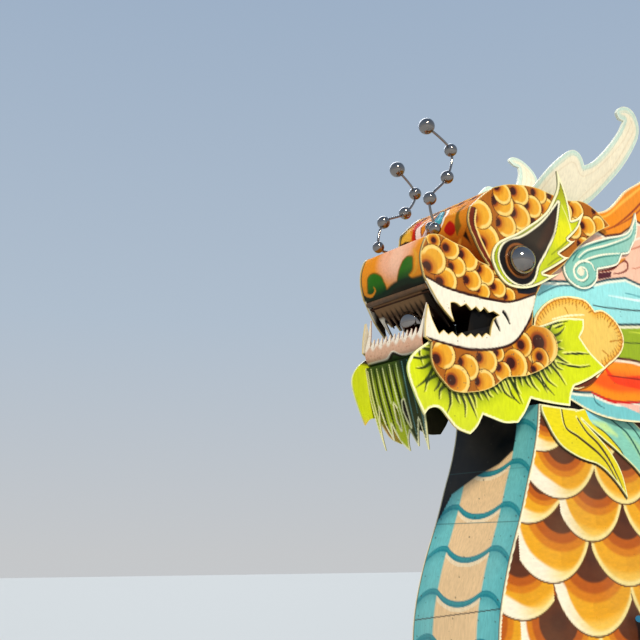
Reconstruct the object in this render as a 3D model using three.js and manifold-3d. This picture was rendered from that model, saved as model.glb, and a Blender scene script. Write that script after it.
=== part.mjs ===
// River tour boat with a cut-plate dragon figurehead, a porch, a cabin and a dragon tail.
// Millimetres. +X is the bow, +Y is port, +Z is up. The origin is amidships on the waterline.
// The figurehead is drawn in side view: each point is [aft of the snout, height above water].

import * as THREE from 'three';
import { mergeVertices } from 'three/addons/utils/BufferGeometryUtils.js';
import Module from 'manifold-3d';

const wasm = await Module();
wasm.setup();

const GAP = 0.3; // between pieces that rest on each other
const PORT = 1;
const STARBOARD = -1;
const SIDES = [['port', PORT], ['starboard', STARBOARD]];

// Figurehead
const SNOUT_X = 6600;
const HEAD_HALF = 215; // outer face of the face plates at the snout
const HEAD_FLARE = THREE.MathUtils.degToRad(6); // the head widens towards the mane
const NECK_HALF = 265; // outer face of the neck plates
const NECK_TOP = 2165;
const PLATE = 10;
const FACE_PLATE = 14;
const EYE_PLATE = 12;
const SHEET = 8;
const EYE_RADIUS = 72;
const HORN_PLANE = 200; // outer face of the horns at their seat
const HORN_LEAN = THREE.MathUtils.degToRad(18); // the horns lean out from the head
const HORN_SEAT = 3200;

// Hull. Columns: x, half width at the deck, half width at the chine, chine height, keel height
const DECK = 620;
const HULL_LINES = [
  [-6300, 980, 820, 120, 20],
  [-5300, 1210, 1060, -40, -160],
  [-4000, 1370, 1230, -140, -330],
  [-2000, 1440, 1310, -180, -430],
  [500, 1450, 1310, -180, -450],
  [2500, 1390, 1190, -170, -440],
  [3900, 1110, 850, -130, -400],
  [4800, 700, 500, -90, -280],
  [5450, NECK_HALF, NECK_HALF - 3, -60, -120],
];
const HULL_STATIONS = 24;
const HULL_BOW = 5450;
// Columns: x, height of the bulwark's top
const SHEER = [[-6290, 960], [-4600, 830], [-1500, 770], [1500, 780], [3400, 900], [4600, 1060], [5380, 1230]];
const BULWARK = 40;
const STRAKE = 50;

// Cabin and porch
const WALL = 40;
const CABIN_HALF = 1220;
const CABIN_AFT = -4400;
const CABIN_FRONT = 1400;
const ROOF_UNDER = 2550;
const ROOF_THICK = 90;
const ROOF_HALF = 1480;
const ROOF_AFT = -5300;
const ROOF_FRONT = 1900;
const FASCIA = 30;
const FASCIA_LOW = 2450;
const FASCIA_TOP = 2860;
const WINDOW = { width: 780, low: 1380, high: 2180, pitch: 950, first: -3875, count: 6 };
const PORCH_FRONT = 3000;
const PORCH_ROOF_AFT = 1932;
const PORCH_ROOF_FRONT = 3320;
const RIDGE = 3220;
const POST_RADIUS = 25;

// Doors: opening half width, top of the opening, sill
const FRONT_DOOR = { half: 605, top: 2440, sill: 660 };
const AFT_DOOR = { half: 357.5, top: 2440, sill: 660 };
const DOOR_THICK = 35;
const DOOR_GAP = 5;
const HINGE_RADIUS = 9;
const HINGE_OUT = 10;

// Running gear
const SHAFT_Z = -500;
const SHAFT_RADIUS = 20;
const BORE_PLAY = 1;
const PROP_X = -5400;
const PROP_RADIUS = 225;
const RUDDER_X = -5900;
const SOLE_TOP = -752;
const SOLE_LOW = -800;
const PIN_RADIUS = 15;
const HATCH = { aft: -5720, front: -5140, half: 300, thick: 30, lap: 40 };
const HATCH_HINGE = { x: -5732, z: 641, y: 175, half: 25 };
const BAY = { aft: -5680, front: -4600, half: 330, floor: -50, top: 570 };
const ENGINE = { length: 850, width: 500, height: 470, x: -5125 };
const CONSOLE = { aft: 2700, front: 2900, inner: 650, outer: 1050, top: 1500 };
const WHEEL = { x: 2640, y: 850, z: 1290, radius: 250, rim: 16, shaft: 12 };

const COLOURS = {
  gold: 0xe89a18, lime: 0xc8dc18, white: 0xf5ebd8, cyan: 0x9fe5e2, teal: 0x6fbab0, cream: 0xf5e6cc,
  yellow: 0xf2cf6a, orange: 0xf0800a, scale: 0xe8981a, belly: 0x5cb0a8, maroon: 0xa01812, black: 0x24201c,
  pink: 0xf0b090, steel: 0xb8bcc0, red: 0xb82818, wood: 0x7a4a26, blue: 0x4aa0c8, bronze: 0xb08840,
};

const boat = new THREE.Group();

function material(colour, roughness = 0.5, metalness = 0) {
  return new THREE.MeshStandardMaterial({ color: COLOURS[colour], roughness, metalness });
}

// Solids and geometries

function solid(geometry) {
  const bare = geometry.clone();
  bare.deleteAttribute('normal');
  bare.deleteAttribute('uv');
  const merged = mergeVertices(bare, 1e-3);
  const index = merged.index.array;
  const kept = [];
  for (let i = 0; i < index.length; i += 3) {
    const [a, b, c] = [index[i], index[i + 1], index[i + 2]];
    if (a !== b && b !== c && a !== c) kept.push(a, b, c);
  }
  const mesh = new wasm.Mesh({
    numProp: 3,
    vertProperties: new Float32Array(merged.attributes.position.array),
    triVerts: new Uint32Array(kept),
  });
  return new wasm.Manifold(mesh);
}

function geometryOf(manifold) {
  const mesh = manifold.getMesh();
  const geometry = new THREE.BufferGeometry();
  geometry.setAttribute('position', new THREE.BufferAttribute(new Float32Array(mesh.vertProperties), 3));
  geometry.setIndex(new THREE.BufferAttribute(new Uint32Array(mesh.triVerts), 1));
  return geometry;
}

function add(name, manifold, look, parent = boat) {
  const mesh = new THREE.Mesh(geometryOf(manifold), look);
  mesh.name = name;
  parent.add(mesh);
}

function joined(list) {
  return list.reduce((sum, next) => sum.add(next));
}

function box(x0, x1, y0, y1, z0, z1) {
  const geometry = new THREE.BoxGeometry(x1 - x0, y1 - y0, z1 - z0);
  return solid(geometry.translate((x0 + x1) / 2, (y0 + y1) / 2, (z0 + z1) / 2));
}

// A round bar between two points
function rod(from, to, radius, sides = 12) {
  const a = new THREE.Vector3(...from);
  const b = new THREE.Vector3(...to);
  const geometry = new THREE.CylinderGeometry(radius, radius, a.distanceTo(b), sides);
  const turn = new THREE.Quaternion().setFromUnitVectors(new THREE.Vector3(0, 1, 0), b.clone().sub(a).normalize());
  return solid(geometry.applyQuaternion(turn).translate(...a.clone().add(b).multiplyScalar(0.5).toArray()));
}

// Runs of points, each run a smooth curve or a straight line, that meet at corners
function outline(runs, mapped = ([u, v]) => new THREE.Vector2(u, v)) {
  const shape = new THREE.Shape();
  shape.moveTo(...mapped(runs[0][0]).toArray());
  for (const run of runs) {
    const points = run.map(mapped);
    if (points.length === 2) shape.lineTo(points[1].x, points[1].y);
    else shape.splineThru(points.slice(1));
  }
  return shape;
}

function straight(points) {
  return outline(points.map((point, i) => [point, points[(i + 1) % points.length]]));
}

// A shape drawn in x and z, given thickness from y0 to y1
function upright(shape, y0, y1, curveSegments = 2) {
  const geometry = new THREE.ExtrudeGeometry(shape, { depth: y1 - y0, bevelEnabled: false, curveSegments });
  return solid(geometry.rotateX(Math.PI / 2).translate(0, y1, 0));
}

// A shape drawn in y and z, given length from x0 to x1
function crosswise(shape, x0, x1, curveSegments = 3) {
  const geometry = new THREE.ExtrudeGeometry(shape, { depth: x1 - x0, bevelEnabled: false, curveSegments });
  return solid(geometry.rotateX(Math.PI / 2).rotateZ(Math.PI / 2).translate(x0, 0, 0));
}

// A shape drawn in x and y, given height from z0 to z1
function flat(shape, z0, z1, curveSegments = 3) {
  const geometry = new THREE.ExtrudeGeometry(shape, { depth: z1 - z0, bevelEnabled: false, curveSegments });
  return solid(geometry.translate(0, 0, z0));
}

const fromSnout = ([aft, up]) => new THREE.Vector2(SNOUT_X - aft, up);
const alongPlate = ([aft, up]) => new THREE.Vector2(-aft, up);

// A thin sheet that follows a curve in side view, its thickness on the inner side of the curve
function band(points, thickness, steps = 2) {
  const curve = new THREE.SplineCurve(points.map(fromSnout));
  const outer = curve.getPoints(points.length * steps);
  const inner = outer.map((point, i) => {
    const before = outer[Math.max(i - 1, 0)];
    const after = outer[Math.min(i + 1, outer.length - 1)];
    const along = after.clone().sub(before).normalize();
    return new THREE.Vector2(point.x + along.y * thickness, point.y - along.x * thickness);
  });
  return new THREE.Shape([...outer, ...inner.reverse()]);
}

// The room between the two flared head plates, at a depth in from the face plates' outer faces
function betweenPlates(depth) {
  const half = (aft) => HEAD_HALF + aft * Math.tan(HEAD_FLARE) - (depth + GAP) / Math.cos(HEAD_FLARE);
  const ends = [-300, 2400];
  const corners = [[ends[0], PORT], [ends[1], PORT], [ends[1], STARBOARD], [ends[0], STARBOARD]];
  const points = corners.map(([aft, side]) => new THREE.Vector2(SNOUT_X - aft, side * half(aft)));
  return flat(new THREE.Shape(points), 1000, 4000);
}

// Hull lines, smooth between the rows of the table
function hullStations() {
  const curves = [1, 2, 3, 4].map((column) => new THREE.SplineCurve(
    HULL_LINES.map((row) => new THREE.Vector2(row[0], row[column]))));
  return Array.from({ length: HULL_STATIONS + 1 }, (_, i) => {
    const at = curves.map((curve) => curve.getPoint(i / HULL_STATIONS));
    return { x: at[0].x, deck: at[0].y, chine: at[1].y, chineZ: at[2].y, keelZ: at[3].y };
  });
}

const STATIONS = hullStations();

function loft(rings) {
  const count = rings[0].length;
  const index = [];
  for (let i = 0; i < rings.length - 1; i += 1) {
    for (let j = 0; j < count; j += 1) {
      const [a, b] = [i * count + j, i * count + ((j + 1) % count)];
      index.push(a, b, b + count, a, b + count, a + count);
    }
  }
  const last = (rings.length - 1) * count;
  for (let j = 1; j < count - 1; j += 1) index.push(0, j + 1, j, last, last + j, last + j + 1);
  const geometry = new THREE.BufferGeometry();
  geometry.setAttribute('position', new THREE.Float32BufferAttribute(rings.flat(2), 3));
  geometry.setIndex(index);
  return geometry;
}

function hullGeometry(drop = 0) {
  return loft(STATIONS.map(({ x, deck, chine, chineZ, keelZ }) => [
    [x, deck, DECK - drop],
    [x, -deck, DECK - drop],
    [x, -chine, chineZ - drop],
    [x, 0, keelZ - drop],
    [x, chine, chineZ - drop],
  ]));
}

function hull() {
  const { aft, front, half, floor, top } = BAY;
  const room = box(aft, front, -half, half, floor, top);
  const mouth = box(aft, HATCH.front - HATCH.lap, HATCH.lap - HATCH.half, HATCH.half - HATCH.lap, top - 10, DECK + 10);
  const stockHole = rod([RUDDER_X, 0, -300], [RUDDER_X, 0, 450], SHAFT_RADIUS + 2, 24);
  const shell = solid(hullGeometry()).subtract(room).subtract(mouth).subtract(stockHole);
  const inner = HATCH_HINGE.y - HATCH_HINGE.half - GAP;
  return joined([shell, ...SIDES.map(([, side]) => hatchKnuckle(side * inner, side * (inner - 50), 0, DECK - 5))]);
}

// Half of a hatch hinge: a knuckle across the boat with a tab that reaches out and down from the axis
function hatchKnuckle(y0, y1, reach, low) {
  const { x, z } = HATCH_HINGE;
  const [left, right] = [Math.min(y0, y1), Math.max(y0, y1)];
  const tab = box(x - HINGE_RADIUS, x + Math.max(reach, HINGE_RADIUS), left, right, low, z);
  return rod([x, left, z], [x, right, z], HINGE_RADIUS, 8).add(tab);
}

function skeg() {
  const side = straight([[-2400, -380], [-2400, -100], [-4950, 100], [-4950, SOLE_TOP], [-6080, SOLE_TOP],
    [-6080, SOLE_LOW], [-4600, SOLE_LOW]]);
  const bore = rod([-5000, 0, SHAFT_Z], [-4650, 0, SHAFT_Z], SHAFT_RADIUS + BORE_PLAY, 24);
  const pinHole = rod([RUDDER_X, 0, -820], [RUDDER_X, 0, -730], PIN_RADIUS + BORE_PLAY, 24);
  return upright(side, -30, 30).subtract(solid(hullGeometry(GAP))).subtract(bore).subtract(pinHole);
}

// A strip that follows the deck's edge, between two distances out from it
function edgeStrip(inner, outer, from, to) {
  const inside = STATIONS.filter(({ x }) => x > from + 1 && x < to - 1);
  const ends = [from, to].map((x) => {
    const next = STATIONS.findIndex((station) => station.x >= x - 1e-6);
    const [a, b] = [STATIONS[Math.max(next - 1, 0)], STATIONS[Math.max(next, 1)]];
    return { x, deck: a.deck + ((b.deck - a.deck) * (x - a.x)) / (b.x - a.x) };
  });
  const line = [ends[0], ...inside, ends[1]];
  const points = line.map(({ x, deck }) => new THREE.Vector2(x, deck + outer));
  const back = line.map(({ x, deck }) => new THREE.Vector2(x, deck + inner)).reverse();
  return new THREE.Shape([...points, ...back]);
}

function bulwark() {
  const wall = flat(edgeStrip(-5 - BULWARK, -5, -6290, 5380), DECK + GAP, 1300);
  const under = [...SHEER.map(([x, z]) => [x, z])];
  const top = outline([[[-6290, 0], under[0]], under, [under.at(-1), [5380, 0]], [[5380, 0], [-6290, 0]]]);
  return wall.intersect(upright(top, 0, 2000, 3));
}

function strake() {
  return flat(edgeStrip(GAP, STRAKE, -6300, 5300), DECK - 80, DECK);
}

function mirrored(manifold, side) {
  return side === PORT ? manifold : manifold.mirror([0, 1, 0]);
}

add('hull', hull(), material('maroon', 0.45));
add('skeg', skeg(), material('black', 0.6));
for (const [name, side] of SIDES) {
  add(`bulwark_${name}`, mirrored(bulwark(), side), material('blue', 0.45));
  add(`rubbing_strake_${name}`, mirrored(strake(), side), material('black', 0.6));
}

// Neck

const BELLY_LINE = [[650, NECK_TOP], [630, 2050], [590, 1920], [545, 1810], [495, 1680], [450, 1580], [405, 1480],
  [368, 1380], [338, 1280], [320, 1180], [312, 1060], [318, 930], [348, 780], [405, 630], [495, 480], [620, 330],
  [780, 180], [960, 40], [1150 - GAP, -100]];
const NECK_BACK_LINE = [[2400, DECK + GAP], [2180, 690], [1960, 810], [1800, 950], [1690, 1100], [1610, 1300],
  [1580, 1500], [1600, 1700], [1650, 1900], [1740, NECK_TOP]];

// Tongues that hang from the head down the neck, fixed flat on the neck plates
const YELLOW_TENDRIL = [
  [[655, 2160], [662, 2118], [760, 1993], [907, 1934], [1038, 1910], [1150, 1845], [1236, 1766]],
  [[1236, 1766], [1199, 1891], [1112, 1993], [1009, 2066], [921, 2125], [888, 2160]],
  [[888, 2160], [655, 2160]],
];
const TEAL_TENDRIL = [
  [[870, 2155], [994, 2082], [1082, 2037], [1199, 1978], [1331, 1900], [1450, 1790], [1530, 1640]],
  [[1530, 1640], [1560, 1790], [1510, 1960], [1420, 2080], [1290, 2160]],
  [[1290, 2160], [870, 2155]],
];

function neckSide() {
  const bow = SNOUT_X - HULL_BOW - GAP;
  const shape = outline([BELLY_LINE, [BELLY_LINE.at(-1), [bow, DECK + GAP]], [[bow, DECK + GAP], NECK_BACK_LINE[0]],
    NECK_BACK_LINE, [NECK_BACK_LINE.at(-1), BELLY_LINE[0]]], fromSnout);
  const tendrils = [YELLOW_TENDRIL, TEAL_TENDRIL].map((runs) => upright(outline(runs, fromSnout), NECK_HALF - 1,
    NECK_HALF + PLATE));
  return joined([upright(shape, NECK_HALF - PLATE, NECK_HALF), ...tendrils]);
}

for (const [name, side] of SIDES) add(`neck_side_${name}`, mirrored(neckSide(), side), material('scale'));
const insideNeck = NECK_HALF - PLATE - GAP;
const bowFace = box(HULL_BOW - 1000, HULL_BOW + GAP, -600, 600, -600, DECK + GAP);
const bellySheet = upright(band(BELLY_LINE, SHEET), -insideNeck, insideNeck).subtract(bowFace);
add('neck_belly_sheet', bellySheet, material('belly'));
add('neck_back_sheet', upright(band(NECK_BACK_LINE.slice(1), SHEET), -insideNeck, insideNeck), material('orange'));

// Head core: the boxed middle of the head, from the neck's top to the crown, between the mane plates
function headCore() {
  const shape = outline([[[640, NECK_TOP + GAP], [1700, NECK_TOP + GAP]],
    [[1700, NECK_TOP + GAP], [1740, 2400], [1700, 2700], [1560, 2950], [1350, 3120], [1150, HORN_SEAT]],
    [[1150, HORN_SEAT], [640, HORN_SEAT]], [[640, HORN_SEAT], [640, NECK_TOP + GAP]]], fromSnout);
  return upright(shape, -600, 600).intersect(betweenPlates(FACE_PLATE + 3 * (PLATE + GAP)));
}

add('head_core', headCore(), material('orange'));

// Side plates of the head, stacked outwards: mane, fan and ear, fringe, face, eye plate

const FACE_RUNS = [
  [[10, 2670], [-5, 2735], [0, 2790], [30, 2855], [65, 2872], [105, 2875]],
  [[105, 2875], [190, 2850], [255, 2835], [315, 2790], [380, 2778]],
  [[380, 2778], [340, 2825], [305, 2885], [270, 2965], [280, 3035], [305, 3065], [370, 3125], [430, 3170]],
  [[430, 3170], [525, 3205], [680, 3225], [790, 3212], [900, 3200], [1000, 3215], [1090, 3190], [1190, 3120]],
  [[1190, 3120], [1080, 3060], [950, 2960], [850, 2860], [760, 2790], [700, 2740], [660, 2680]],
  [[660, 2680], [635, 2605], [620, 2528]],
  [[620, 2528], [715, 2520], [765, 2475], [765, 2405], [695, 2340], [570, 2285], [450, 2265], [385, 2225],
    [300, 2190], [160, 2175], [95, 2215], [50, 2265], [35, 2315], [40, 2380]],
  [[40, 2380], [5, 2398]],
  [[5, 2398], [10, 2470], [25, 2545]],
  [[25, 2545], [45, 2480], [80, 2418]],
];
const TEETH = [[80, 2418], [105, 2440], [130, 2422], [152, 2438], [180, 2418], [205, 2440], [230, 2424], [255, 2442],
  [278, 2426], [300, 2448], [318, 2432], [342, 2455], [365, 2445], [380, 2500], [395, 2528], [425, 2548],
  [392, 2562], [365, 2552], [340, 2572], [315, 2550], [290, 2570], [265, 2550], [235, 2575], [205, 2558],
  [175, 2572], [148, 2568]];
const FANG = [[[148, 2568], [150, 2530], [165, 2485]], [[165, 2485], [85, 2560], [10, 2670]]];
const EYE_RUNS = [
  [[835, 3340], [835, 3260], [800, 3185], [730, 3090], [555, 2965], [425, 2890], [390, 2800], [450, 2710], [535, 2690],
    [645, 2715], [810, 2805]],
  [[810, 2805], [750, 2785], [695, 2785]],
  [[695, 2785], [790, 2840], [875, 2895]],
  [[875, 2895], [845, 2893], [810, 2905]],
  [[810, 2905], [875, 2950], [925, 2990]],
  [[925, 2990], [900, 2982], [875, 2988]],
  [[875, 2988], [950, 3060], [995, 3150]],
  [[995, 3150], [950, 3110], [905, 3090]],
  [[905, 3090], [898, 3160], [875, 3250], [835, 3340]],
];
const FRINGE_RUNS = [
  [[45, 2390], [-35, 2335], [-75, 2280], [-75, 2225], [-40, 2140], [0, 2065]],
  [[0, 2065], [30, 2095], [80, 2100], [125, 2060], [170, 2020], [240, 2000]],
  [[240, 2000], [280, 2035], [315, 2090]],
  [[315, 2090], [365, 2078], [440, 2062], [515, 2070]],
  [[515, 2070], [560, 2120], [600, 2185]],
  [[600, 2185], [665, 2177], [745, 2172], [840, 2170]],
  [[840, 2170], [850, 2220], [875, 2265]],
  [[875, 2265], [980, 2310], [1095, 2375]],
  [[1095, 2375], [1000, 2440], [935, 2510]],
  [[935, 2510], [965, 2555], [970, 2605]],
  [[970, 2605], [830, 2590], [710, 2545], [560, 2500], [400, 2500]],
  [[400, 2500], [200, 2440], [45, 2390]],
];
const FAN_RUNS = [
  [[640, 2420], [655, 2545], [690, 2610], [770, 2675], [880, 2710], [1000, 2708], [1060, 2660]],
  [[1060, 2660], [1120, 2670], [1205, 2625], [1250, 2545], [1215, 2460], [1100, 2375], [1000, 2290], [900, 2255]],
  [[900, 2255], [740, 2300], [640, 2420]],
];
const EAR_RUNS = [
  [[1105, 2880], [1090, 2820], [1040, 2775], [970, 2762], [900, 2790], [870, 2840], [885, 2900], [940, 2950],
    [1015, 2995], [1160, 3055], [1325, 3110], [1385, 3170], [1420, 3245]],
  [[1420, 3245], [1425, 3170], [1405, 3100], [1365, 3040]],
  [[1365, 3040], [1340, 3005], [1290, 2990]],
  [[1290, 2990], [1260, 2940], [1220, 2915], [1105, 2880]],
];
// Each flame of the mane: notch before it, two points above, tip, two points below
const MANE_FLAMES = [
  [[1500, 3190], [1650, 3250], [1860, 3280], [2050, 3370], [1970, 3190], [1830, 3040]],
  [[1660, 2930], [1840, 2975], [2010, 2970], [2190, 3040], [2110, 2870], [1950, 2760]],
  [[1720, 2690], [1880, 2720], [2050, 2690], [2220, 2730], [2130, 2570], [1980, 2480]],
  [[1740, 2430], [1880, 2440], [2020, 2380], [2160, 2380], [2090, 2250], [1950, 2195]],
];
const MANE_END = [1740, 2172];

function maneRuns() {
  const runs = [
    [[700, 3200], [900, 3195], [1050, 3180], [1190, 3212], [1275, 3268], [1370, 3360], [1495, 3440], [1640, 3540],
      [1800, 3660]],
    [[1800, 3660], [1710, 3480], [1600, 3330], MANE_FLAMES[0][0]],
  ];
  MANE_FLAMES.forEach(([notch, rise, crest, tip, under, back], i) => {
    const next = MANE_FLAMES[i + 1] ? MANE_FLAMES[i + 1][0] : MANE_END;
    runs.push([notch, rise, crest, tip], [tip, under, back, next]);
  });
  runs.push([MANE_END, [950, 2172]], [[950, 2172], [760, 2260], [660, 2420]], [[660, 2420], [650, 2800], [700, 3200]]);
  return runs;
}

function hornRuns() {
  const seat = HORN_SEAT + GAP;
  return [
    [[700, seat], [761, 3274], [845, 3383], [921, 3459], [977, 3499], [1029, 3501], [1066, 3482], [1095, 3451]],
    [[1095, 3451], [1164, 3490], [1245, 3574], [1316, 3676], [1338, 3739]],
    [[1338, 3739], [1299, 3740], [1267, 3768], [1310, 3804], [1389, 3804], [1455, 3757], [1477, 3694],
      [1449, 3609], [1386, 3501], [1298, 3399], [1215, 3311], [1137, 3242], [1100, seat]],
    [[1100, seat], [700, seat]],
  ];
}

// A horn stands on the head core and leans out: each point moves out by its height over the seat
function leaningHorn() {
  const out = Math.tan(HORN_LEAN);
  const board = new THREE.ExtrudeGeometry(outline(hornRuns(), fromSnout), { depth: 15, bevelEnabled: false, curveSegments: 2 });
  const lean = new THREE.Matrix4().set(1, 0, 0, 0, 0, 1, out, -out * (HORN_SEAT + GAP), 0, 0, 1, 0, 0, 0, 0, 1);
  return solid(board.rotateX(Math.PI / 2).translate(0, HORN_PLANE, 0).applyMatrix4(lean));
}

// Each flared plate: name, runs, inner face from the face plates' outer face, thickness, colour
const PLATE_STACK = [
  ['mane', maneRuns(), -(FACE_PLATE + 3 * (PLATE + GAP)), PLATE, 'cyan'],
  ['fan', FAN_RUNS, -(FACE_PLATE + 2 * (PLATE + GAP)), PLATE, 'yellow'],
  ['ear', EAR_RUNS, -(FACE_PLATE + 2 * (PLATE + GAP)), EYE_PLATE, 'teal'],
  ['fringe', FRINGE_RUNS, -(FACE_PLATE + PLATE + GAP), PLATE, 'lime'],
  ['face', [...FACE_RUNS, ...TEETH.slice(1).map((tooth, i) => [TEETH[i], tooth]), ...FANG], -FACE_PLATE, FACE_PLATE,
    'gold'],
  ['eye_plate', EYE_RUNS, GAP, EYE_PLATE, 'lime'],
];

function eyeBall() {
  const steps = 6;
  const arc = Array.from({ length: steps + 1 }, (_, i) => new THREE.Vector2(
    EYE_RADIUS * Math.cos((i * Math.PI) / 2 / steps), EYE_RADIUS * Math.sin((i * Math.PI) / 2 / steps)));
  return new THREE.LatheGeometry([new THREE.Vector2(0, 0), ...arc.slice(0, -1), new THREE.Vector2(0, EYE_RADIUS)], 20);
}

for (const [name, side] of SIDES) {
  const flared = new THREE.Group();
  flared.position.set(SNOUT_X, side * HEAD_HALF, 0);
  flared.rotation.z = -side * HEAD_FLARE;
  boat.add(flared);
  for (const [piece, runs, inner, thickness, colour] of PLATE_STACK) {
    const plate = upright(outline(runs, alongPlate), inner, inner + thickness);
    add(`${piece}_${name}`, mirrored(plate, side), material(colour), flared);
  }
  const ball = solid(eyeBall().translate(-555, EYE_PLATE + 2 * GAP, 2825));
  add(`eye_ball_${name}`, mirrored(ball, side), material('steel', 0.15, 1), flared);
  add(`horn_${name}`, mirrored(leaningHorn(), side), material('cream'));
}

// Cross sheets between the two sides of the head
const NOSE_LINE = [[378, 2776], [315, 2788], [255, 2832], [190, 2847], [105, 2872], [65, 2870], [30, 2853], [2, 2790],
  [-3, 2735], [8, 2690], [28, 2642]];
const FOREHEAD_LINE = [[690, 3222], [525, 3203], [430, 3168], [370, 3122], [305, 3063], [282, 3035], [272, 2965],
  [307, 2885], [342, 2825], [380, 2785]];
const PALATE_LINE = [[620, 2640], [350, 2605], [180, 2605], [52, 2618]];
const UPPER_TEETH_LINE = [[165, 2485], [110, 2545], [72, 2590], [46, 2625]];
const LOWER_JAW_LINE = [[36, 2545], [22, 2470], [4, 2400], [18, 2350], [80, 2332], [300, 2330], [620, 2330]];
const BEARD_LINE = [[2, 2325], [25, 2210], [50, 2070], [78, 1920]];
// Upright edges between the gum and the tips of a row of teeth, with a fang at each end
const UPPER_TEETH = { count: 9, half: 185, root: 2604, tip: 2578, fang: 2470, away: 2300 };
const LOWER_TEETH = { count: 11, half: 191, root: 2416, tip: 2450, fang: 2560, away: 2900 };
// The beard's lower edge in front view, [to port, height above water], and the slot in it
const BEARD_EDGE = [[-260, 2400], [-197, 2335], [-190, 2183], [-138, 1950], [-150, 2070], [-136, 2145], [-112, 2060],
  [-70, 1985], [21, 1935], [40, 2020], [80, 1950], [108, 2065], [138, 1930], [151, 2079], [157, 2200], [200, 2335],
  [260, 2400]];
const BEARD_SLOT = [[-36, 2145], [-22, 2100], [-12, 2030], [-34, 2085]];

function crossSheet(line, depth) {
  return upright(band(line, SHEET), -600, 600).intersect(betweenPlates(depth));
}

add('nose_sheet', crossSheet(NOSE_LINE, FACE_PLATE), material('orange'));
add('forehead_sheet', crossSheet(FOREHEAD_LINE, FACE_PLATE), material('gold'));

// What lies beyond the toothed edge, to be cut away
function gaps({ count, half, root, tip, fang, away }) {
  const pitch = (2 * (half - 30)) / count;
  const edge = [[-half, fang], [30 - half, root]];
  for (let i = 0; i < count; i += 1) {
    edge.push([30 - half + (i + 0.5) * pitch, tip], [30 - half + (i + 1) * pitch, root]);
  }
  return crosswise(straight([...edge, [half, fang], [half, away], [-half, away]]), SNOUT_X - 300, SNOUT_X + 50);
}

const upperTeeth = crossSheet(UPPER_TEETH_LINE, FACE_PLATE).subtract(gaps(UPPER_TEETH));
add('palate', crossSheet(PALATE_LINE, FACE_PLATE).add(upperTeeth), material('pink'));
add('lower_jaw_sheet', crossSheet(LOWER_JAW_LINE, FACE_PLATE + PLATE + GAP).subtract(gaps(LOWER_TEETH)),
  material('pink'));
const beardCut = crosswise(straight(BEARD_EDGE), 6000, 7000).subtract(crosswise(straight(BEARD_SLOT), 5900, 7100));
add('beard', crossSheet(BEARD_LINE, FACE_PLATE + PLATE + GAP).intersect(beardCut), material('lime'));

function ball(aft, y, up, radius, around = 8, down = 6) {
  return solid(new THREE.SphereGeometry(radius, around, down).rotateX(Math.PI / 2).translate(SNOUT_X - aft, y, up));
}

const PEARL = { aft: 135, up: 2525, radius: 55, foot: 2338.6 };
const BROW_BALL = { aft: 262, up: 3012, radius: 27 };
const pearlStem = rod([SNOUT_X - PEARL.aft, 0, PEARL.foot], [SNOUT_X - PEARL.aft, 0, PEARL.up], 10, 8);
add('pearl', ball(PEARL.aft, 0, PEARL.up, PEARL.radius, 16, 10).add(pearlStem), material('steel', 0.15, 1));

const browFlat = upright(band(FOREHEAD_LINE, SHEET + 60), -100, 100).translate(GAP, 0, 0);
add('brow_ball', ball(BROW_BALL.aft, 0, BROW_BALL.up, BROW_BALL.radius, 12, 8).subtract(browFlat),
  material('steel', 0.15, 1));

// Whiskers: polished balls on a bent rod. Columns: aft, height, ball radius
const WHISKER_Y = 150;
const WHISKER_ROD = 6;
const WHISKER_FOOT = [[128, 2848], [132, 2895]];
const WHISKERS = {
  port: [[145, 2935, 28], [120, 3075, 31], [235, 3210, 31], [265, 3355, 31], [115, 3435, 38]],
  starboard: [[60, 2912, 28], [95, 3045, 31], [235, 3125, 31], [305, 3245, 31], [190, 3345, 38]],
};

function whisker(balls, side) {
  const y = side * WHISKER_Y;
  const points = [...WHISKER_FOOT, ...balls].map(([aft, up]) => new THREE.Vector3(SNOUT_X - aft, y, up));
  const section = new THREE.Shape().absarc(0, 0, WHISKER_ROD, 0, Math.PI * 2);
  const path = new THREE.CatmullRomCurve3(points);
  const stem = new THREE.ExtrudeGeometry(section, { steps: 16, curveSegments: 3, extrudePath: path });
  return joined([solid(stem), ...balls.map(([aft, up, radius]) => ball(aft, y, up, radius))]);
}

const noseClear = solid(new THREE.ExtrudeGeometry(band(NOSE_LINE, SHEET + 40), { depth: 1200, bevelEnabled: false,
  curveSegments: 2 }).rotateX(Math.PI / 2).translate(0, 600, GAP));
for (const [name, side] of SIDES) {
  add(`whisker_${name}`, whisker(WHISKERS[name], side).subtract(noseClear), material('steel', 0.2, 1));
}

// Cabin

const WALL_LOW = DECK + GAP;
const WALL_TOP = ROOF_UNDER - GAP;

function cabinWall() {
  let wall = box(CABIN_AFT, CABIN_FRONT, CABIN_HALF - WALL, CABIN_HALF, WALL_LOW, WALL_TOP);
  for (let i = 0; i < WINDOW.count; i += 1) {
    const x = WINDOW.first + i * WINDOW.pitch;
    wall = wall.subtract(box(x - WINDOW.width / 2, x + WINDOW.width / 2, 1000, 1300, WINDOW.low, WINDOW.high));
  }
  return wall;
}

// A bulkhead across the cabin with a doorway above the sill and a window on each side of it
function bulkhead(x0, x1, door, windowWidth) {
  const half = CABIN_HALF - WALL - GAP;
  let wall = box(x0, x1, -half, half, WALL_LOW, WALL_TOP);
  wall = wall.subtract(box(x0 - 50, x1 + 50, -door.half, door.half, door.sill - DOOR_GAP, door.top));
  for (const [, side] of SIDES) {
    const y = (side * (half + door.half)) / 2;
    wall = wall.subtract(box(x0 - 50, x1 + 50, y - windowWidth / 2, y + windowWidth / 2, WINDOW.low, WINDOW.high));
  }
  return wall;
}

// Half of a hinge: a knuckle on the door's axis, with a tab back to the panel at tabX, tabY
function knuckle(axis, low, high, tabX, tabY) {
  const [x, y] = axis;
  const tab = box(Math.min(x, tabX), Math.max(x, tabX), Math.min(y, tabY), Math.max(y, tabY), low, high);
  return rod([x, y, low], [x, y, high], HINGE_RADIUS, 8).add(tab);
}

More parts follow.
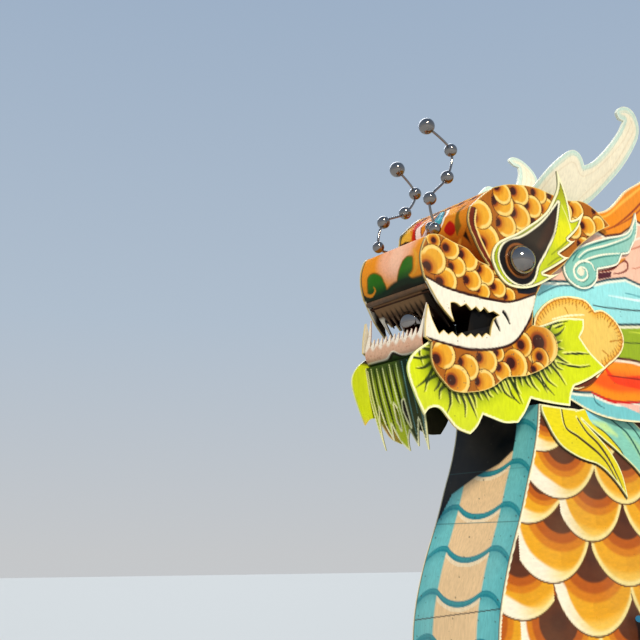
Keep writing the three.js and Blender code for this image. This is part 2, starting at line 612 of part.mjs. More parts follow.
const KNUCKLE_LOW = [900, 2100];
const KNUCKLE = 50;

// Facing is +1 for a door that opens forwards, -1 for one that opens aft. Side is the hinged side.
function doorAndKnuckles(wallFace, facing, side, hingeY, width, top, sill) {
  const axis = [wallFace + facing * HINGE_OUT, side * hingeY];
  const edge = side * (hingeY - DOOR_GAP / 2);
  const free = side * (hingeY - DOOR_GAP / 2 - width);
  const back = wallFace - facing * DOOR_THICK;
  let leaf = box(Math.min(wallFace, back), Math.max(wallFace, back), Math.min(edge, free), Math.max(edge, free), sill,
    top - DOOR_GAP);
  const frame = [];
  for (const low of KNUCKLE_LOW) {
    leaf = leaf.add(knuckle(axis, low, low + KNUCKLE, wallFace - facing, side * (hingeY - 25)));
    frame.push(knuckle(axis, low + KNUCKLE + GAP, low + 2 * KNUCKLE, wallFace - facing, side * (hingeY + 25)));
  }
  return { leaf, frame: joined(frame) };
}

const leafWidth = FRONT_DOOR.half - 1.5 * DOOR_GAP;
const frontLeaves = SIDES.map(([, side]) => doorAndKnuckles(CABIN_FRONT, 1, side, FRONT_DOOR.half - DOOR_GAP / 2,
  leafWidth, FRONT_DOOR.top, FRONT_DOOR.sill));
const aftLeaf = doorAndKnuckles(CABIN_AFT, -1, PORT, AFT_DOOR.half - DOOR_GAP / 2, 2 * AFT_DOOR.half - 2 * DOOR_GAP,
  AFT_DOOR.top, AFT_DOOR.sill);

const frontWall = bulkhead(CABIN_FRONT - WALL, CABIN_FRONT, FRONT_DOOR, 320);
add('front_bulkhead', joined([frontWall, ...frontLeaves.map(({ frame }) => frame)]), material('white'));
add('aft_bulkhead', bulkhead(CABIN_AFT, CABIN_AFT + WALL, AFT_DOOR, 500).add(aftLeaf.frame), material('white'));
SIDES.forEach(([name, side], i) => {
  add(`cabin_wall_${name}`, mirrored(cabinWall(), side), material('white'));
  add(`front_door_${name}`, frontLeaves[i].leaf, material('wood'));
});
add('aft_door', aftLeaf.leaf, material('wood'));

add('roof', box(ROOF_AFT, ROOF_FRONT, -ROOF_HALF, ROOF_HALF, ROOF_UNDER, ROOF_UNDER + ROOF_THICK), material('red'));

// A board round the roof's edge that hangs below it and stands above it
function fascia() {
  const ring = (out, low, top) => box(ROOF_AFT - out, ROOF_FRONT + out, -ROOF_HALF - out, ROOF_HALF + out, low, top);
  return ring(FASCIA + GAP, FASCIA_LOW, FASCIA_TOP).subtract(ring(GAP, FASCIA_LOW - 10, FASCIA_TOP + 10));
}

add('fascia', fascia(), material('yellow'));

// Porch roof section, port half from the eaves beam outwards and up to the ridge
const EAVES = [[1270, ROOF_UNDER], [1500, 2585], [1640, 2640], [1690, 2720]];
const GABLE = [[1690, 2720], [1400, 2715], [1000, 2820], [500, 3010], [40, RIDGE]];

function porchRoof() {
  const across = ([y, z]) => [-y, z];
  const shape = outline([EAVES, GABLE, [GABLE.at(-1), across(GABLE.at(-1))], GABLE.map(across).reverse(),
    EAVES.map(across).reverse(), [[-1270, ROOF_UNDER], [-1130, ROOF_UNDER]], [[-1130, ROOF_UNDER], [0, 3060]],
    [[0, 3060], [1130, ROOF_UNDER]], [[1130, ROOF_UNDER], [1270, ROOF_UNDER]]]);
  return crosswise(shape, PORCH_ROOF_AFT, PORCH_ROOF_FRONT);
}

add('porch_roof', porchRoof(), material('orange'));

// Ridge ornament: a low crest between two flame finials, drawn in x and z
function ridgeOrnament() {
  const low = RIDGE + GAP;
  const shape = outline([
    [[1950, low], [1930, 3330], [2000, 3420], [1960, 3540]],
    [[1960, 3540], [2070, 3450], [2110, 3360], [2250, 3310], [2600, 3290], [3000, 3310], [3130, 3370]],
    [[3130, 3370], [3160, 3480], [3290, 3600]],
    [[3290, 3600], [3270, 3480], [3330, 3380], [3290, low]],
    [[3290, low], [1950, low]],
  ]);
  return upright(shape, -15, 15);
}

add('ridge_ornament', ridgeOrnament(), material('red'));

// Porch rail on one side: two posts up to the eaves, rails and balusters, and a short return at the front
const RAIL_Y = 1200;
const RAIL_HEIGHTS = [760, 1400, 1480];
const RAIL_RADIUS = 18;
const NEWEL_Y = 560;

function porchRail() {
  const pieces = [];
  for (const x of [PORCH_ROOF_AFT + 90, PORCH_FRONT]) {
    pieces.push(rod([x, RAIL_Y, DECK + GAP], [x, RAIL_Y, ROOF_UNDER - GAP], POST_RADIUS));
  }
  pieces.push(rod([PORCH_FRONT, NEWEL_Y, DECK + GAP], [PORCH_FRONT, NEWEL_Y, 1560], POST_RADIUS));
  for (const z of RAIL_HEIGHTS) {
    pieces.push(rod([CABIN_FRONT + 1, RAIL_Y, z], [PORCH_FRONT, RAIL_Y, z], RAIL_RADIUS, 8));
    pieces.push(rod([PORCH_FRONT, RAIL_Y, z], [PORCH_FRONT, NEWEL_Y, z], RAIL_RADIUS, 8));
  }
  for (let i = 1; i <= 7; i += 1) {
    const x = CABIN_FRONT + (i * (PORCH_FRONT - CABIN_FRONT)) / 8;
    pieces.push(rod([x, RAIL_Y, RAIL_HEIGHTS[0]], [x, RAIL_Y, RAIL_HEIGHTS[1]], 10, 6));
  }
  for (let i = 1; i <= 3; i += 1) {
    const y = NEWEL_Y + (i * (RAIL_Y - NEWEL_Y)) / 4;
    pieces.push(rod([PORCH_FRONT, y, RAIL_HEIGHTS[0]], [PORCH_FRONT, y, RAIL_HEIGHTS[1]], 10, 6));
  }
  return joined(pieces);
}

function bench() {
  const seat = box(-4000, 900, 780, 1170, 1030, 1070);
  const plinths = [-3900, -2300, -750, 800].map((x) => box(x - 30, x + 30, 800, 1150, DECK + GAP, 1040));
  return joined([seat, ...plinths]);
}

function mooringPost() {
  return rod([4300, 560, DECK + GAP], [4300, 560, 1160], 55).add(rod([4300, 480, 1040], [4300, 640, 1040], 22, 8));
}

for (const [name, side] of SIDES) {
  add(`porch_rail_${name}`, mirrored(porchRail(), side), material('steel', 0.25, 1));
  add(`bench_${name}`, mirrored(bench(), side), material('wood'));
  add(`mooring_post_${name}`, mirrored(mooringPost(), side), material('wood'));
}

// Helm

function console_() {
  const { aft, front, inner, outer, top } = CONSOLE;
  const bore = rod([aft - 20, WHEEL.y, WHEEL.z], [aft + 120, WHEEL.y, WHEEL.z], WHEEL.shaft + BORE_PLAY, 24);
  return box(aft, front, inner, outer, DECK + GAP, top).subtract(bore);
}

function steeringWheel() {
  const rim = solid(new THREE.TorusGeometry(WHEEL.radius, WHEEL.rim, 6, 24).rotateY(Math.PI / 2)
    .translate(WHEEL.x, WHEEL.y, WHEEL.z));
  const pieces = [rim, rod([WHEEL.x - 30, WHEEL.y, WHEEL.z], [WHEEL.x + 30, WHEEL.y, WHEEL.z], 45),
    rod([WHEEL.x, WHEEL.y, WHEEL.z], [CONSOLE.aft + 100, WHEEL.y, WHEEL.z], WHEEL.shaft)];
  for (let i = 0; i < 3; i += 1) {
    const turn = (i * Math.PI) / 3;
    const [dy, dz] = [WHEEL.radius * 1.25 * Math.sin(turn), WHEEL.radius * 1.25 * Math.cos(turn)];
    pieces.push(rod([WHEEL.x, WHEEL.y - dy, WHEEL.z - dz], [WHEEL.x, WHEEL.y + dy, WHEEL.z + dz], 12, 8));
  }
  return joined(pieces);
}

add('helm_console', console_(), material('wood'));
add('steering_wheel', steeringWheel(), material('wood'));

// Engine, hatch, propeller and rudder

const engineLow = BAY.floor + GAP;
add('engine_block', box(ENGINE.x - ENGINE.length / 2, ENGINE.x + ENGINE.length / 2, -ENGINE.width / 2, ENGINE.width / 2,
  engineLow, engineLow + ENGINE.height), material('black', 0.6));

function hatchLid() {
  const { y, half, z } = HATCH_HINGE;
  const lid = box(HATCH.aft, HATCH.front, -HATCH.half, HATCH.half, DECK + GAP, DECK + GAP + HATCH.thick);
  return joined([lid, ...SIDES.map(([, side]) => hatchKnuckle(side * (y - half), side * (y + half), 14, z - 5))]);
}

add('engine_hatch', hatchLid(), material('wood'));

function propeller() {
  const hub = rod([PROP_X - 80, 0, SHAFT_Z], [PROP_X + 80, 0, SHAFT_Z], 45);
  const shaft = rod([PROP_X, 0, SHAFT_Z], [-4700, 0, SHAFT_Z], SHAFT_RADIUS);
  const blades = [0, 1, 2, 3].map((i) => {
    const shape = new THREE.Shape().absellipse(0, 125, 75, PROP_RADIUS - 125, 0, Math.PI * 2);
    const blade = new THREE.ExtrudeGeometry(shape, { depth: 12, bevelEnabled: false, curveSegments: 8 });
    blade.translate(0, 0, -6).rotateX(Math.PI / 2).rotateZ(THREE.MathUtils.degToRad(60));
    return solid(blade.rotateX((i * Math.PI) / 2).translate(PROP_X, 0, SHAFT_Z));
  });
  return joined([hub, shaft, ...blades]);
}

add('propeller', propeller(), material('bronze', 0.3, 1));

function rudder() {
  const blade = outline([[[-5780, -140], [-5780, -560]], [[-5780, -560], [-5810, -680], [-5880, -720]],
    [[-5880, -720], [-6180, -720]], [[-6180, -720], [-6260, -680], [-6290, -600]], [[-6290, -600], [-6230, -140]],
    [[-6230, -140], [-5780, -140]]]);
  const stock = rod([RUDDER_X, 0, -300], [RUDDER_X, 0, 440], SHAFT_RADIUS);
  const pin = rod([RUDDER_X, 0, -700], [RUDDER_X, 0, -790], PIN_RADIUS);
  return joined([upright(blade, -12, 12), stock, pin]);
}

add('rudder', rudder(), material('black', 0.5));

// Tail: a curved plate on the aft deck that rises into flames
function tail() {
  const foot = DECK + GAP;
  const shape = outline([
    [[-5850, foot], [-5900, 900], [-6130, 1200], [-6240, 1500], [-6160, 1800], [-5980, 2000]],
    [[-5980, 2000], [-6120, 2040], [-6260, 2010]],
    [[-6260, 2010], [-6200, 2180], [-6060, 2330]],
    [[-6060, 2330], [-6260, 2330], [-6400, 2250]],
    [[-6400, 2250], [-6430, 2430], [-6380, 2600]],
    [[-6380, 2600], [-6570, 2440], [-6640, 2250]],
    [[-6640, 2250], [-6720, 2330], [-6840, 2370]],
    [[-6840, 2370], [-6800, 2150], [-6740, 1900], [-6700, 1600], [-6640, 1300], [-6500, 1000], [-6300, 760],
      [-6250, foot]],
    [[-6250, foot], [-5850, foot]],
  ]);
  return upright(shape, -60, 60);
}

add('dragon_tail', tail(), material('gold'));

export default boat;
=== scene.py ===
import math

import bmesh
import bpy
import numpy as np
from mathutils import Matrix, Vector
from mathutils.geometry import delaunay_2d_cdt


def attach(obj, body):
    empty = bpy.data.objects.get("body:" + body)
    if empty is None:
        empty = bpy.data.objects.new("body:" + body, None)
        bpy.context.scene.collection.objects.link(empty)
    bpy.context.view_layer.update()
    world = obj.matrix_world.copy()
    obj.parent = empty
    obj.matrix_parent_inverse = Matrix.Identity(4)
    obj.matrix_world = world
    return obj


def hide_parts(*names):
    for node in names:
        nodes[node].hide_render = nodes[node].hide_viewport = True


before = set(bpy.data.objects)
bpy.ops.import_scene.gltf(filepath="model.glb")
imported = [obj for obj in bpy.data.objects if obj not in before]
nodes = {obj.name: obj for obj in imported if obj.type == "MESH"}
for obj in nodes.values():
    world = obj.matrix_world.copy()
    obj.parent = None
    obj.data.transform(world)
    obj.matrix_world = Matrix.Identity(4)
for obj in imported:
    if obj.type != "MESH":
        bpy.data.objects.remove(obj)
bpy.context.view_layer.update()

# The camera stands a little over the water off the port bow, where the photograph was taken.
# It looks up at the head, so the foot of the bow is below the picture.
PHOTO_PIXELS = 640
PHOTO_FOCAL = 900
EYE = Vector((9.142, 2.96, 1.5))
HEADING = math.radians(54)
PITCH = math.radians(14.63)
SENSOR = 36.0

camera_data = bpy.data.cameras.new("camera")
camera_data.sensor_width = SENSOR
camera_data.lens = SENSOR * PHOTO_FOCAL / PHOTO_PIXELS
camera = bpy.data.objects.new("camera", camera_data)
bpy.context.scene.collection.objects.link(camera)
camera.location = EYE
sight = Vector((-math.cos(HEADING) * math.cos(PITCH), -math.sin(HEADING) * math.cos(PITCH), math.sin(PITCH)))
camera.rotation_euler = sight.to_track_quat("-Z", "Y").to_euler()
bpy.context.scene.camera = camera

# The floor is pale and lies at the waterline. A wide soft lamp stands far off the port bow, as the low sun
# did, and a weaker one on the other quarter with a pale sky fills the shade. Paints keep their plain colours.
FLOOR_HALF = 60


def lamp(name, azimuth, height, strength, spread, tint):
    """A far lamp: its light comes from an azimuth from the bow to port and a height, in degrees."""
    data = bpy.data.lights.new(name, "SUN")
    data.energy, data.angle, data.color = strength, math.radians(spread), tint
    light = bpy.data.objects.new(name, data)
    turn, rise = math.radians(azimuth), math.radians(height)
    back = Vector((math.cos(turn) * math.cos(rise), math.sin(turn) * math.cos(rise), math.sin(rise)))
    light.rotation_euler = (-back).to_track_quat("-Z", "Y").to_euler()
    bpy.context.scene.collection.objects.link(light)


lamp("key_lamp", 62, 36, 2.95, 9, (1.0, 0.91, 0.73))
lamp("fill_lamp", -120, 40, 0.9, 30, (0.92, 0.95, 1.0))
bpy.context.scene.view_settings.view_transform = "Standard"


def add_node(tree, kind, settings=None, inputs=None):
    """A shader node with its settings, and its inputs set to a value or joined to another node's output."""
    made = tree.nodes.new(kind)
    for key, value in (settings or {}).items():
        setattr(made, key, value)
    for key, value in (inputs or {}).items():
        if isinstance(value, bpy.types.NodeSocket):
            tree.links.new(value, made.inputs[key])
        else:
            made.inputs[key].default_value = value
    return made


def noise(tree, place, scale, detail, twist=0.0):
    """Cloudy noise from 0 to 1 at a place."""
    return add_node(tree, "ShaderNodeTexNoise", inputs={"Vector": place, "Scale": scale, "Detail": detail,
                                                        "Distortion": twist}).outputs["Fac"]


def carried(tree, value, low, high, first, last):
    """The first result under the low value, the last over the high one, and an even slope between."""
    return add_node(tree, "ShaderNodeMapRange", inputs={
        "Value": value, "From Min": low, "From Max": high, "To Min": first, "To Max": last}).outputs["Result"]


def stretched(tree, place, scales):
    """A place with its three measures multiplied, so that a pattern on it is drawn out."""
    return add_node(tree, "ShaderNodeMapping", inputs={"Vector": place, "Scale": scales}).outputs["Vector"]


def object_point(tree):
    """The object's own place."""
    return add_node(tree, "ShaderNodeTexCoord").outputs["Object"]


def raise_surface(tree, shader, height, strength, distance):
    """Lets light fall as if the surface stood up by a height."""
    raised = add_node(tree, "ShaderNodeBump", inputs={"Height": height, "Strength": strength,
                                                      "Distance": distance})
    tree.links.new(raised.outputs["Normal"], shader.inputs["Normal"])


def ramp(tree, factor, stops):
    """A colour ramp: each stop is a place from 0 to 1 and a colour."""
    made = add_node(tree, "ShaderNodeValToRGB", inputs={"Fac": factor})
    marks = made.color_ramp.elements
    while len(marks) < len(stops):
        marks.new(0.5)
    for mark, (place, colour) in zip(marks, stops):
        mark.position, mark.color = place, (*colour, 1)
    return made.outputs["Color"]


def bare_material(name):
    """A new material with its node tree and its Principled shader."""
    made = bpy.data.materials.new(name)
    made.use_nodes = True
    return made, made.node_tree, made.node_tree.nodes["Principled BSDF"]


sky = bpy.data.worlds.new("sky")
bpy.context.scene.world = sky
sky.use_nodes = True
sky_place = add_node(sky.node_tree, "ShaderNodeTexCoord")
sky_height = add_node(sky.node_tree, "ShaderNodeSeparateXYZ",
                      inputs={"Vector": sky_place.outputs["Generated"]})
sky_colour = ramp(sky.node_tree, sky_height.outputs["Z"],
                  [(0.0, (0.80, 0.82, 0.84)), (0.25, (0.62, 0.74, 0.88)), (1.0, (0.30, 0.46, 0.72))])
sky.node_tree.links.new(sky_colour, sky.node_tree.nodes["Background"].inputs["Color"])
sky.node_tree.nodes["Background"].inputs["Strength"].default_value = 0.70

floor_mesh = bpy.data.meshes.new("floor")
floor_corners = [(x * FLOOR_HALF, y * FLOOR_HALF, 0) for x, y in ((-1, -1), (1, -1), (1, 1), (-1, 1))]
floor_mesh.from_pydata(floor_corners, [], [(0, 1, 2, 3)])
floor = bpy.data.objects.new("floor", floor_mesh)
bpy.context.scene.collection.objects.link(floor)
floor_paint, _, floor_shader = bare_material("floor_paint")
floor_shader.inputs["Base Color"].default_value = (0.62, 0.63, 0.62, 1)
floor_shader.inputs["Roughness"].default_value = 0.8
floor_mesh.materials.append(floor_paint)

# Neck sides: two upright plates of thin board on a frame, cut with a saw and painted by hand with overlapping
# scales. Two flames of the same board hang down over each, screwed flat on, one yellow and one teal.
MM = 0.001
SNOUT = 6600
NECK_HALF = 265
NECK_PLATE = 10
NECK_PITCH = 6.5
WELD = 0.05
CORNER = math.radians(38)
GAP_RUNS = 12
ROW_STEP = 0.866
SIDES = (("port", 1), ("starboard", -1))


def linear(code):
    """A paint colour from its hex code to linear light: straight when very dark, else a power of 2.4."""
    shares = np.array([code >> 16, code >> 8 & 255, code & 255]) / 255
    return np.where(shares < 0.04045, shares / 12.92, ((shares + 0.055) / 1.055) ** 2.4)


def smooth(points, spans=8):
    """A curve through points, made of cubics whose end slopes are half the step across the neighbours."""
    p = np.array(points, float)
    p = np.vstack([p[:1], p, p[-1:]])
    a, b, c, d = p[:-3, None], p[1:-2, None], p[2:-1, None], p[3:, None]
    t = (np.arange(spans) / spans)[None, :, None]
    v, w = (c - a) / 2, (d - b) / 2
    curve = (2 * b - 2 * c + v + w) * t**3 + (3 * c - 3 * b - 2 * v - w) * t**2 + v * t + b
    return np.vstack([curve.reshape(-1, p.shape[1]), p[-2:-1]])


def gap_to(points, line, reach=1e9):
    """How far each point lies from a line of straight runs, and how far along the line the nearest place is.
    The runs are taken some at a time, with only the points that the reach brings near them."""
    best, along, start = np.full(len(points), 1e9), np.zeros(len(points)), 0.0
    line = np.asarray(line, float)
    for first in range(0, len(line) - 1, GAP_RUNS):
        piece = line[first:first + GAP_RUNS + 1]
        low, high = piece.min(0) - reach, piece.max(0) + reach
        chosen = np.flatnonzero(((points > low) & (points < high)).all(1))
        near_points, gap, place = points[chosen], best[chosen], along[chosen]
        for a, run in zip(piece[:-1], np.diff(piece, axis=0)):
            length = max(float(np.hypot(*run)), 1e-9)
            share = np.clip((near_points - a) @ run / length**2, 0, 1)
            far = np.hypot(*(near_points - a - share[:, None] * run).T)
            near = far < gap
            gap[near], place[near] = far[near], (start + share * length)[near]
            start += length
        best[chosen], along[chosen] = gap, place
    return best, along


def inside(points, ring):
    """True where a level line from the point to one side crosses the ring an odd number of times."""
    x, y = points.T
    odd = np.zeros(len(points), bool)
    for (x0, y0), (x1, y1) in zip(ring, np.roll(ring, -1, axis=0)):
        if y0 != y1:
            odd ^= ((y0 > y) != (y1 > y)) & (x < (x1 - x0) * (y - y0) / (y1 - y0) + x0)
    return odd


def fade(value, low, high):
    """0 up to low, 1 from high on, and a smooth S between them."""
    t = np.clip((value - low) / (high - low), 0, 1)
    return t * t * (3 - 2 * t)


class Paint:
    """Wet paint on a sheet: at each point, in mm on the sheet, a linear colour and how deep the line is
    cut."""

    def __init__(self, points, ground):
        self.points = points
        self.colour = np.tile(linear(ground), (len(points), 1))
        self.cut = np.zeros(len(points))

    def lay(self, cover, code, cut=None):
        """The old colour plus the cover's share of the way to the new one, and the same for the cut."""
        cover = np.clip(cover, 0, 1)
        self.colour += cover[:, None] * (linear(code) - self.colour)
        if cut is not None:
            self.cut += cover * (cut - self.cut)

    def around(self, line, reach):
        """The points in the box round a line, widened by the reach."""
        low, high = line.min(0) - reach, line.max(0) + reach
        return np.flatnonzero(((self.points > low) & (self.points < high)).all(1))

    def part(self, cover, chosen, code, cut=None):
        """Lays a cover that is known for some of the points only."""
        whole = np.zeros(len(self.points))
        whole[chosen] = cover
        self.lay(whole, code, cut)

    def field(self, ring, code, soft=3.0, cut=None, grow=0.0):
        """Fills a closed outline, with an edge that goes from full to none over the softness."""
        ring = np.array(ring, float)
        chosen = self.around(ring, soft + abs(grow))
        points = self.points[chosen]
        gap, _ = gap_to(points, np.vstack([ring, ring[:1]]), soft + abs(grow))
        signed = np.where(inside(points, ring), gap, -gap)
        self.part(0.5 + (signed + grow) / soft, chosen, code, cut)

    def stroke(self, line, code, wide=(5, 5), soft=2.5, cut=None, curved=True):
        """A brush stroke whose half width goes through the widths given, evenly along the line."""
        line = smooth(line) if curved and len(line) > 2 else np.array(line, float)
        chosen = self.around(line, max(wide) + soft)
        gap, along = gap_to(self.points[chosen], line, max(wide) + soft)
        length = np.hypot(*np.diff(line, axis=0).T).sum()
        half = np.interp(along / length, np.linspace(0, 1, len(wide)), wide)
        self.part(0.5 + (half - gap) / soft, chosen, code, cut)

    def rim(self, ring, code, far, near=-9.0, soft=2.5, cut=None):
        """A line along the cut edge, from one distance off it to another."""
        closed = np.vstack([ring, ring[:1]])
        chosen = self.around(closed, far + soft)
        gap, _ = gap_to(self.points[chosen], closed, far + soft)
        self.part(np.minimum(0.5 + (gap - near) / soft, 0.5 + (far - gap) / soft), chosen, code, cut)


def flat_rings(name, to_sheet, level):
    """The closed outlines of the flat face that a CAD plate has at one level: edges that only one triangle of
    the face uses, walked from end to end. Measures are the sheet's own, in mm."""
    mesh = nodes[name].data
    spots = np.zeros(len(mesh.vertices) * 3)
    mesh.vertices.foreach_get("co", spots)
    spots = to_sheet(spots.reshape(-1, 3) / MM)
    corners = np.zeros(len(mesh.loops), int)
    mesh.loops.foreach_get("vertex_index", corners)
    _, first, same = np.unique(np.round(spots / WELD).astype(int), axis=0, return_index=True,
                               return_inverse=True)
    faces = same.ravel()[corners].reshape(-1, 3)
    spots = spots[first]
    faces = faces[(np.abs(spots[faces][:, :, 2] - level) < 4 * WELD).all(1)]
    one_way = {edge for face in faces.tolist() for edge in zip(face, face[1:] + face[:1])}
    follow = {a: b for a, b in one_way if (b, a) not in one_way}
    rings = []
    while follow:
        start, here = follow.popitem()
        walk = [start]
        while here != start:
            walk.append(here)
            here = follow.pop(here)
        rings.append(spots[walk][:, :2])
    return sorted(rings, key=lambda ring: np.ptp(ring, axis=0).prod(), reverse=True)


def eased(ring, pitch):
    """The ring with its bends made round and its corners kept. Each run is a chain of cubics whose slopes
    follow the circle through three neighbours, cut into even steps."""
    edge = np.roll(ring, -1, axis=0) - ring
    size = np.hypot(*edge.T)
    keep = size > 0.5
    ring = ring[keep]
    edge = np.roll(ring, -1, axis=0) - ring
    size = np.hypot(*edge.T)[:, None]
    unit = edge / size
    before, before_size = np.roll(unit, 1, axis=0), np.roll(size, 1, axis=0)
    bend = np.abs(np.arctan2(before[:, 0] * unit[:, 1] - before[:, 1] * unit[:, 0], (before * unit).sum(1)))
    slope = before * size + unit * before_size
    slope /= np.hypot(*slope.T)[:, None]
    leave, arrive = slope.copy(), np.roll(slope, -1, axis=0)
    sharp = bend > CORNER
    sharp_next = np.roll(sharp, -1)
    mirrored_in = (3 * (unit * arrive).sum(1)[:, None] * unit - arrive) / 2
    leave[sharp] = np.where(sharp_next[:, None], unit, mirrored_in)[sharp]
    mirrored_out = (3 * (unit * leave).sum(1)[:, None] * unit - leave) / 2
    arrive[sharp_next] = np.where(sharp[:, None], unit, mirrored_out)[sharp_next]
    out = []
    for p, q, u, v, long in zip(ring, np.roll(ring, -1, axis=0), leave * size, arrive * size, size.ravel()):
        t = (np.arange(max(1, round(long / pitch))) / max(1, round(long / pitch)))[:, None]
        out.append((2*t**3 - 3*t**2 + 1) * p + (t**3 - 2*t**2 + t) * u
                   + (3*t**2 - 2*t**3) * q + (t**3 - t**2) * v)
    return np.vstack(out)


def filled(rings, pitch):
    """Triangles that fill the outlines: the outlines' own points and a lattice of even pitch inside them."""
    every = np.vstack(rings)
    (x0, y0), (x1, y1) = every.min(0), every.max(0)
    rows, columns = np.mgrid[0:int((y1 - y0) / pitch / ROW_STEP) + 1, 0:int((x1 - x0) / pitch) + 2]
    lattice = np.stack([x0 + (columns + rows % 2 / 2) * pitch, y0 + rows * pitch * ROW_STEP], -1)
    lattice = lattice.reshape(-1, 2)
    within = inside(lattice, rings[0])
    for hole in rings[1:]:
        within &= ~inside(lattice, hole)
    lattice = lattice[within]
    clear = np.ones(len(lattice), bool)
    for ring in rings:
        clear &= gap_to(lattice, np.vstack([ring, ring[:1]]), pitch)[0] > 0.6 * pitch
    lattice = lattice[clear]
    starts = np.cumsum([0] + [len(ring) for ring in rings])
    loops = [list(range(a, b)) for a, b in zip(starts[:-1], starts[1:])]
    made = delaunay_2d_cdt(np.vstack([every, lattice]).tolist(), [], loops, 1, 1e-4)
    points, faces = np.array([tuple(v) for v in made[0]]), np.array(made[2])
    for hole in rings[1:]:
        faces = faces[~inside(points[faces].mean(1), hole)]
    a, b, c = points[faces].transpose(1, 0, 2)
    turned = (b - a)[:, 0] * (c - a)[:, 1] - (b - a)[:, 1] * (c - a)[:, 0] < 0
    faces[turned] = faces[turned][:, ::-1]
    return points, faces


def open_edges(faces, count):
    """The directed edges that only one triangle has."""
    edges = np.vstack([faces[:, [0, 1]], faces[:, [1, 2]], faces[:, [2, 0]]])
    return edges[~np.isin(edges[:, 0] * count + edges[:, 1], edges[:, 1] * count + edges[:, 0])]


def cut_sheet(rings, pitch, back_pitch):
    """A sheet with thickness as two filled faces with the same rim, and the quads of its cut edge between
    them."""
    front, front_faces = filled(rings, pitch)
    back, back_faces = filled(rings, back_pitch)
    edges = open_edges(front_faces, len(front))
    key = lambda p: np.round(p[:, 0] * 50) * 1e7 + np.round(p[:, 1] * 50)
    back_rim = np.unique(open_edges(back_faces, len(back)))
    order = back_rim[np.argsort(key(back[back_rim]))]
    twin = np.full(len(front), -1)
    front_rim = np.unique(edges)
    found = np.clip(np.searchsorted(key(back[order]), key(front[front_rim])), 0, len(order) - 1)
    twin[front_rim] = order[found]
    walls = np.stack([edges[:, 1], edges[:, 0], twin[edges[:, 0]] + len(front),
                      twin[edges[:, 1]] + len(front)], 1)
    return {"front": front, "back": back, "rings": rings, "faces": front_faces, "walls": walls,
            "back_faces": back_faces[:, ::-1] + len(front)}


def ring_quads(rows, columns):
    """The numbers of points that lie ring by ring, and the quads that join each ring to the next."""
    place = np.arange(rows * columns).reshape(rows, columns)
    after = np.roll(place, -1, axis=1)
    return place, np.stack([place[:-1], place[1:], after[1:], after[:-1]], -1)


def end_caps(place):
    """Triangles from the first and the last ring to their middle points, numbered after all the rings."""
    after, around = np.roll(place, -1, axis=1), place.shape[1]
    return np.vstack([np.stack([np.full(around, place.size), place[0], after[0]], 1),
                      np.stack([np.full(around, place.size + 1), after[-1], place[-1]], 1)])


def end_fans(place):
    """Triangles that close the first and the last ring from one of their own points."""
    return np.vstack([np.stack([np.full(len(end) - 2, end[0]), end[1:-1], end[2:]], 1)
                      for end in (place[0], place[-1][::-1])])


def mesh_from(name, points, *groups):
    """A mesh from arrays: points in metres, and groups of faces that have the same number of corners."""
    mesh = bpy.data.meshes.new(name)
    corners = np.concatenate([group.ravel() for group in groups]).astype(np.int32)
    sizes = np.concatenate([np.full(len(group), group.shape[1]) for group in groups])
    mesh.vertices.add(len(points))
    mesh.vertices.foreach_set("co", np.asarray(points, np.float32).ravel())
    mesh.loops.add(len(corners))
    mesh.loops.foreach_set("vertex_index", corners)
    mesh.polygons.add(len(sizes))
    mesh.polygons.foreach_set("loop_start", (np.cumsum(sizes) - sizes).astype(np.int32))
    mesh.update(calc_edges=True)
    mesh.polygons.foreach_set("use_smooth", np.ones(len(sizes), bool))
    mesh.set_sharp_from_angle(angle=math.radians(35))
    return mesh


def set_up(name, mesh, look, slot, *stands_for, body="boat", paint=None):
    """Puts a finished mesh in the scene with its paint, on the body it rides on, and hides the parts it
    stands for.
    """
    if paint is not None:
        layer = mesh.color_attributes.new("paint", "FLOAT_COLOR", "POINT")
        layer.data.foreach_set("color", np.c_[paint, np.ones(len(paint))].astype(np.float32).ravel())
    mesh.materials.append(look)
    made = bpy.data.objects.new(name, mesh)
    bpy.context.scene.collection.objects.link(made)
    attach(made, body)
    if stands_for:
        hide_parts(*stands_for)
    return made


def turned_out(points, groups):
    """The groups of faces of a closed shell, all turned over if the shell holds less than nothing."""
    fans = [group[:, [0, i, i + 1]] for group in groups for i in range(1, group.shape[1] - 1)]
    a, b, c = points[np.vstack(fans)].transpose(1, 0, 2)
    return groups if (np.cross(a, b) * c).sum() > 0 else [group[:, ::-1] for group in groups]


def sheet_piece(name, sheets, look, slot, *stands_for, sign=1):
    """Cut sheets as one piece. Each brings its cut, its place in 3-D, its outer and inner levels, and the
    paint of its two faces. A painted line can be cut in, so its points lie below the level."""
    points, groups, paints, start = [], [], [], 0
    for sheet, place, outer, inner, front, back in sheets:
        spots = np.vstack([place(sheet["front"], outer - front.cut),
                           place(sheet["back"], np.full(len(sheet["back"]), float(inner)))]) * (1, sign, 1)
        shells = turned_out(spots - spots.mean(0), [sheet["faces"], sheet["back_faces"], sheet["walls"]])
        groups += [shell + start for shell in shells]
        points.append(spots * MM)
        paints.append(np.vstack([front.colour, back.colour]))
        start += len(spots)
    set_up(name, mesh_from(name, np.vstack(points), *groups), look, slot, *stands_for,
           paint=np.vstack(paints))


def plate_pair(name, sheets, look, slot):
    """The same piece on both sides, the starboard one mirrored."""
    for side, sign in SIDES:
        sheet_piece(f"{name}_{side}_painted", sheets, look, slot, f"{name}_{side}", sign=sign)


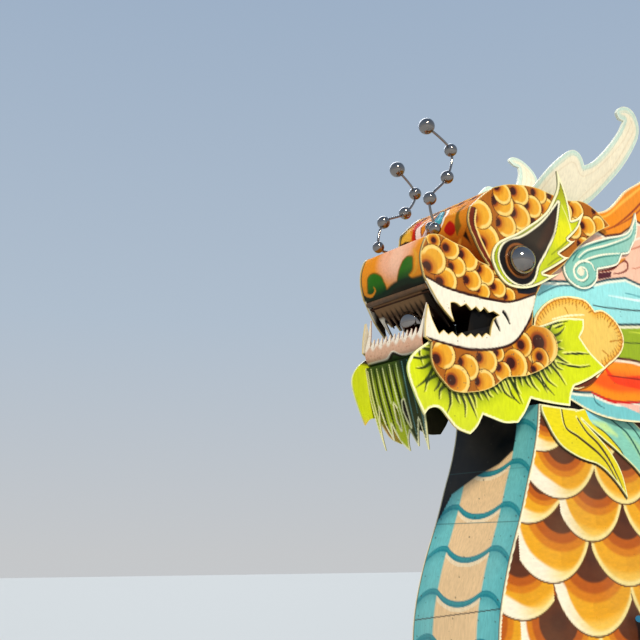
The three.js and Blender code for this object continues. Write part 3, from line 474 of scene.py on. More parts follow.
def enamel(name, gloss=0.34, brush=(26, 26, 5), brushed=0.12, grime=0.25, speck=0.5, shine=0.18):
    """Hand-laid enamel: the painted colour, lighter and darker in long brush marks, dulled by weather, with
    small specks of dirt. Gloss changes in patches, and the brush marks stand up a little."""
    made, tree, shader = bare_material(name)
    paint = add_node(tree, "ShaderNodeAttribute", {"attribute_name": "paint"}).outputs["Color"]
    place = object_point(tree)
    marks = noise(tree, stretched(tree, place, brush), 4.0, 5.0)
    patch = noise(tree, place, 2.6, 6.0)
    fleck = noise(tree, place, 75.0, 2.0)
    tone = carried(tree, marks, 0.3, 0.7, 1 - brushed, 1 + brushed)
    lit = add_node(tree, "ShaderNodeVectorMath", {"operation": "SCALE"},
                   {0: paint, "Scale": tone}).outputs["Vector"]
    age = carried(tree, patch, 0.45, 0.8, 0.0, grime)
    aged = add_node(tree, "ShaderNodeMix", {"data_type": "RGBA"},
                    {"Factor": age, "A": lit, "B": (0.30, 0.22, 0.13, 1)}).outputs["Result"]
    dirt = carried(tree, fleck, 0.72, 0.78, 0.0, speck)
    dirty = add_node(tree, "ShaderNodeMix", {"data_type": "RGBA"},
                     {"Factor": dirt, "A": aged, "B": (0.05, 0.035, 0.02, 1)}).outputs["Result"]
    tree.links.new(dirty, shader.inputs["Base Color"])
    tree.links.new(carried(tree, patch, 0.3, 0.75, gloss - 0.06, gloss + 0.22), shader.inputs["Roughness"])
    shader.inputs["Specular IOR Level"].default_value = shine
    raise_surface(tree, shader, marks, 0.35, 0.0008)
    return made


def on_neck(flat, out):
    """A neck plate's point: aft of the snout, up, and out from its outer face."""
    return np.stack([SNOUT - flat[:, 0], NECK_HALF + out, flat[:, 1]], 1)


def from_neck(spots):
    """A point's place on the neck plate: aft of the snout, up, and out from its outer face."""
    return np.stack([SNOUT - spots[:, 0], spots[:, 2], spots[:, 1] - NECK_HALF], 1)


# Columns: bottom of the scale aft and up, the notch over it aft and up, radius of its lower edge, its middle
# aft, half its width. The rows go from the foot of the neck to its top, and each laps over the row before.
NECK_SCALES = [
    (960, -60, 960, 250, 290, 960, 262), (700, 150, 700, 450, 290, 700, 262),
    (1225, 140, 1225, 440, 290, 1225, 262), (430, 350, 445, 650, 290, 435, 262),
    (960, 345, 960, 640, 290, 960, 262), (1490, 335, 1490, 640, 290, 1490, 268),
    (700, 545, 700, 840, 290, 700, 262), (1225, 540, 1225, 835, 290, 1225, 262),
    (1750, 530, 1750, 830, 290, 1750, 262), (430, 745, 440, 1030, 290, 435, 262),
    (960, 735, 955, 1025, 290, 960, 262), (1490, 725, 1490, 1020, 290, 1490, 268),
    (2020, 720, 2020, 1020, 290, 2020, 262), (190, 940, 190, 1240, 290, 190, 255),
    (705, 935, 690, 1225, 290, 705, 258), (1225, 925, 1215, 1220, 290, 1225, 262),
    (1755, 915, 1755, 1220, 290, 1755, 268), (478, 1231, 464, 1510, 300, 430, 238),
    (959, 1142, 949, 1515, 298, 939, 274), (1487, 1130, 1480, 1480, 298, 1487, 274),
    (150, 1400, 150, 1700, 300, 160, 250), (674, 1377, 748, 1716, 283, 706, 242),
    (1213, 1353, 1213, 1696, 296, 1217, 268), (1750, 1345, 1740, 1690, 296, 1752, 268),
    (527, 1627, 640, 1835, 310, 500, 248), (959, 1554, 1012, 1863, 253, 980, 233),
    (1450, 1545, 1470, 1850, 262, 1448, 235), (753, 1740, 790, 1995, 305, 757, 255),
    (1223, 1730, 1232, 1990, 240, 1230, 218), (1693, 1720, 1700, 1980, 250, 1680, 232),
    (640, 1945, 690, 2130, 270, 600, 215), (1010, 1915, 1010, 2160, 260, 1015, 200),
    (1450, 1905, 1450, 2160, 260, 1440, 225),
]
LEAN = 1.21
DEEP = 309.0


def roof_scale(paint, low_s, low_z, top_s, top_z, radius, middle, half):
    """One scale, round below: colours lie in rings round its notch, and a pale rim and a dark line follow the
    edge."""
    s, z = paint.points.T
    depth = radius - np.hypot(s - low_s, np.minimum(z - low_z - radius, 0))
    body = np.clip(0.5 + depth / 2.5, 0, 1) * (np.abs(s - middle) < half + 1) * (z < top_z + 150)
    size = (top_z - low_z) / DEEP
    ring = np.hypot((s - top_s) / LEAN, z - top_z) / size
    white = fade(low_s + 80 - s, -60, 170) * fade(1000 - s, 0, 300)
    paint.lay(body, 0x5A3010, 2.0)
    shade = body * fade(depth, 5, 10)
    paint.lay(shade, 0xF4DD92, 0.0)
    paint.lay(shade * white, 0xF8EBD2)
    paint.lay(shade * fade(depth, 20, 30) * (1 - white) * 0.5, 0xEFC24C)
    rim_wide = 30 + 50 * white
    inner = shade * fade(depth, rim_wide - 8, rim_wide + 10)
    paint.lay(inner, 0xF2BE4C)
    paint.lay(inner * fade(ring, 268, 236), 0xE9A41C)
    paint.lay(inner * fade(ring, 246, 222) * (s > top_s - 20) * 0.35, 0xD38E12)
    paint.lay(shade * fade(ring, 192, 178), 0xD27A10)
    paint.lay(shade * fade(ring, 160, 146), 0xB4560C)
    paint.lay(shade * fade(ring, 119, 109), 0x5A2C14)
    paint.lay(shade * fade(ring, 70, 30) * 0.5, 0x3C1C10)


def swirl(paint, centre, size, code, wide, turns=1.5, hand=1, start=0.0):
    """A cloud's curl: a spiral whose distance from the centre grows evenly with its turn."""
    turn = np.linspace(0, turns * 2 * math.pi, int(20 * turns) + 4)
    reach = size * (0.12 + 0.88 * turn / turn[-1])
    line = np.stack([centre[0] + hand * reach * np.cos(turn + start),
                     centre[1] + reach * np.sin(turn + start)], 1)
    paint.stroke(line, code, (wide * 0.5, wide, wide, wide * 0.4), curved=False)


YELLOW_LINES = [[(790, 2158), (812, 2070), (895, 2033), (969, 1999), (1043, 1961), (1106, 1911),
                 (1185, 1808)],
                [(900, 2120), (960, 2060), (1040, 2010), (1110, 1945), (1165, 1870), (1205, 1800)]]
TEAL_LINES = [[(1040, 2160), (1130, 2143), (1215, 2106), (1272, 2077), (1340, 2005), (1420, 1890),
               (1500, 1720)],
              [(1240, 2150), (1330, 2100), (1400, 2030), (1460, 1930), (1520, 1780)]]
CLOUD_LINE = [(250, 560), (420, 470), (560, 560), (700, 470), (850, 560), (1000, 480), (1160, 600),
              (1340, 690), (1480, 640), (1640, 760), (1820, 720), (2000, 800), (2400, 760)]
CLOUDS = [(520, 330, 90, 1), (760, 300, 110, -1), (700, 90, 95, 1), (930, 120, 90, -1), (1010, 360, 85, 1),
          (1020, -20, 60, 1), (1330, 650, 34, 1), (1650, 690, 40, -1), (1900, 670, 34, 1)]


def neck_paint(points, rings, tendrils):
    """Scales from the foot up, clouds at the foot, and a dark line of painted shadow round the two flames
    that lie on the plate."""
    paint = Paint(points, 0xE9A51C)
    for row in NECK_SCALES:
        roof_scale(paint, *row)
    cloud = smooth(CLOUD_LINE)
    foot = np.vstack([cloud, [(2400, -200), (250, -200)]])
    paint.field(foot, 0x2F8C8A, 3, 1.5, 14)
    paint.field(foot, 0xF6EEDA, 3, 0, 6)
    paint.field(foot, 0x62B8AC, 3, 0, -8)
    for s, z, size, hand in CLOUDS:
        swirl(paint, (s, z), size * 1.12, 0x2B7D80, size * 0.22, hand=hand)
        swirl(paint, (s, z), size, 0xF6EEDA, size * 0.15, hand=hand)
    # Painted shadow: the flames stand proud of the plate, and a dark line is painted round each where its
    # shadow falls.
    for ring in tendrils:
        paint.stroke(np.vstack([ring, ring[:1]]), 0x3A1E0C, (9, 9), curved=False)
    paint.rim(rings[0], 0xFBEFC8, 7)
    return paint


def tendril_paint(points, ring):
    """Two flames from one root: a place takes its colour from the flame whose middle line is nearer."""
    yellow, teal = Paint(points, 0xE8D60C), Paint(points, 0x86CBB6)
    yellow.lay(fade(points[:, 1], 1960, 1800) * 0.5, 0xD8C414)
    for line in YELLOW_LINES:
        yellow.stroke([(s - 7, z + 5) for s, z in line], 0xF7F08A, (6, 6, 3))
        yellow.stroke(line, 0x3E2A08, (4, 7, 3), cut=1.2)
    teal.lay(fade(points[:, 1], 2060, 2150) * fade(points[:, 0], 1150, 1000), 0x8FD6E2)
    teal.stroke([(1010, 2115), (1095, 2096), (1190, 2060)], 0xC4E89C, (4, 22, 6), soft=18)
    teal.stroke([(1240, 2080), (1360, 2000), (1450, 1850)], 0x9ED0A0, (4, 26, 6), soft=22)
    for line in TEAL_LINES:
        teal.stroke(line, 0x1F5A50, (3, 6, 3), cut=1.2)
    to_yellow, to_teal = (gap_to(points, smooth(line))[0] for line in (YELLOW_LINES[1], TEAL_LINES[0]))
    yellow.colour[to_teal < to_yellow] = teal.colour[to_teal < to_yellow]
    yellow.lay(fade(np.abs(to_teal - to_yellow), 9, 5) * fade(points[:, 0], 1000, 1060), 0x2E3A1C, 0.8)
    yellow.rim(ring, 0xF2F2B4, 6)
    return yellow


neck_rings = [eased(ring, NECK_PITCH) for ring in flat_rings("neck_side_port", from_neck, -NECK_PLATE)[:1]]
tendril_rings = [eased(ring, 5) for ring in flat_rings("neck_side_port", from_neck, NECK_PLATE)]
neck_cut = cut_sheet(neck_rings, NECK_PITCH, 30)
neck_sheets = [(neck_cut, on_neck, 0, -NECK_PLATE, neck_paint(neck_cut["front"], neck_rings, tendril_rings),
                Paint(neck_cut["back"], 0x1A1714))]
for tendril in tendril_rings:
    tendril_cut = cut_sheet([tendril], 5, 20)
    neck_sheets.append((tendril_cut, on_neck, NECK_PLATE, -1, tendril_paint(tendril_cut["front"], tendril),
                        Paint(tendril_cut["back"], 0x3A3010)))
neck_enamel = enamel("neck_enamel", 0.3, (8, 8, 22), 0.07, 0.2, 0.5)
plate_pair("neck_side", neck_sheets, neck_enamel, "scale_paint")

# Neck belly and back: thin board bent over the frame between the two sides and nailed along its edges.
# The belly has teal borders, peach fields between sagging bands, and the head's cast shadow painted black
# under the jaw.
BELLY_LINE = [(650, 2165), (630, 2050), (590, 1920), (545, 1810), (495, 1680), (450, 1580), (405, 1480),
              (368, 1380), (338, 1280), (320, 1180), (312, 1060), (318, 930), (348, 780), (405, 630),
              (495, 480), (620, 330), (780, 180), (960, 40), (1149, -99)]
BACK_LINE = [(2180, 690), (1960, 810), (1800, 950), (1690, 1100), (1610, 1300), (1580, 1500), (1600, 1700),
             (1650, 1900), (1740, 2165)]
BELLY_BANDS = [2045, 1862, 1668, 1478, 1292, 1100, 905, 715, 530, 350, 180, 20]
NECK_INSIDE = 254.7
BOARD = 8


def bent_sheet(line, across, thickness, spans):
    """A board bent along a line in side view: the outer face is the line carried across, and the inner face
    lies the thickness in, square to the line. Gives points, faces, and each point's place across and up."""
    line = smooth(line, spans)
    run = np.gradient(line, axis=0)
    run /= np.hypot(*run.T)[:, None]
    inner = line + np.stack([-run[:, 1], run[:, 0]], 1) * thickness
    share = across if across.ndim == 2 else np.tile(across, (len(line), 1))
    outer_points = np.stack([np.broadcast_to(SNOUT - line[:, :1], share.shape), share,
                             np.broadcast_to(line[:, 1:], share.shape)], -1)
    inner_points = np.stack([np.broadcast_to(SNOUT - inner[:, :1], share.shape), share,
                             np.broadcast_to(inner[:, 1:], share.shape)], -1)
    return shell_faces(outer_points, inner_points)


def shell_faces(outer, inner):
    """A closed shell from two grids of points with the same shape: both faces and the four edges between
    them."""
    rows, columns = outer.shape[:2]
    place = np.arange(rows * columns).reshape(rows, columns)
    a, b, c, d = place[:-1, :-1], place[1:, :-1], place[1:, 1:], place[:-1, 1:]
    face = np.stack([a, b, c, d], -1).reshape(-1, 4)
    lift = rows * columns
    rim = np.concatenate([place[0, :-1], place[:-1, -1], place[-1, :0:-1], place[:0:-1, 0]])
    after = np.roll(rim, -1)
    walls = np.stack([rim, after, after + lift, rim + lift], 1)
    points = np.concatenate([outer.reshape(-1, 3), inner.reshape(-1, 3)])
    faces = np.vstack([face, face[:, ::-1] + lift, walls])
    return points, faces


def facing_out(points, faces):
    """The faces of one closed shell, turned over if they look inwards."""
    return turned_out(points - points.mean(0), [faces])[0]


def belly_paint(across, up, seed_z):
    """Borders, fields and bands by the share across and the height: each band sags between the borders and
    droops again over each border."""
    paint = Paint(np.stack([across, up], 1), 0xE6BC8A)
    share = np.abs(across) / NECK_INSIDE
    centre = 0.52
    past = np.clip((share - centre) / (1 - centre), 0, 1)
    sag = np.where(share < centre, 46 * (share / centre) ** 2.2, 46 + 10 * np.sin(past * 3) - 46 * past ** 2)
    border = fade(share, centre - 0.012, centre + 0.012)
    for z in BELLY_BANDS:
        paint.lay(np.clip(1 - (up - sag - z + 40) / 130, 0,
                          1) * ((up - sag) < z) * ((up - sag) > z - 190) * 0.35, 0xF2D2A4)
    paint.lay(border, 0x6CBBBC)
    paint.lay(border * fade(share, 0.72, 0.98) * 0.35, 0x4A9CA0)
    for z in BELLY_BANDS:
        gap = up - sag - z
        paint.lay((np.abs(gap + 18) < 13) * (1 - border) * 0.8, 0xF4DDB8)
        paint.lay(fade(np.abs(gap), 15, 11), 0x23808C, 0.8)
        paint.lay(fade(np.abs(gap - 3), 7, 3) * 0.5, 0x3A9A9C)
        paint.lay(border * fade(gap, -60, -14) * (gap < -12) * 0.5, 0x3E9298)
    # Painted shadow: above this line the head's cast shadow is painted near black, over the middle and the
    # starboard border.
    head_shadow_edge = np.interp(across, [-255, -200, -60, 60, 130], [1650, 1780, 1860, 1905, 1960])
    paint.lay(fade(up - head_shadow_edge, -4, 4) * (across < centre * NECK_INSIDE), 0x0E1216)
    seam = np.abs(up - np.interp(across, [-255, 255], [1215, 1285]))
    paint.lay(fade(seam, 3, 1.5), 0x3A3430, 1.0)
    for z in (1880, 1640, 1020, 760, 420):
        paint.lay(fade(np.abs(up - z), 2.4, 1.2) * 0.8, 0x3E6A6A, 0.8)
    for place in (-236, -148, -12, 140, 236):
        gap = np.hypot(across - place, (up + seed_z) % 86 - 43)
        paint.lay(fade(gap, 4.2, 2.6) * 0.8, 0x3A3A34, 0.8)
    return paint


belly_across = np.linspace(-NECK_INSIDE, NECK_INSIDE, 75)
belly_points, belly_faces = bent_sheet(BELLY_LINE, belly_across, BOARD, 24)
belly_faces = facing_out(belly_points, belly_faces)
belly_colours = belly_paint(belly_points[:, 1], belly_points[:, 2], 13)
belly_inner = len(belly_points) // 2
belly_colours.colour[belly_inner:] = linear(0x2A2622)
bow_face = SNOUT - 1150 + 0.5
belly_points[:, 0] = np.where(belly_points[:, 2] < 620, np.maximum(belly_points[:, 0], bow_face),
                              belly_points[:, 0])
belly_enamel = enamel("belly_enamel", 0.36, (30, 30, 3), 0.10, 0.22, 0.7)
set_up("neck_belly_board", mesh_from("neck_belly_board", belly_points * MM, belly_faces), belly_enamel,
       "belly_paint", "neck_belly_sheet", paint=belly_colours.colour)

back_points, back_faces = bent_sheet(BACK_LINE, belly_across, BOARD, 16)
back_faces = facing_out(back_points, back_faces)
back_colours = Paint(back_points[:, 1:], 0xD9690E)
back_share = np.abs(back_points[:, 1]) / NECK_INSIDE
back_wave = (back_points[:, 2] + 50 * np.cos(back_share * 5)) % 150
back_colours.lay(fade(back_wave, 8, 0), 0x7A1E08, 1.0)
back_colours.lay(fade(back_wave, 150, 120) * 0.7, 0xF6B030)
back_colours.lay(fade(back_share, 0.86, 0.9), 0xF6D98A)
back_colours.lay(fade(back_share, 0.9, 0.93), 0x2F8C8A)
set_up("neck_back_board", mesh_from("neck_back_board", back_points * MM, back_faces), belly_enamel,
       "orange_paint", "neck_back_sheet", paint=back_colours.colour)

# Face plates: the thickest board of the head, one on each side, flared apart towards the neck. Snout, brow
# and jaw are painted with gold scales, and the mouth is sawn out with its teeth and painted white.
FLARE = math.radians(6)
HEAD_HALF = 215
FACE_PLATE = 14
FACE_PITCH = 5

# Columns: middle of the scale aft and up, its radius, and its root aft and up. Listed from the snout aft.
UPPER_SCALES = [
    (63, 2753, 61, 25, 2714), (66, 2844, 33, 66, 2842), (157, 2819, 46, 132, 2819),
    (256, 2787, 51, 213, 2803), (193, 2741, 44, 155, 2735), (128, 2669, 54, 90, 2655),
    (276, 2692, 46, 238, 2686), (356, 2727, 45, 313, 2750), (426, 2677, 41, 394, 2680),
    (338, 2647, 34, 302, 2650), (488, 2650, 34, 463, 2640), (341, 3018, 64, 293, 2997),
    (366, 2898, 75, 336, 2875), (495, 2992, 55, 439, 2999), (582, 3049, 62, 536, 3067),
    (481, 3103, 61, 421, 3104), (669, 3121, 52, 624, 3121), (480, 3150, 50, 445, 3178),
    (590, 3170, 52, 547, 3176), (715, 3195, 45, 673, 3197), (815, 3195, 40, 781, 3200),
    (600, 3010, 50, 560, 3000), (760, 3130, 50, 715, 3120), (700, 3050, 50, 660, 3045),
    (1035, 3090, 48, 991, 3085), (1075, 3020, 45, 1033, 3015), (1110, 3115, 40, 1066, 3099),
    (1000, 2975, 45, 957, 2981), (420, 2790, 46, 380, 2785), (560, 2930, 50, 520, 2925),
    (930, 3060, 50, 890, 3055), (880, 3140, 46, 840, 3135), (960, 3160, 46, 920, 3155),
    (1120, 3185, 44, 1080, 3180)]
JAW_SCALES = [
    (101, 2330, 56, 58, 2307), (170, 2226, 61, 137, 2223), (233, 2288, 52, 182, 2308),
    (323, 2232, 50, 272, 2231), (339, 2328, 53, 290, 2339), (429, 2287, 42, 401, 2306),
    (503, 2327, 66, 476, 2333), (401, 2370, 35, 392, 2370), (665, 2431, 94, 651, 2449),
    (658, 2371, 48, 651, 2381), (551, 2428, 54, 542, 2424), (437, 2275, 35, 410, 2276),
    (560, 2260, 44, 525, 2262), (640, 2310, 40, 610, 2316), (740, 2500, 46, 705, 2500)]
LIP_TOP = [(5, 2672), (60, 2655), (125, 2635), (265, 2620), (445, 2615), (525, 2630), (590, 2655),
           (655, 2682)]
LIP_LOW = [(0, 2397), (115, 2380), (255, 2370), (400, 2390), (510, 2435), (590, 2525), (635, 2605),
           (660, 2684)]
BROW_EDGE = [(384, 2770), (340, 2825), (305, 2885), (272, 2965), (282, 3035)]


def on_head(flat, out):
    """A head plate's point on the port side, from its place aft and up and its distance out from the face."""
    aft, up = flat.T
    return np.stack([SNOUT - aft * math.cos(FLARE) + out * math.sin(FLARE),
                     HEAD_HALF + aft * math.sin(FLARE) + out * math.cos(FLARE), up], 1)


def from_head(spots):
    """A point's place on the flared head plates: aft, up, and out from the face."""
    x, y = spots[:, 0] - SNOUT, spots[:, 1] - HEAD_HALF
    return np.stack([y * math.sin(FLARE) - x * math.cos(FLARE), spots[:, 2],
                     x * math.sin(FLARE) + y * math.cos(FLARE)], 1)


SCALE_SWELL = 1.09


def face_scale(paint, aft, up, radius, root_aft, root_up):
    """A round scale: dark at its root, amber to gold by the distance from the root over the radius,
    and a pale rim on the far side."""
    radius *= SCALE_SWELL
    chosen = paint.around(np.array([(aft, up)], float), radius + 8)
    points = paint.points[chosen]
    off = np.hypot(*(points - (aft, up)).T)
    from_root = np.hypot(*(points - (root_aft, root_up)).T) / radius
    body = np.clip(0.5 + (radius - off) / 2.5, 0, 1)
    side = fade(from_root, 0.75, 1.05)
    for cover, code, cut in (
            (np.clip(0.5 + (radius + 4.5 - off) / 2.5, 0, 1), 0x4A1A06, 1.6), (body, 0xE7A428, 0.0),
            (body * fade(from_root, 1.05, 0.6) * 0.8, 0xC9760F, None),
            (body * fade(from_root, 0.6, 0.42), 0x9A440C, None),
            (body * side * fade(off, radius * 0.70, radius * 0.80), 0xF7D47A, None),
            (body * side * fade(off, radius * 0.93, radius * 0.99) * 0.6, 0xE9B040, None),
            (body * fade(from_root, 0.40, 0.32), 0x3A100A, 0.6)):
        paint.part(cover, chosen, code, cut)


def on_line(aft, up, line):
    """How far a point is above a line that runs aft."""
    line = np.array(line, float)
    return up - np.interp(aft, line[:, 0], line[:, 1])


def face_paint(points, rings):
    """Gold scales laid row by row, a dark and a pale line under the brow, and a pale field in dark lips."""
    paint = Paint(points, 0xA85E12)
    aft, up = points.T
    for row in sorted(UPPER_SCALES, reverse=True) + sorted(JAW_SCALES, reverse=True):
        face_scale(paint, *row)
    for outline, code in ((11, 0x2E0E08), (0, 0x6A2208)):
        paint.stroke([(a + 14 + outline, z) for a, z in BROW_EDGE], code, (15 - outline, 13, 11))
    paint.stroke([(a + 36, z) for a, z in BROW_EDGE], 0xF2CE7A, (2.5, 5, 4), cut=0)
    paint.field([(545, 2668), (610, 2672), (660, 2690), (672, 2724), (600, 2738), (530, 2706)], 0x10121C, 4)
    mouth = np.vstack([smooth(LIP_TOP), smooth(LIP_LOW)[::-1]])
    paint.field(mouth, 0xF4EAD6, 3, 0)
    paint.lay(fade(aft, 60, -20) * (up < 2640) * (up > 2395) * 0.25, 0xC8B89A)
    for line in (LIP_TOP, LIP_LOW):
        paint.stroke(line, 0x33110A, (5, 7, 6, 5), cut=2)
    for slit in ([(452, 2566), (468, 2548), (484, 2516)], [(398, 2524), (408, 2505), (424, 2476)]):
        paint.stroke(slit, 0x140E0C, (9, 8, 4), cut=5)
    for hole in rings[1:]:
        paint.rim(hole, 0x2A1812, 2.5)
    paint.rim(rings[0], 0xE8C878, 3)
    speck = np.random.default_rng(5).random(len(points))
    paint.lay((speck > 0.9965) * (up < 2640), 0x6A5A48)
    return paint


def face_back(points):
    """The inner side is painted dark as the shade inside the head, and only the teeth at the front are primed
    white.
    """
    # Painted shade: the dark inner face stands for the shade inside the head.
    paint = Paint(points, 0x17110D)
    aft, up = points.T
    paint.lay(fade(aft, 95, 70) * (up < 2650) * (up > 2400), 0xD8CDB8)
    paint.lay((up < 2400) * 1.0, 0x5A5A14)
    return paint


face_rings = [eased(ring, FACE_PITCH) for ring in flat_rings("face_port", from_head, 0)]
face_cut = cut_sheet(face_rings, FACE_PITCH, 12)
sign_enamel = enamel("sign_enamel", 0.30, (22, 22, 6), 0.08, 0.18, 0.6)
plate_pair("face", [(face_cut, on_head, 0, -FACE_PLATE, face_paint(face_cut["front"], face_rings),
                     face_back(face_cut["back"]))], sign_enamel, "gold_paint")

# Eye plates: a lime flame cut from thinner board and screwed on the face, with a dark painted teardrop.
# In it sits the eye, a polished steel ball flattened where it meets the plate.
EYE_OUT = 12.3
EYE_GAP = 0.3
EYE_RADIUS = 72
EYE_AT = (555, 2825)
TEARDROP = [(830, 3172), (788, 3015), (722, 2900), (668, 2822), (640, 2755), (590, 2716), (525, 2712),
            (462, 2748), (432, 2815), (452, 2876), (500, 2916), (565, 2938), (640, 2985), (730, 3058),
            (830, 3172)]
EYE_STROKES = [
    ([(850, 3160), (890, 3080), (905, 3000), (900, 2960)], 0xF2EE8A, (2, 4, 2)),
    ([(760, 2890), (850, 2960), (905, 3010), (960, 3050)], 0x8E9A10, (3, 5, 2)),
    ([(730, 2830), (800, 2880), (860, 2900), (925, 2935)], 0x8E9A10, (3, 5, 2)),
    ([(705, 2770), (760, 2800), (830, 2830), (900, 2850)], 0x8E9A10, (3, 4, 2)),
    ([(690, 2740), (740, 2756), (800, 2775)], 0x8E9A10, (2, 4, 2))]


def eye_paint(points, rings):
    """Lime yellow, darker above and in front, with brush strokes, and a cream drop with a dark edge."""
    paint = Paint(points, 0xC2CC14)
    aft, up = points.T
    paint.lay(fade(np.hypot(aft - 850, up - 3000), 130, 40), 0xE4E012)
    paint.lay(fade(up, 3120, 3260), 0x9C9E0E)
    paint.lay(fade(aft, 460, 400) * 0.8, 0x8C9810)
    paint.lay(fade(np.hypot(aft - 560, up - 2990), 90, 20) * 0.7, 0x8FA012)
    for line, code, wide in EYE_STROKES:
        paint.stroke(line, code, wide)
    drop = smooth(TEARDROP)
    paint.field(drop, 0x22220A, 3, None, 13)
    paint.field(drop, 0xFBF3CE, 3, None, 10)
    paint.field(drop, 0x17110F, 3, 1.5)
    paint.stroke([(800, 3110), (755, 3010), (690, 2920)], 0x341C12, (8, 30, 16), soft=26)
    ball = np.hypot(aft - EYE_AT[0], up - EYE_AT[1])
    paint.lay(fade(np.abs(ball - EYE_RADIUS - 8), 8, 4), 0x8E5426)
    paint.lay(fade(ball, EYE_RADIUS + 3, EYE_RADIUS), 0x0C0A0A)
    paint.rim(rings[0], 0x3C3A0C, 13)
    paint.rim(rings[0], 0xFAF3C4, 10)
    return paint


eye_rings = [eased(ring, FACE_PITCH) for ring in flat_rings("eye_plate_port", from_head, EYE_OUT)]
eye_cut = cut_sheet(eye_rings, FACE_PITCH, 20)
plate_pair("eye_plate", [(eye_cut, on_head, EYE_OUT, EYE_GAP, eye_paint(eye_cut["front"], eye_rings),
                          Paint(eye_cut["back"], 0x4A4A10))], sign_enamel, "lime_paint")


def ball_grid(radius, rings=32, around=64, low=-1.0):
    """A ball as rows and columns: each point is the radius along a turn and a tilt. Below the low height, as
    a share of the radius, it is cut flat."""
    tilt = np.linspace(0, math.pi, rings + 1)[1:-1, None]
    turn = np.linspace(0, 2 * math.pi, around, endpoint=False)[None]
    high = np.cos(tilt) + 0 * turn
    points = np.stack([np.sin(tilt) * np.cos(turn), np.sin(tilt) * np.sin(turn), high], -1).reshape(-1, 3)
    points = np.vstack([points, (0, 0, 1), (0, 0, -1)])
    points[:, 2] = np.maximum(points[:, 2], low)
    place, quads = ring_quads(len(tilt), around)
    return points * radius, quads.reshape(-1, 4), end_caps(place)


def steel(name, tint, rough, swirl_size=60.0, spots=0.35):
    """Polished steel: mirror-like, with fine wiping marks in its roughness, dull water spots and a faint
    waviness."""
    made, tree, shader = bare_material(name)
    place = object_point(tree)
    fine = noise(tree, place, swirl_size, 6.0, 1.5)
    wide = noise(tree, place, 9.0, 3.0)
    spot = add_node(tree, "ShaderNodeTexVoronoi", inputs={"Vector": place,
                                                          "Scale": 130.0}).outputs["Distance"]
    mark = carried(tree, spot, 0.05, 0.16, spots, 0.0)
    shader.inputs["Metallic"].default_value = 1.0
    colour = ramp(tree, wide, [(0.3, tuple(0.82 * c for c in tint)), (0.7, tint)])
    tree.links.new(colour, shader.inputs["Base Color"])
    base = carried(tree, fine, 0.3, 0.7, rough * 0.6, rough * 1.8)
    total = add_node(tree, "ShaderNodeMath", {"operation": "ADD"}, {0: base, 1: mark})
    tree.links.new(total.outputs["Value"], shader.inputs["Roughness"])
    raise_surface(tree, shader, wide, 0.06, 0.004)
    return made


# Painted reflection: the balls' steel is tinted dark brown, standing for the dark surroundings they reflect.
ball_steel = steel("ball_steel", (0.30, 0.27, 0.25), 0.08)
for side, sign in SIDES:
    spots, quads, caps = ball_grid(EYE_RADIUS, 48, 96, 0.0)
    flat = np.stack([EYE_AT[0] + spots[:, 0], EYE_AT[1] + spots[:, 1]], 1)
    spots = on_head(flat, EYE_OUT + spots[:, 2]) * (1, sign, 1)
    eye_faces = turned_out(spots - spots.mean(0), [quads, caps])
    set_up(f"eye_ball_{side}_polished", mesh_from(f"eye_ball_{side}_polished", spots * MM, *eye_faces),
           ball_steel, "polished_ball", f"eye_ball_{side}")

# Fringe, fan and ear: flat boards fixed behind each face plate, one behind the other. The
# fringe is a lime ruff round the jaw with dark creases, the fan a ribbed cream shell, and the
# ear a teal wing that curls at its root.
FRINGE_LEVELS = (-14.3, -24.3)
FAN_LEVELS = (-24.6, -34.6)
EAR_LEVELS = (-22.6, -34.6)
BOARD_PITCH = 6
FRINGE_STROKES = [
    [(621, 2313), (662, 2292), (697, 2250), (744, 2212)],
    [(456, 2244), (475, 2213), (494, 2182), (533, 2153)],
    [(775, 2371), (854, 2362), (935, 2364), (995, 2377)], [(824, 2415), (900, 2425), (995, 2434)],
    [(699, 2533), (769, 2555), (863, 2580)], [(778, 2535), (838, 2560)]]
EAR_LINES = [[(1005, 2908), (1050, 2930), (1148, 2965), (1279, 2995)],
             [(976, 2922), (1042, 2971), (1186, 3024), (1344, 3096), (1391, 3154)]]
EAR_SHADE = [(937, 2897), (979, 2951), (1057, 2997), (1189, 3049), (1325, 3102), (1385, 3163)]
EAR_CURL = [(1081, 2870), (1066, 2900), (1024, 2912), (973, 2894), (939, 2856), (947, 2816), (988, 2804),
            (1028, 2833), (1019, 2869), (983, 2872), (962, 2846), (979, 2830)]
EAR_FOOT = [(872, 2841), (892, 2798), (949, 2771), (1023, 2787), (1076, 2827)]


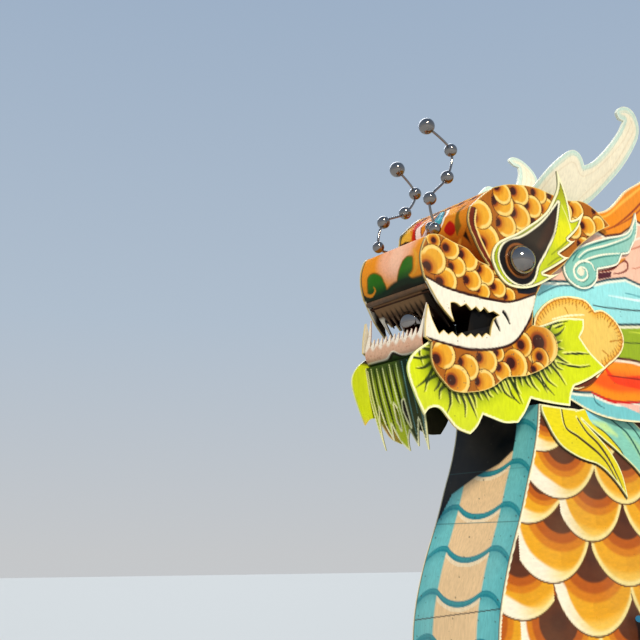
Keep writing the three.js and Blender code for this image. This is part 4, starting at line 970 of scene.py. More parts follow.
def fringe_paint(points, rings):
    """Painted shade falls off with the distance from the jaw, and creases run out from it in pairs, one dark,
    one pale. Where the mouth shows the fringe, it is painted near black as the shade inside the head."""
    paint = Paint(points, 0xD2DC10)
    jaw = np.vstack([face_rings[0], face_rings[0][:1]])
    gap, _ = gap_to(points, jaw, 100)
    # Painted shade: darker towards the edge of the jaw, which stands proud of the fringe.
    paint.lay(fade(gap, 90, 5) * 0.85, 0x8A9C10)
    paint.lay(fade(gap, 34, 2) * 0.7, 0x3E5208)
    rng = np.random.default_rng(11)
    edge = face_rings[0]
    step = np.roll(edge, -1, axis=0) - edge
    out = np.stack([step[:, 1], -step[:, 0]], 1) / np.hypot(*step.T)[:, None]
    low = (edge[:, 1] < 2430) | ((edge[:, 0] > 640) & (edge[:, 1] < 2620))
    for spot, way in zip(edge[low][::6], out[low][::6]):
        length, lean = rng.uniform(40, 135), rng.uniform(0.1, 0.5)
        way = way + np.array([lean, 0.0])
        way /= np.hypot(*way)
        bend = np.array([way[1], -way[0]]) * rng.uniform(-0.12, 0.2) * length
        line = [spot, spot + way * length * 0.5 + bend, spot + way * length]
        paint.stroke([p + np.array([7.0, 5.0]) for p in line], 0xEDEE6A, (5, 5, 2), soft=4)
        paint.stroke(line, 0x2A380A, (9, 6.5, 1.5), soft=4, cut=0.8)
    for line in FRINGE_STROKES:
        paint.stroke([(a - 9, z + 6) for a, z in line], 0xF0F07A, (4, 4, 2))
        paint.stroke(line, 0x22300A, (3, 6, 2), cut=1.0)
    paint.rim(rings[0], 0xFAF5BE, 9)
    aft, up = points.T
    # Painted shade: near black where the fringe shows through the open mouth.
    paint.lay((aft > 60) * (aft < 660) * (up > 2370), 0x0E0B0A)
    return paint


def fringe_back(points):
    """The fringe from behind: lime, painted shade in near black further aft and high up, and orange at the
    low front.
    """
    paint = Paint(points, 0xCBD70E)
    # Painted shade: the inner face is near black aft and above the jaw, inside the head.
    paint.lay(fade(points[:, 0], 200, 330), 0x1A1E0C)
    paint.lay(fade(points[:, 1], 2335, 2350) * (points[:, 0] < 760), 0x17120C)
    paint.lay(fade(points[:, 1], 2110, 2040) * fade(points[:, 0], 300, 120), 0xE9A060)
    return paint


def fan_paint(points, rings):
    """Ribs stand square to the edge at an even pitch along it and end a few fingers in."""
    paint = Paint(points, 0xEFC660)
    edge = np.vstack([rings[0], rings[0][:1]])
    gap, along = gap_to(points, edge, 60)
    paint.lay(fade(gap, 52, 18) * 0.8, 0xEFAC34)
    wave = np.abs((along + 5 * np.sin(gap / 12)) % 25 - 12.5)
    paint.lay(fade(wave, 3.4, 1.8) * (gap > 10) * fade(gap, 50, 38), 0xA8620C, 0.8)
    paint.lay(fade(np.abs(gap - 12), 5.5, 2.5), 0xC67A12)
    paint.lay(fade(gap, 9, 7), 0xFFF0B4)
    for line in ([(937, 2691), (940, 2660), (938, 2637)], [(1149, 2515), (1200, 2527), (1257, 2533)],
                 [(1094, 2464), (1122, 2450), (1146, 2434)], [(860, 2650), (880, 2620)],
                 [(1150, 2590), (1180, 2620)]):
        paint.stroke(line, 0xC07A14, (4, 3, 1))
    paint.stroke([(775, 2580), (876, 2611), (985, 2630)], 0xFFF2C0, (4, 5, 3))
    paint.field([(884, 2273), (1020, 2337), (1048, 2318), (983, 2273), (895, 2261)], 0x6A2E10, 4)
    return paint


def ear_paint(points, rings):
    """Pale teal with darker shades, cream lines with a shadow beside each, and a cream edge."""
    paint = Paint(points, 0x84C2B2)
    paint.lay(fade(points[:, 0], 1150, 1380) * 0.5, 0xA6D6C8)
    paint.stroke(EAR_SHADE, 0x2E6E66, (3, 6, 4, 3))
    paint.stroke([(940, 2930), (1040, 2995), (1180, 3065)], 0x5AA096, (4, 9, 4), soft=6)
    for line in EAR_LINES:
        paint.stroke([(a + 8, z - 9) for a, z in line], 0x3A7E74, (3, 4, 2))
        paint.stroke(line, 0xF6F2D8, (3, 5, 4, 2))
    paint.stroke([(a, z - 8) for a, z in EAR_FOOT], 0x2E6E66, (2, 7, 7, 2))
    paint.stroke([(a + 5, z - 5) for a, z in EAR_CURL], 0x3A7E74, (2, 5, 5, 4, 3))
    paint.stroke(EAR_CURL, 0xF6F2D8, (2, 6, 7, 6, 5, 4, 3))
    paint.field([(966, 2850), (985, 2872), (1010, 2862), (1004, 2836), (982, 2826)], 0xF3E6C8, 6)
    paint.rim(rings[0], 0x4E9086, 12)
    paint.rim(rings[0], 0xF8F4DC, 9)
    return paint


for name, levels, painter, slot, back_code in (
        ("fringe", FRINGE_LEVELS, fringe_paint, "lime_paint", None),
        ("fan", FAN_LEVELS, fan_paint, "fan_paint", 0xB98E4A),
        ("ear", EAR_LEVELS, ear_paint, "teal_paint", 0x5A8C80)):
    rings = [eased(ring, BOARD_PITCH) for ring in flat_rings(name + "_port", from_head, levels[0])]
    cut = cut_sheet(rings, BOARD_PITCH, 9 if back_code is None else 20)
    rear = fringe_back(cut["back"]) if back_code is None else Paint(cut["back"], back_code)
    plate_pair(name, [(cut, on_head, *levels, painter(cut["front"], rings), rear)], sign_enamel, slot)

# Manes: the largest boards of the head, in flames that fly aft. Bands of orange, flesh, sky blue, leaf green
# and red run into the flames, parted by dark brush lines.
MANE_LEVELS = (-34.9, -44.9)
MANE_EDGES = [
    ([(600, 3130), (900, 3090), (1143, 3093), (1192, 3077), (1306, 3108), (1378, 3156), (1433, 3205),
      (1500, 3190), (1560, 3262), (2200, 3720)], 0xF3C0A6),
    ([(600, 2750), (1100, 2815), (1178, 2841), (1310, 2871), (1418, 2850), (1530, 2880), (1660, 2930),
      (1720, 2965), (2300, 3200)], 0x98E0E2),
    ([(600, 2560), (1000, 2590), (1247, 2616), (1390, 2635), (1560, 2650), (1720, 2690), (1800, 2730),
      (2300, 2860)], 0x93AE10),
    ([(600, 2440), (1220, 2440), (1290, 2443), (1364, 2437), (1550, 2425), (1740, 2430), (1850, 2455),
      (2300, 2500)], 0xF08A12),
    ([(600, 2300), (898, 2246), (1010, 2251), (1097, 2228), (1181, 2218), (1338, 2231), (1550, 2215),
      (1740, 2172), (2300, 2160)], 0x74C2C6)]
MANE_LINES = [
    ([(1189, 3106), (1278, 3152), (1380, 3226), (1478, 3311), (1600, 3430), (1720, 3560)], 0x8E1E08,
     (2, 5, 6, 3)),
    ([(1216, 3116), (1348, 3185), (1473, 3274), (1600, 3400)], 0x8E1E08, (1, 4, 1)),
    ([(1030, 3150), (1200, 3185), (1340, 3290), (1500, 3410), (1680, 3540)], 0xF8B440, (3, 8, 3)),
    ([(1370, 2931), (1431, 2949), (1600, 3040), (1800, 3160), (1960, 3270)], 0xC4664A, (2, 5, 5, 2)),
    ([(1326, 3020), (1443, 3064), (1620, 3160), (1860, 3240)], 0xC4664A, (2, 5, 4, 2)),
    ([(1140, 2980), (1260, 3020), (1400, 3090), (1540, 3150)], 0xFBE6D8, (2, 8, 2)),
    ([(1063, 2693), (1162, 2693), (1400, 2709), (1640, 2740), (1820, 2810)], 0x151A20, (3, 4, 4, 2)),
    ([(1300, 2790), (1500, 2790), (1760, 2860), (2050, 2960)], 0x2F8E9C, (2, 5, 5, 2)),
    ([(1180, 2760), (1420, 2765), (1680, 2800), (1900, 2880)], 0xE4F8F6, (2, 7, 5, 2)),
    ([(1262, 2526), (1377, 2535), (1620, 2560), (1860, 2620), (2060, 2680)], 0x3C5208, (3, 4, 5, 2)),
    ([(1300, 2585), (1500, 2600), (1750, 2650)], 0xC8D83A, (2, 7, 2)),
    ([(1120, 2375), (1182, 2328), (1351, 2331), (1600, 2330), (1850, 2330), (2050, 2360)], 0xF0380C,
     (8, 34, 44, 30, 6)),
    ([(1123, 2349), (1184, 2346), (1278, 2347), (1400, 2345), (1700, 2320)], 0x8E120A, (2, 4, 4, 1)),
    ([(1010, 2251), (1097, 2228), (1181, 2218), (1338, 2231)], 0xD01A0A, (4, 8, 8, 4)),
    ([(1020, 2239), (1033, 2205), (1089, 2180)], 0x1E5C66, (3, 4, 1)),
    ([(704, 2691), (757, 2721), (866, 2764), (1078, 2782)], 0x2A5E6A, (4, 5, 3))]


def mane_paint(points, rings):
    """Orange, then under each line of the mane a colour with a cream stripe and a dark edge, and strands."""
    paint = Paint(points, 0xEE8A10)
    aft, up = points.T
    paint.lay(fade(aft, 1150, 700) * 0.7, 0xD9740C)
    for edge, code in MANE_EDGES:
        below = -on_line(aft, up, edge)
        paint.lay(fade(below, -5, 5), code)
        paint.lay(fade(np.abs(below - 13), 10, 4) * 0.8, 0xFBF2DC)
        paint.lay(fade(np.abs(below), 10, 3), 0x4A1810 if code in (0xF3C0A6, 0xF08A12) else 0x1E4650)
    under = fade(on_line(aft, up, MANE_EDGES[3][0]), 0, -40)
    over = fade(on_line(aft, up, MANE_EDGES[4][0]), 30, 70)
    paint.lay(under * over * fade(up, 2400, 2330) * 0.8, 0xF4470E)
    for line, code, wide in MANE_LINES:
        paint.stroke(line, code, wide, soft=5)
    paint.field([(1115, 2867), (1216, 2890), (1206, 2858), (1115, 2832)], 0x53222A, 4)
    paint.stroke([(1119, 2874), (1217, 2904), (1280, 2948), (1321, 2965), (1339, 2943), (1322, 2912),
                  (1267, 2888), (1228, 2882)], 0x7A2414, (3, 6, 8, 7, 6, 4, 3))
    paint.stroke([(1240, 2925), (1290, 2960), (1325, 2980)], 0xD98A2A, (2, 8, 3), soft=5)
    paint.field([(1174, 2213), (1336, 2218), (1328, 2176)], 0xF2B8A8, 4)
    paint.rim(rings[0], 0xFBE9B8, 8, soft=5)
    return paint


mane_rings = [eased(ring, 8) for ring in flat_rings("mane_port", from_head, MANE_LEVELS[0])]
mane_cut = cut_sheet(mane_rings, 7, 7)
mane_back = mane_paint(mane_cut["back"], mane_rings)
mane_back.lay(fade(mane_cut["back"][:, 0], 1540, 1480) * (mane_cut["back"][:, 1] < 3200), 0x241A12)
plate_pair("mane", [(mane_cut, on_head, *MANE_LEVELS, mane_paint(mane_cut["front"], mane_rings), mane_back)],
           sign_enamel, "cyan_paint")

# Horns: two upright boards that fork like antlers and stand on the crown, cream with a sky-blue edge.
HORN_PLANE, HORN_SEAT, HORN_LEAN = 200, 3200.3, math.tan(math.radians(18))
HORN_THICK = 15


def on_horn(flat, out):
    """A horn's point: aft of the snout, up, and out from its outer face, which leans out from its seat."""
    leaned = (flat[:, 1] - HORN_SEAT) * HORN_LEAN
    return np.stack([SNOUT - flat[:, 0], HORN_PLANE + out + leaned, flat[:, 1]], 1)


def from_horn(spots):
    """A point's place on the horn: aft of the snout, up, and out from its outer face."""
    return np.stack([SNOUT - spots[:, 0], spots[:, 2],
                     spots[:, 1] - HORN_PLANE - (spots[:, 2] - HORN_SEAT) * HORN_LEAN], 1)


def horn_paint(points, rings):
    """Cream, pale green towards the edge, with two faint wavy lines along it."""
    paint = Paint(points, 0xFFF3D6)
    gap, along = gap_to(points, np.vstack([rings[0], rings[0][:1]]), 90)
    paint.lay(fade(gap, 34, 8) * 0.85, 0xC4E6DA)
    paint.lay(fade(np.abs(gap - 24 - 4 * np.sin(along / 60)), 4, 1) * 0.4, 0x8FC4BC)
    paint.lay(fade(np.abs(gap - 52 - 6 * np.sin(along / 80)), 5, 1) * 0.3, 0xD9B98A)
    paint.lay(fade(gap, 6, 4) * 0.7, 0xFBF6E4)
    return paint


horn_rings = [eased(ring, BOARD_PITCH) for ring in flat_rings("horn_port", from_horn, 0)]
horn_cut = cut_sheet(horn_rings, BOARD_PITCH, BOARD_PITCH)
plate_pair("horn", [(horn_cut, on_horn, 0, -HORN_THICK, horn_paint(horn_cut["front"], horn_rings),
                     horn_paint(horn_cut["back"], horn_rings))], sign_enamel, "cream_paint")

# Nose, forehead, palate, lower jaw and beard: thin board bent across between the two face plates. The palate
# carries the row of upper teeth, the jaw the lower row, and the beard is cut into strands that hang free.
NOSE_LINE = [(378, 2776), (315, 2788), (255, 2832), (190, 2847), (105, 2872), (65, 2870), (30, 2853),
             (2, 2790), (-3, 2735), (8, 2690), (28, 2642)]
FOREHEAD_LINE = [(690, 3222), (525, 3203), (430, 3168), (370, 3122), (305, 3063), (282, 3035), (272, 2965),
                 (307, 2885), (342, 2825), (380, 2785)]
PALATE_LINE = [(620, 2640), (350, 2605), (180, 2605), (52, 2618)]
TEETH_LINE = [(46, 2625), (72, 2590), (110, 2545), (165, 2485), (179, 2468)]
JAW_LINE = [(39, 2562), (36, 2545), (22, 2470), (4, 2400), (18, 2350), (80, 2332), (300, 2330), (620, 2330)]
BEARD_LINE = [(2, 2325), (25, 2210), (50, 2070), (78, 1920)]
FACE_ROOM, FRINGE_ROOM = 14.3, 24.6
SHEET_PITCH = 6
UPPER_ROW = {"count": 9, "half": 185, "root": 2568, "tip": 2520, "fang": 2470}
LOWER_ROW = {"count": 11, "half": 191, "root": 2416, "tip": 2456, "fang": 2560}
BEARD_EDGE = [(-189, 2325), (-190, 2183), (-168, 2060), (-138, 1950), (-149, 2060), (-136, 2145),
              (-112, 2060), (-70, 1985), (-72, 2060), (-28, 1980), (21, 1935), (24, 1990), (40, 2020),
              (80, 1950), (96, 2020), (108, 2065), (138, 1930), (151, 2079), (157, 2200), (189, 2325)]
BEARD_SLOT = [(-36, 2145), (-22, 2125), (-12, 2030), (-30, 2075)]


class Bend:
    """A sheet that follows a line in side view. A place on it is how far across and how far along the
    line."""

    def __init__(self, line):
        self.line = smooth(line, 16)
        run = np.diff(self.line, axis=0)
        self.along = np.concatenate([[0], np.cumsum(np.hypot(*run.T))])
        slope = np.gradient(self.line, axis=0)
        self.out = np.stack([slope[:, 1], -slope[:, 0]], 1) / np.hypot(*slope.T)[:, None]

    def place(self, flat, out):
        """The point at a place on the sheet, moved out square to the line."""
        across, along = flat.T
        aft, up, out_aft, out_up = (np.interp(along, self.along, v) for v in (*self.line.T, *self.out.T))
        return np.stack([SNOUT - aft - out * out_aft, across, up + out * out_up], 1)

    def at_height(self, up):
        """How far along the line a height comes, where the line goes down all the way."""
        return np.interp(-np.asarray(up, float), -self.line[:, 1], self.along)

    def strip(self, room):
        """The outline that fills the gap between the two flared plates, less the boards that line them."""
        half = HEAD_HALF + self.line[:, 0] * math.tan(FLARE) - room / math.cos(FLARE)
        return np.vstack([np.stack([half, self.along], 1), np.stack([-half, self.along], 1)[::-1]])


def even(ring, pitch):
    """The ring with each long straight side cut into even steps."""
    out = []
    for p, q in zip(ring, np.roll(ring, -1, axis=0)):
        count = max(1, round(float(np.hypot(*(q - p))) / pitch))
        out.append(p + (q - p) * (np.arange(count) / count)[:, None])
    ring = np.vstack(out)
    return ring[np.hypot(*(ring - np.roll(ring, 1, axis=0)).T) > 0.5]


def tooth_row(count, half, root, tip, fang):
    """Across and up along a toothed edge: a long fang at each end and even teeth between, each a sharp
    hump."""
    share = (np.arange(count * 8 + 1) / 8)
    wave = (1 - np.abs(share % 1 * 2 - 1)) ** 1.4
    across = -half + 34 + (2 * half - 68) * share / count
    up = root + (tip - root) * wave
    left = [(-half, fang), (-half + 9, fang + (root - fang) * 0.32),
            (-half + 24, root + (fang - root) * 0.12)]
    return np.vstack([left, np.stack([across, up], 1), np.array(left[::-1]) * (-1, 1)])


def nose_paint(points, rings):
    """Gold at the sides, flesh in the middle, a dark wave over the lip and two green clouds that grow from
    it."""
    paint = Paint(points, 0xE88C1C)
    across, along = points.T
    paint.lay(fade(np.abs(across), 120, 215) * fade(along, 420, 300), 0xF0B444)
    middle = np.hypot((across - 30) / 150, (along - 380) / 210)
    paint.lay(fade(middle, 1.05, 0.55), 0xF0AE8A)
    paint.lay(fade(np.hypot((across - 40) / 60, (along - 430) / 110), 1.1, 0.4) * 0.6, 0xF6C4A6)
    paint.lay(fade(np.abs(across), 205, 236) * 0.7, 0xB8500C)
    far = [(-158, 512), (-154, 488), (-131, 475), (-98, 480), (-60, 504), (-51, 528), (-46, 560), (-70, 592),
           (-190, 592), (-170, 548)]
    near = [(94, 468), (115, 456), (139, 459), (156, 471), (152, 515), (132, 531), (116, 540), (120, 566),
            (40, 575), (33, 570), (44, 544), (59, 520), (74, 495)]
    for cloud, deep in ((far, 545), (near, 525)):
        ring = smooth(cloud + cloud[:1])
        paint.field(ring, 0x8A5A10, 5, None, 6)
        paint.field(ring, 0x2E6A1C, 4)
        held = inside(points, ring)
        paint.lay(held * fade(along, deep - 25, deep + 35), 0x173A1E)
    top = [(-260, 540), (-204, 561), (-160, 566), (-134, 580), (-89, 580), (-47, 569), (-9, 556), (21, 549),
           (100, 548), (144, 558), (193, 560), (260, 548)]
    wave = along - np.interp(across, *np.array(top, float).T)
    paint.lay(fade(wave, -10, 6), 0x12281C)
    paint.lay(fade(wave, 18, 36), 0x0A1210)
    paint.stroke([(-200, 525), (-190, 556), (-160, 572), (-134, 566), (-118, 552), (-126, 536)], 0xE08A20,
                 (10, 9, 5, 2))
    paint.stroke([(150, 420), (182, 470), (176, 520), (140, 545)], 0xE6A030, (3, 9, 8, 2), soft=5)
    paint.lay(fade(np.abs(np.abs(across) - 20 - along * 0.06), 3, 1) * fade(along, 250, 120) * 0.5, 0xA04A0C)
    return paint


def forehead_paint(points, rings):
    """Gold scales on the crown and between the brows a curl of flames in teal, white, red and orange, and
    painted shade in brown down the lower front.
    """
    paint = Paint(points, 0xDD8420)
    across, along = points.T
    # Painted shade: the lower front of the forehead, seen at a slant, darkens to brown.
    paint.lay(fade(along, 480, 720) * 0.8, 0x8A3A10)
    paint.field(smooth([(-263, 427), (-278, 364), (-219, 395), (-152, 502), (-228, 507), (-263, 427)]),
                0xE9AE38, 5)
    paint.field(smooth([(-215, 348), (-155, 457), (-147, 512), (-113, 525), (-108, 502), (-158, 361),
                        (-215, 348)]),
                0xC8260E, 5)
    paint.field(smooth([(92, 505), (117, 492), (154, 530), (143, 558), (109, 566), (79, 532), (92, 505)]),
                0xB41A10, 5)
    paint.field([(173, 483), (192, 541), (151, 578), (152, 404), (179, 381)], 0x7A5A18, 8)
    paint.field([(183, 588), (199, 613), (211, 641), (212, 567), (244, 540)], 0x2A140C, 8)
    paint.stroke([(31, 351), (90, 400), (120, 449), (143, 461)], 0xF0A030, (8, 26, 20, 6), soft=6)
    paint.stroke([(60, 560), (20, 610), (-30, 640), (-90, 660)], 0xC84A10, (6, 30, 26, 8), soft=8)
    paint.stroke([(160, 600), (90, 660), (0, 690), (-120, 700)], 0xE9A83A, (6, 18, 18, 6), soft=8)
    paint.stroke([(-227, 519), (-196, 516), (-166, 520)], 0x33140C, (4, 8, 4))
    hook = [(-108, 387), (-114, 431), (-108, 482), (-92, 524), (-66, 530), (-50, 504), (-46, 462)]
    paint.stroke(hook, 0x8A2A14, (6, 22, 24, 24, 22, 16, 6))
    paint.stroke(hook, 0xF6D9CC, (3, 14, 17, 17, 15, 10, 4))
    teal = smooth([(-11, 459), (-49, 331), (-62, 286), (10, 380), (55, 464), (37, 487), (-11, 459)])
    paint.field(teal, 0x1E4A58, 4, None, 7)
    paint.field(teal, 0x4BA6B4, 4)
    paint.stroke([(-50, 310), (-12, 380), (22, 450)], 0xA8DCE2, (2, 7, 4))
    paint.stroke([(-95, 389), (-72, 364), (-70, 318)], 0xFBF3E6, (8, 8, 3))
    paint.stroke([(-14, 310), (40, 385), (63, 434), (66, 479), (58, 508)], 0xFBF3E6, (3, 8, 9, 8, 3))
    for row in range(6):
        for place in np.arange(-3, 4) * 86 + row % 2 * 43:
            face_scale(paint, place, 292 - row * 56, 44, place, 332 - row * 56)
    return paint


def palate_paint(points, rings):
    """Brown waves across the roof of the mouth, darker towards both sides."""
    paint = Paint(points, 0x6E4630)
    across, along = points.T
    paint.lay(fade(np.abs((along + 8 * np.cos(across / 55)) % 58 - 29), 12, 2) * 0.6, 0x3A2014)
    paint.lay(fade(np.abs(across), 120, 200) * 0.6, 0x24140E)
    return paint


def teeth_paint(points, rings):
    """Brown gums over teeth that pale towards their tips, all browns as painted shade, a white fang on the
    far side and the near fang near black as painted shade.
    """
    # Painted shade: the upper row lies in shade, so its gums and teeth are painted in browns.
    paint = Paint(points, 0x866444)
    across, along = points.T
    root = float(teeth_bend.at_height(UPPER_ROW["root"]))
    paint.lay(fade(along, root - 30, root + 10), 0x4A3222)
    pitch = (2 * UPPER_ROW["half"] - 68) / UPPER_ROW["count"]
    gap = np.abs((across + UPPER_ROW["half"] - 34) % pitch - pitch / 2)
    paint.lay(fade(gap, pitch * 0.24, pitch * 0.46) * fade(along, root - 44, root - 14), 0x1E140E)
    paint.lay(fade(gap, pitch * 0.16, 0) * fade(along, root - 6, root + 16) * 0.7, 0x9A7E60)
    paint.lay(fade(along, 10, 0), 0x5A3A22)
    side = fade(np.abs(across), UPPER_ROW["half"] - 42, UPPER_ROW["half"] - 26)
    paint.lay(side * (across < 0) * fade(along, root - 12, root + 6), 0xF2E8D2)
    # Painted shade: the near fang is painted near black.
    paint.lay(side * (across > 0), 0x1A120E)
    return paint


def jaw_paint(points, rings):
    """Flesh with rose flecks, pale teeth, and below two rounded lips with a cream edge and a black line."""
    paint = Paint(points, 0xDDAE90)
    across, along = points.T
    up = np.interp(along, jaw_bend.along, jaw_bend.line[:, 1])
    gum = LOWER_ROW["root"] - 8 + 10 * np.cos(across / 8.5)
    paint.lay(fade(up - gum, -8, 10), 0xF3E6D2)
    pitch = (2 * LOWER_ROW["half"] - 68) / LOWER_ROW["count"]
    gap = np.abs((across + LOWER_ROW["half"] - 34) % pitch - pitch / 2)
    paint.lay(fade(gap, pitch * 0.36, pitch * 0.48) * fade(up, 2400, 2420) * (np.abs(across) < 160) * 0.7,
              0xA8805E)
    speck = np.random.default_rng(8).random(len(points))
    paint.lay((speck > 0.95) * (up > 2352) * 0.5, 0xB05A44)
    lip = up - (2342 + 24 * np.exp(-(across / 34) ** 2))
    lip[along > 230] = -30
    paint.lay(fade(lip, 12, 6), 0xF6EBD2)
    paint.lay(fade(lip, 6, 1), 0x14120C)
    paint.lay(fade(lip, -6, -14), 0x26401A)
    return paint


BEARD_STROKES = [
    ([(-176, 2310), (-172, 2190), (-152, 2070), (-140, 1975)], 0xF0EAB0, (2.5, 3.5, 3)),
    ([(-150, 2315), (-150, 2220), (-139, 2150)], 0xE6E89A, (2, 3.5, 2.5)),
    ([(-162, 2300), (-160, 2200), (-148, 2110)], 0x16280C, (3, 6, 3)),
    ([(-128, 2310), (-124, 2210), (-110, 2110), (-92, 2030)], 0x1A300C, (3, 7, 6, 3)),
    ([(-112, 2312), (-104, 2200), (-86, 2100), (-74, 2010)], 0xDDE08A, (2, 4, 3, 2.5)),
    ([(-88, 2310), (-82, 2220), (-66, 2120), (-50, 2040)], 0x16280C, (3, 8, 7, 3)),
    ([(-72, 2312), (-66, 2230), (-52, 2150)], 0xE9EBA2, (2, 3.5, 3)),
    ([(-46, 2310), (-40, 2230), (-34, 2160)], 0x1A300C, (3, 8, 4)),
    ([(-24, 2314), (-20, 2240), (-8, 2160), (8, 2080), (20, 1990)], 0xE9EBA2, (2, 4, 4, 3, 2.5)),
    ([(-4, 2312), (0, 2240), (12, 2150), (26, 2050)], 0x16280C, (3, 9, 8, 4)),
    ([(22, 2314), (24, 2230), (34, 2140), (40, 2050)], 0xC9D890, (2, 3.5, 3, 2)),
    ([(60, 2316), (62, 2220), (70, 2110), (80, 2000)], 0x5E8A84, (2, 3, 3, 2)),
    ([(96, 2316), (98, 2240), (104, 2150), (108, 2090)], 0x4A766E, (2, 3, 3, 2)),
    ([(128, 2316), (130, 2220), (134, 2100), (138, 1970)], 0x5E8A84, (2, 3, 3, 2)),
    ([(160, 2316), (156, 2250), (150, 2180)], 0xC9D890, (2, 3, 2))]


def beard_paint(points, rings):
    """Dark green at the root, a painted shadow in near black green on the near side, olive to lime on the far
    side, in long strands with pale outlines. The points are across and along, so heights come from the line."""
    paint = Paint(points, 0xA6B414)
    across, along = points.T
    up = np.interp(along, beard_bend.along, beard_bend.line[:, 1])
    flat = Paint(np.stack([across, up], 1), 0x93A414)
    flat.lay(fade(up, 2120, 2040) * 0.6, 0xC4CE2A)
    flat.lay(fade(up, 2200, 2315) * 0.9, 0x1E3C16)
    # Painted shadow: the near side lies in the shadow of the port plates.
    flat.lay(fade(across, 10, 60) * 0.94, 0x14261E)
    for line, code, wide in BEARD_STROKES:
        flat.stroke(line, code, wide, cut=0.6)
    slit = [(22, 2150), (34, 2155), (48, 2080), (54, 2035), (34, 2075), (20, 2110)]
    flat.field(slit, 0xF0EAB0, 4, None, 7)
    flat.field(slit, 0x0C0E0A, 4)
    flat.stroke(BEARD_SLOT + BEARD_SLOT[:1], 0xF0EAB0, (8, 8), curved=False)
    edge = np.array(BEARD_EDGE, float)
    flat.stroke(edge, 0xF2ECB8, (6, 6), curved=False)
    paint.colour, paint.cut = flat.colour, flat.cut
    return paint


nose_bend, forehead_bend, palate_bend, teeth_bend, jaw_bend, beard_bend = (
    Bend(line) for line in (NOSE_LINE, FOREHEAD_LINE, PALATE_LINE, TEETH_LINE, JAW_LINE, BEARD_LINE))
upper_edge = tooth_row(**UPPER_ROW)
upper_edge[:, 1] = teeth_bend.at_height(upper_edge[:, 1])
upper_ring = np.vstack([upper_edge, [(UPPER_ROW["half"], 0), (-UPPER_ROW["half"], 0)]])
lower_edge = tooth_row(**LOWER_ROW)
lower_edge[:, 1] = jaw_bend.at_height(lower_edge[:, 1])
jaw_strip = jaw_bend.strip(FRINGE_ROOM)
jaw_half = len(jaw_strip) // 2
jaw_low = jaw_strip[:jaw_half][jaw_bend.along > 150]
jaw_ring = np.vstack([lower_edge, jaw_low, (jaw_low * (-1, 1))[::-1]])
beard_rings = []
for line in (BEARD_EDGE, BEARD_SLOT):
    ring = eased(np.array(line, float), SHEET_PITCH)
    beard_rings.append(np.stack([ring[:, 0], beard_bend.at_height(ring[:, 1])], 1))
beard_rings[0] = even(beard_rings[0], SHEET_PITCH)


def bent_board(bend, rings, painter, back_code, pitch=SHEET_PITCH):
    """One bent board: its cut, its place, its two levels and its paint."""
    cut = cut_sheet(rings, pitch, pitch)
    return cut, bend.place, 0.0, -float(BOARD), painter(cut["front"], rings), Paint(cut["back"], back_code)


sheet_enamel = enamel("sheet_enamel", 0.6, (10, 22, 22), 0.08, 0.18, 0.6, 0.04)
for name, boards, slot in (
        ("nose_sheet", [(nose_bend, [even(nose_bend.strip(FACE_ROOM), SHEET_PITCH)], nose_paint, 0x1A120E)],
         "orange_paint"),
        ("forehead_sheet", [(forehead_bend, [even(forehead_bend.strip(FACE_ROOM), SHEET_PITCH)],
                             forehead_paint, 0x1A120E)], "gold_paint"),
        ("palate", [(palate_bend, [even(palate_bend.strip(FACE_ROOM), SHEET_PITCH)], palate_paint, 0x3A2218),
                    (teeth_bend, [even(upper_ring, SHEET_PITCH)], teeth_paint, 0x2A1C14)], "pink_paint"),
        ("lower_jaw_sheet", [(jaw_bend, [even(jaw_ring, SHEET_PITCH)], jaw_paint, 0x7A3A30)], "pink_paint"),
        ("beard", [(beard_bend, beard_rings, beard_paint, 0x3A4A10)], "lime_paint")):
    sheet_piece(name + "_painted", [bent_board(*board) for board in boards], sheet_enamel, slot, name)

# Pearl, brow ball and whiskers: hollow steel balls, spun and polished. The pearl stands on a stem in the
# mouth, and the whiskers are bent rods with balls welded on.
PEARL_AT, PEARL_RADIUS, STEM_FOOT, STEM_RADIUS = (135, 0, 2525), 63, 2338.6, 10
BROW_BALL_AT, BROW_BALL_RADIUS = (262, 0, 3012), 27
WHISKER_ROD, WHISKER_SIDE = 6, 150
WHISKER_FOOT = [(128, 2848), (132, 2895)]
WHISKERS = {
    "port": [(145, 2935, 28), (120, 3075, 31), (235, 3210, 31), (265, 3355, 31), (115, 3435, 38)],
    "starboard": [(60, 2912, 28), (95, 3045, 31), (235, 3125, 31), (305, 3245, 31), (190, 3345, 38)]}


def tube(line, radius, around=16, side=(0, 1, 0)):
    """A rod along a line in space: rings of points square to the line, and a flat cap at each end."""
    line = np.array(line, float)
    run = np.gradient(line, axis=0)
    run /= np.linalg.norm(run, axis=1)[:, None]
    u = np.cross(run, side)
    u /= np.linalg.norm(u, axis=1)[:, None]
    v = np.cross(run, u)
    turn = np.linspace(0, 2 * math.pi, around, endpoint=False)[None, :, None]
    reach = np.broadcast_to(np.asarray(radius, float), (len(line),))[:, None, None]
    rings = line[:, None] + reach * (np.cos(turn) * u[:, None] + np.sin(turn) * v[:, None])
    place, quads = ring_quads(len(line), around)
    return np.vstack([rings.reshape(-1, 3), line[:1], line[-1:]]), [quads.reshape(-1, 4), end_caps(place)]


def ball(centre, radius, rings=24, around=48):
    """A whole ball at a place."""
    points, quads, caps = ball_grid(radius, rings, around)
    return points + centre, [quads, caps]


def solids(name, shells, look, slot, *stands_for, body="boat", paint=None):
    """Closed shells as one piece; each shell is its points in mm and its groups of faces."""
    points, groups, start = [], [], 0
    for spots, faces in shells:
        groups += [group + start for group in turned_out(spots - spots.mean(0), faces)]
        points.append(spots * MM)
        start += len(spots)
    return set_up(name, mesh_from(name, np.vstack(points), *groups), look, slot, *stands_for, body=body,
                  paint=paint)


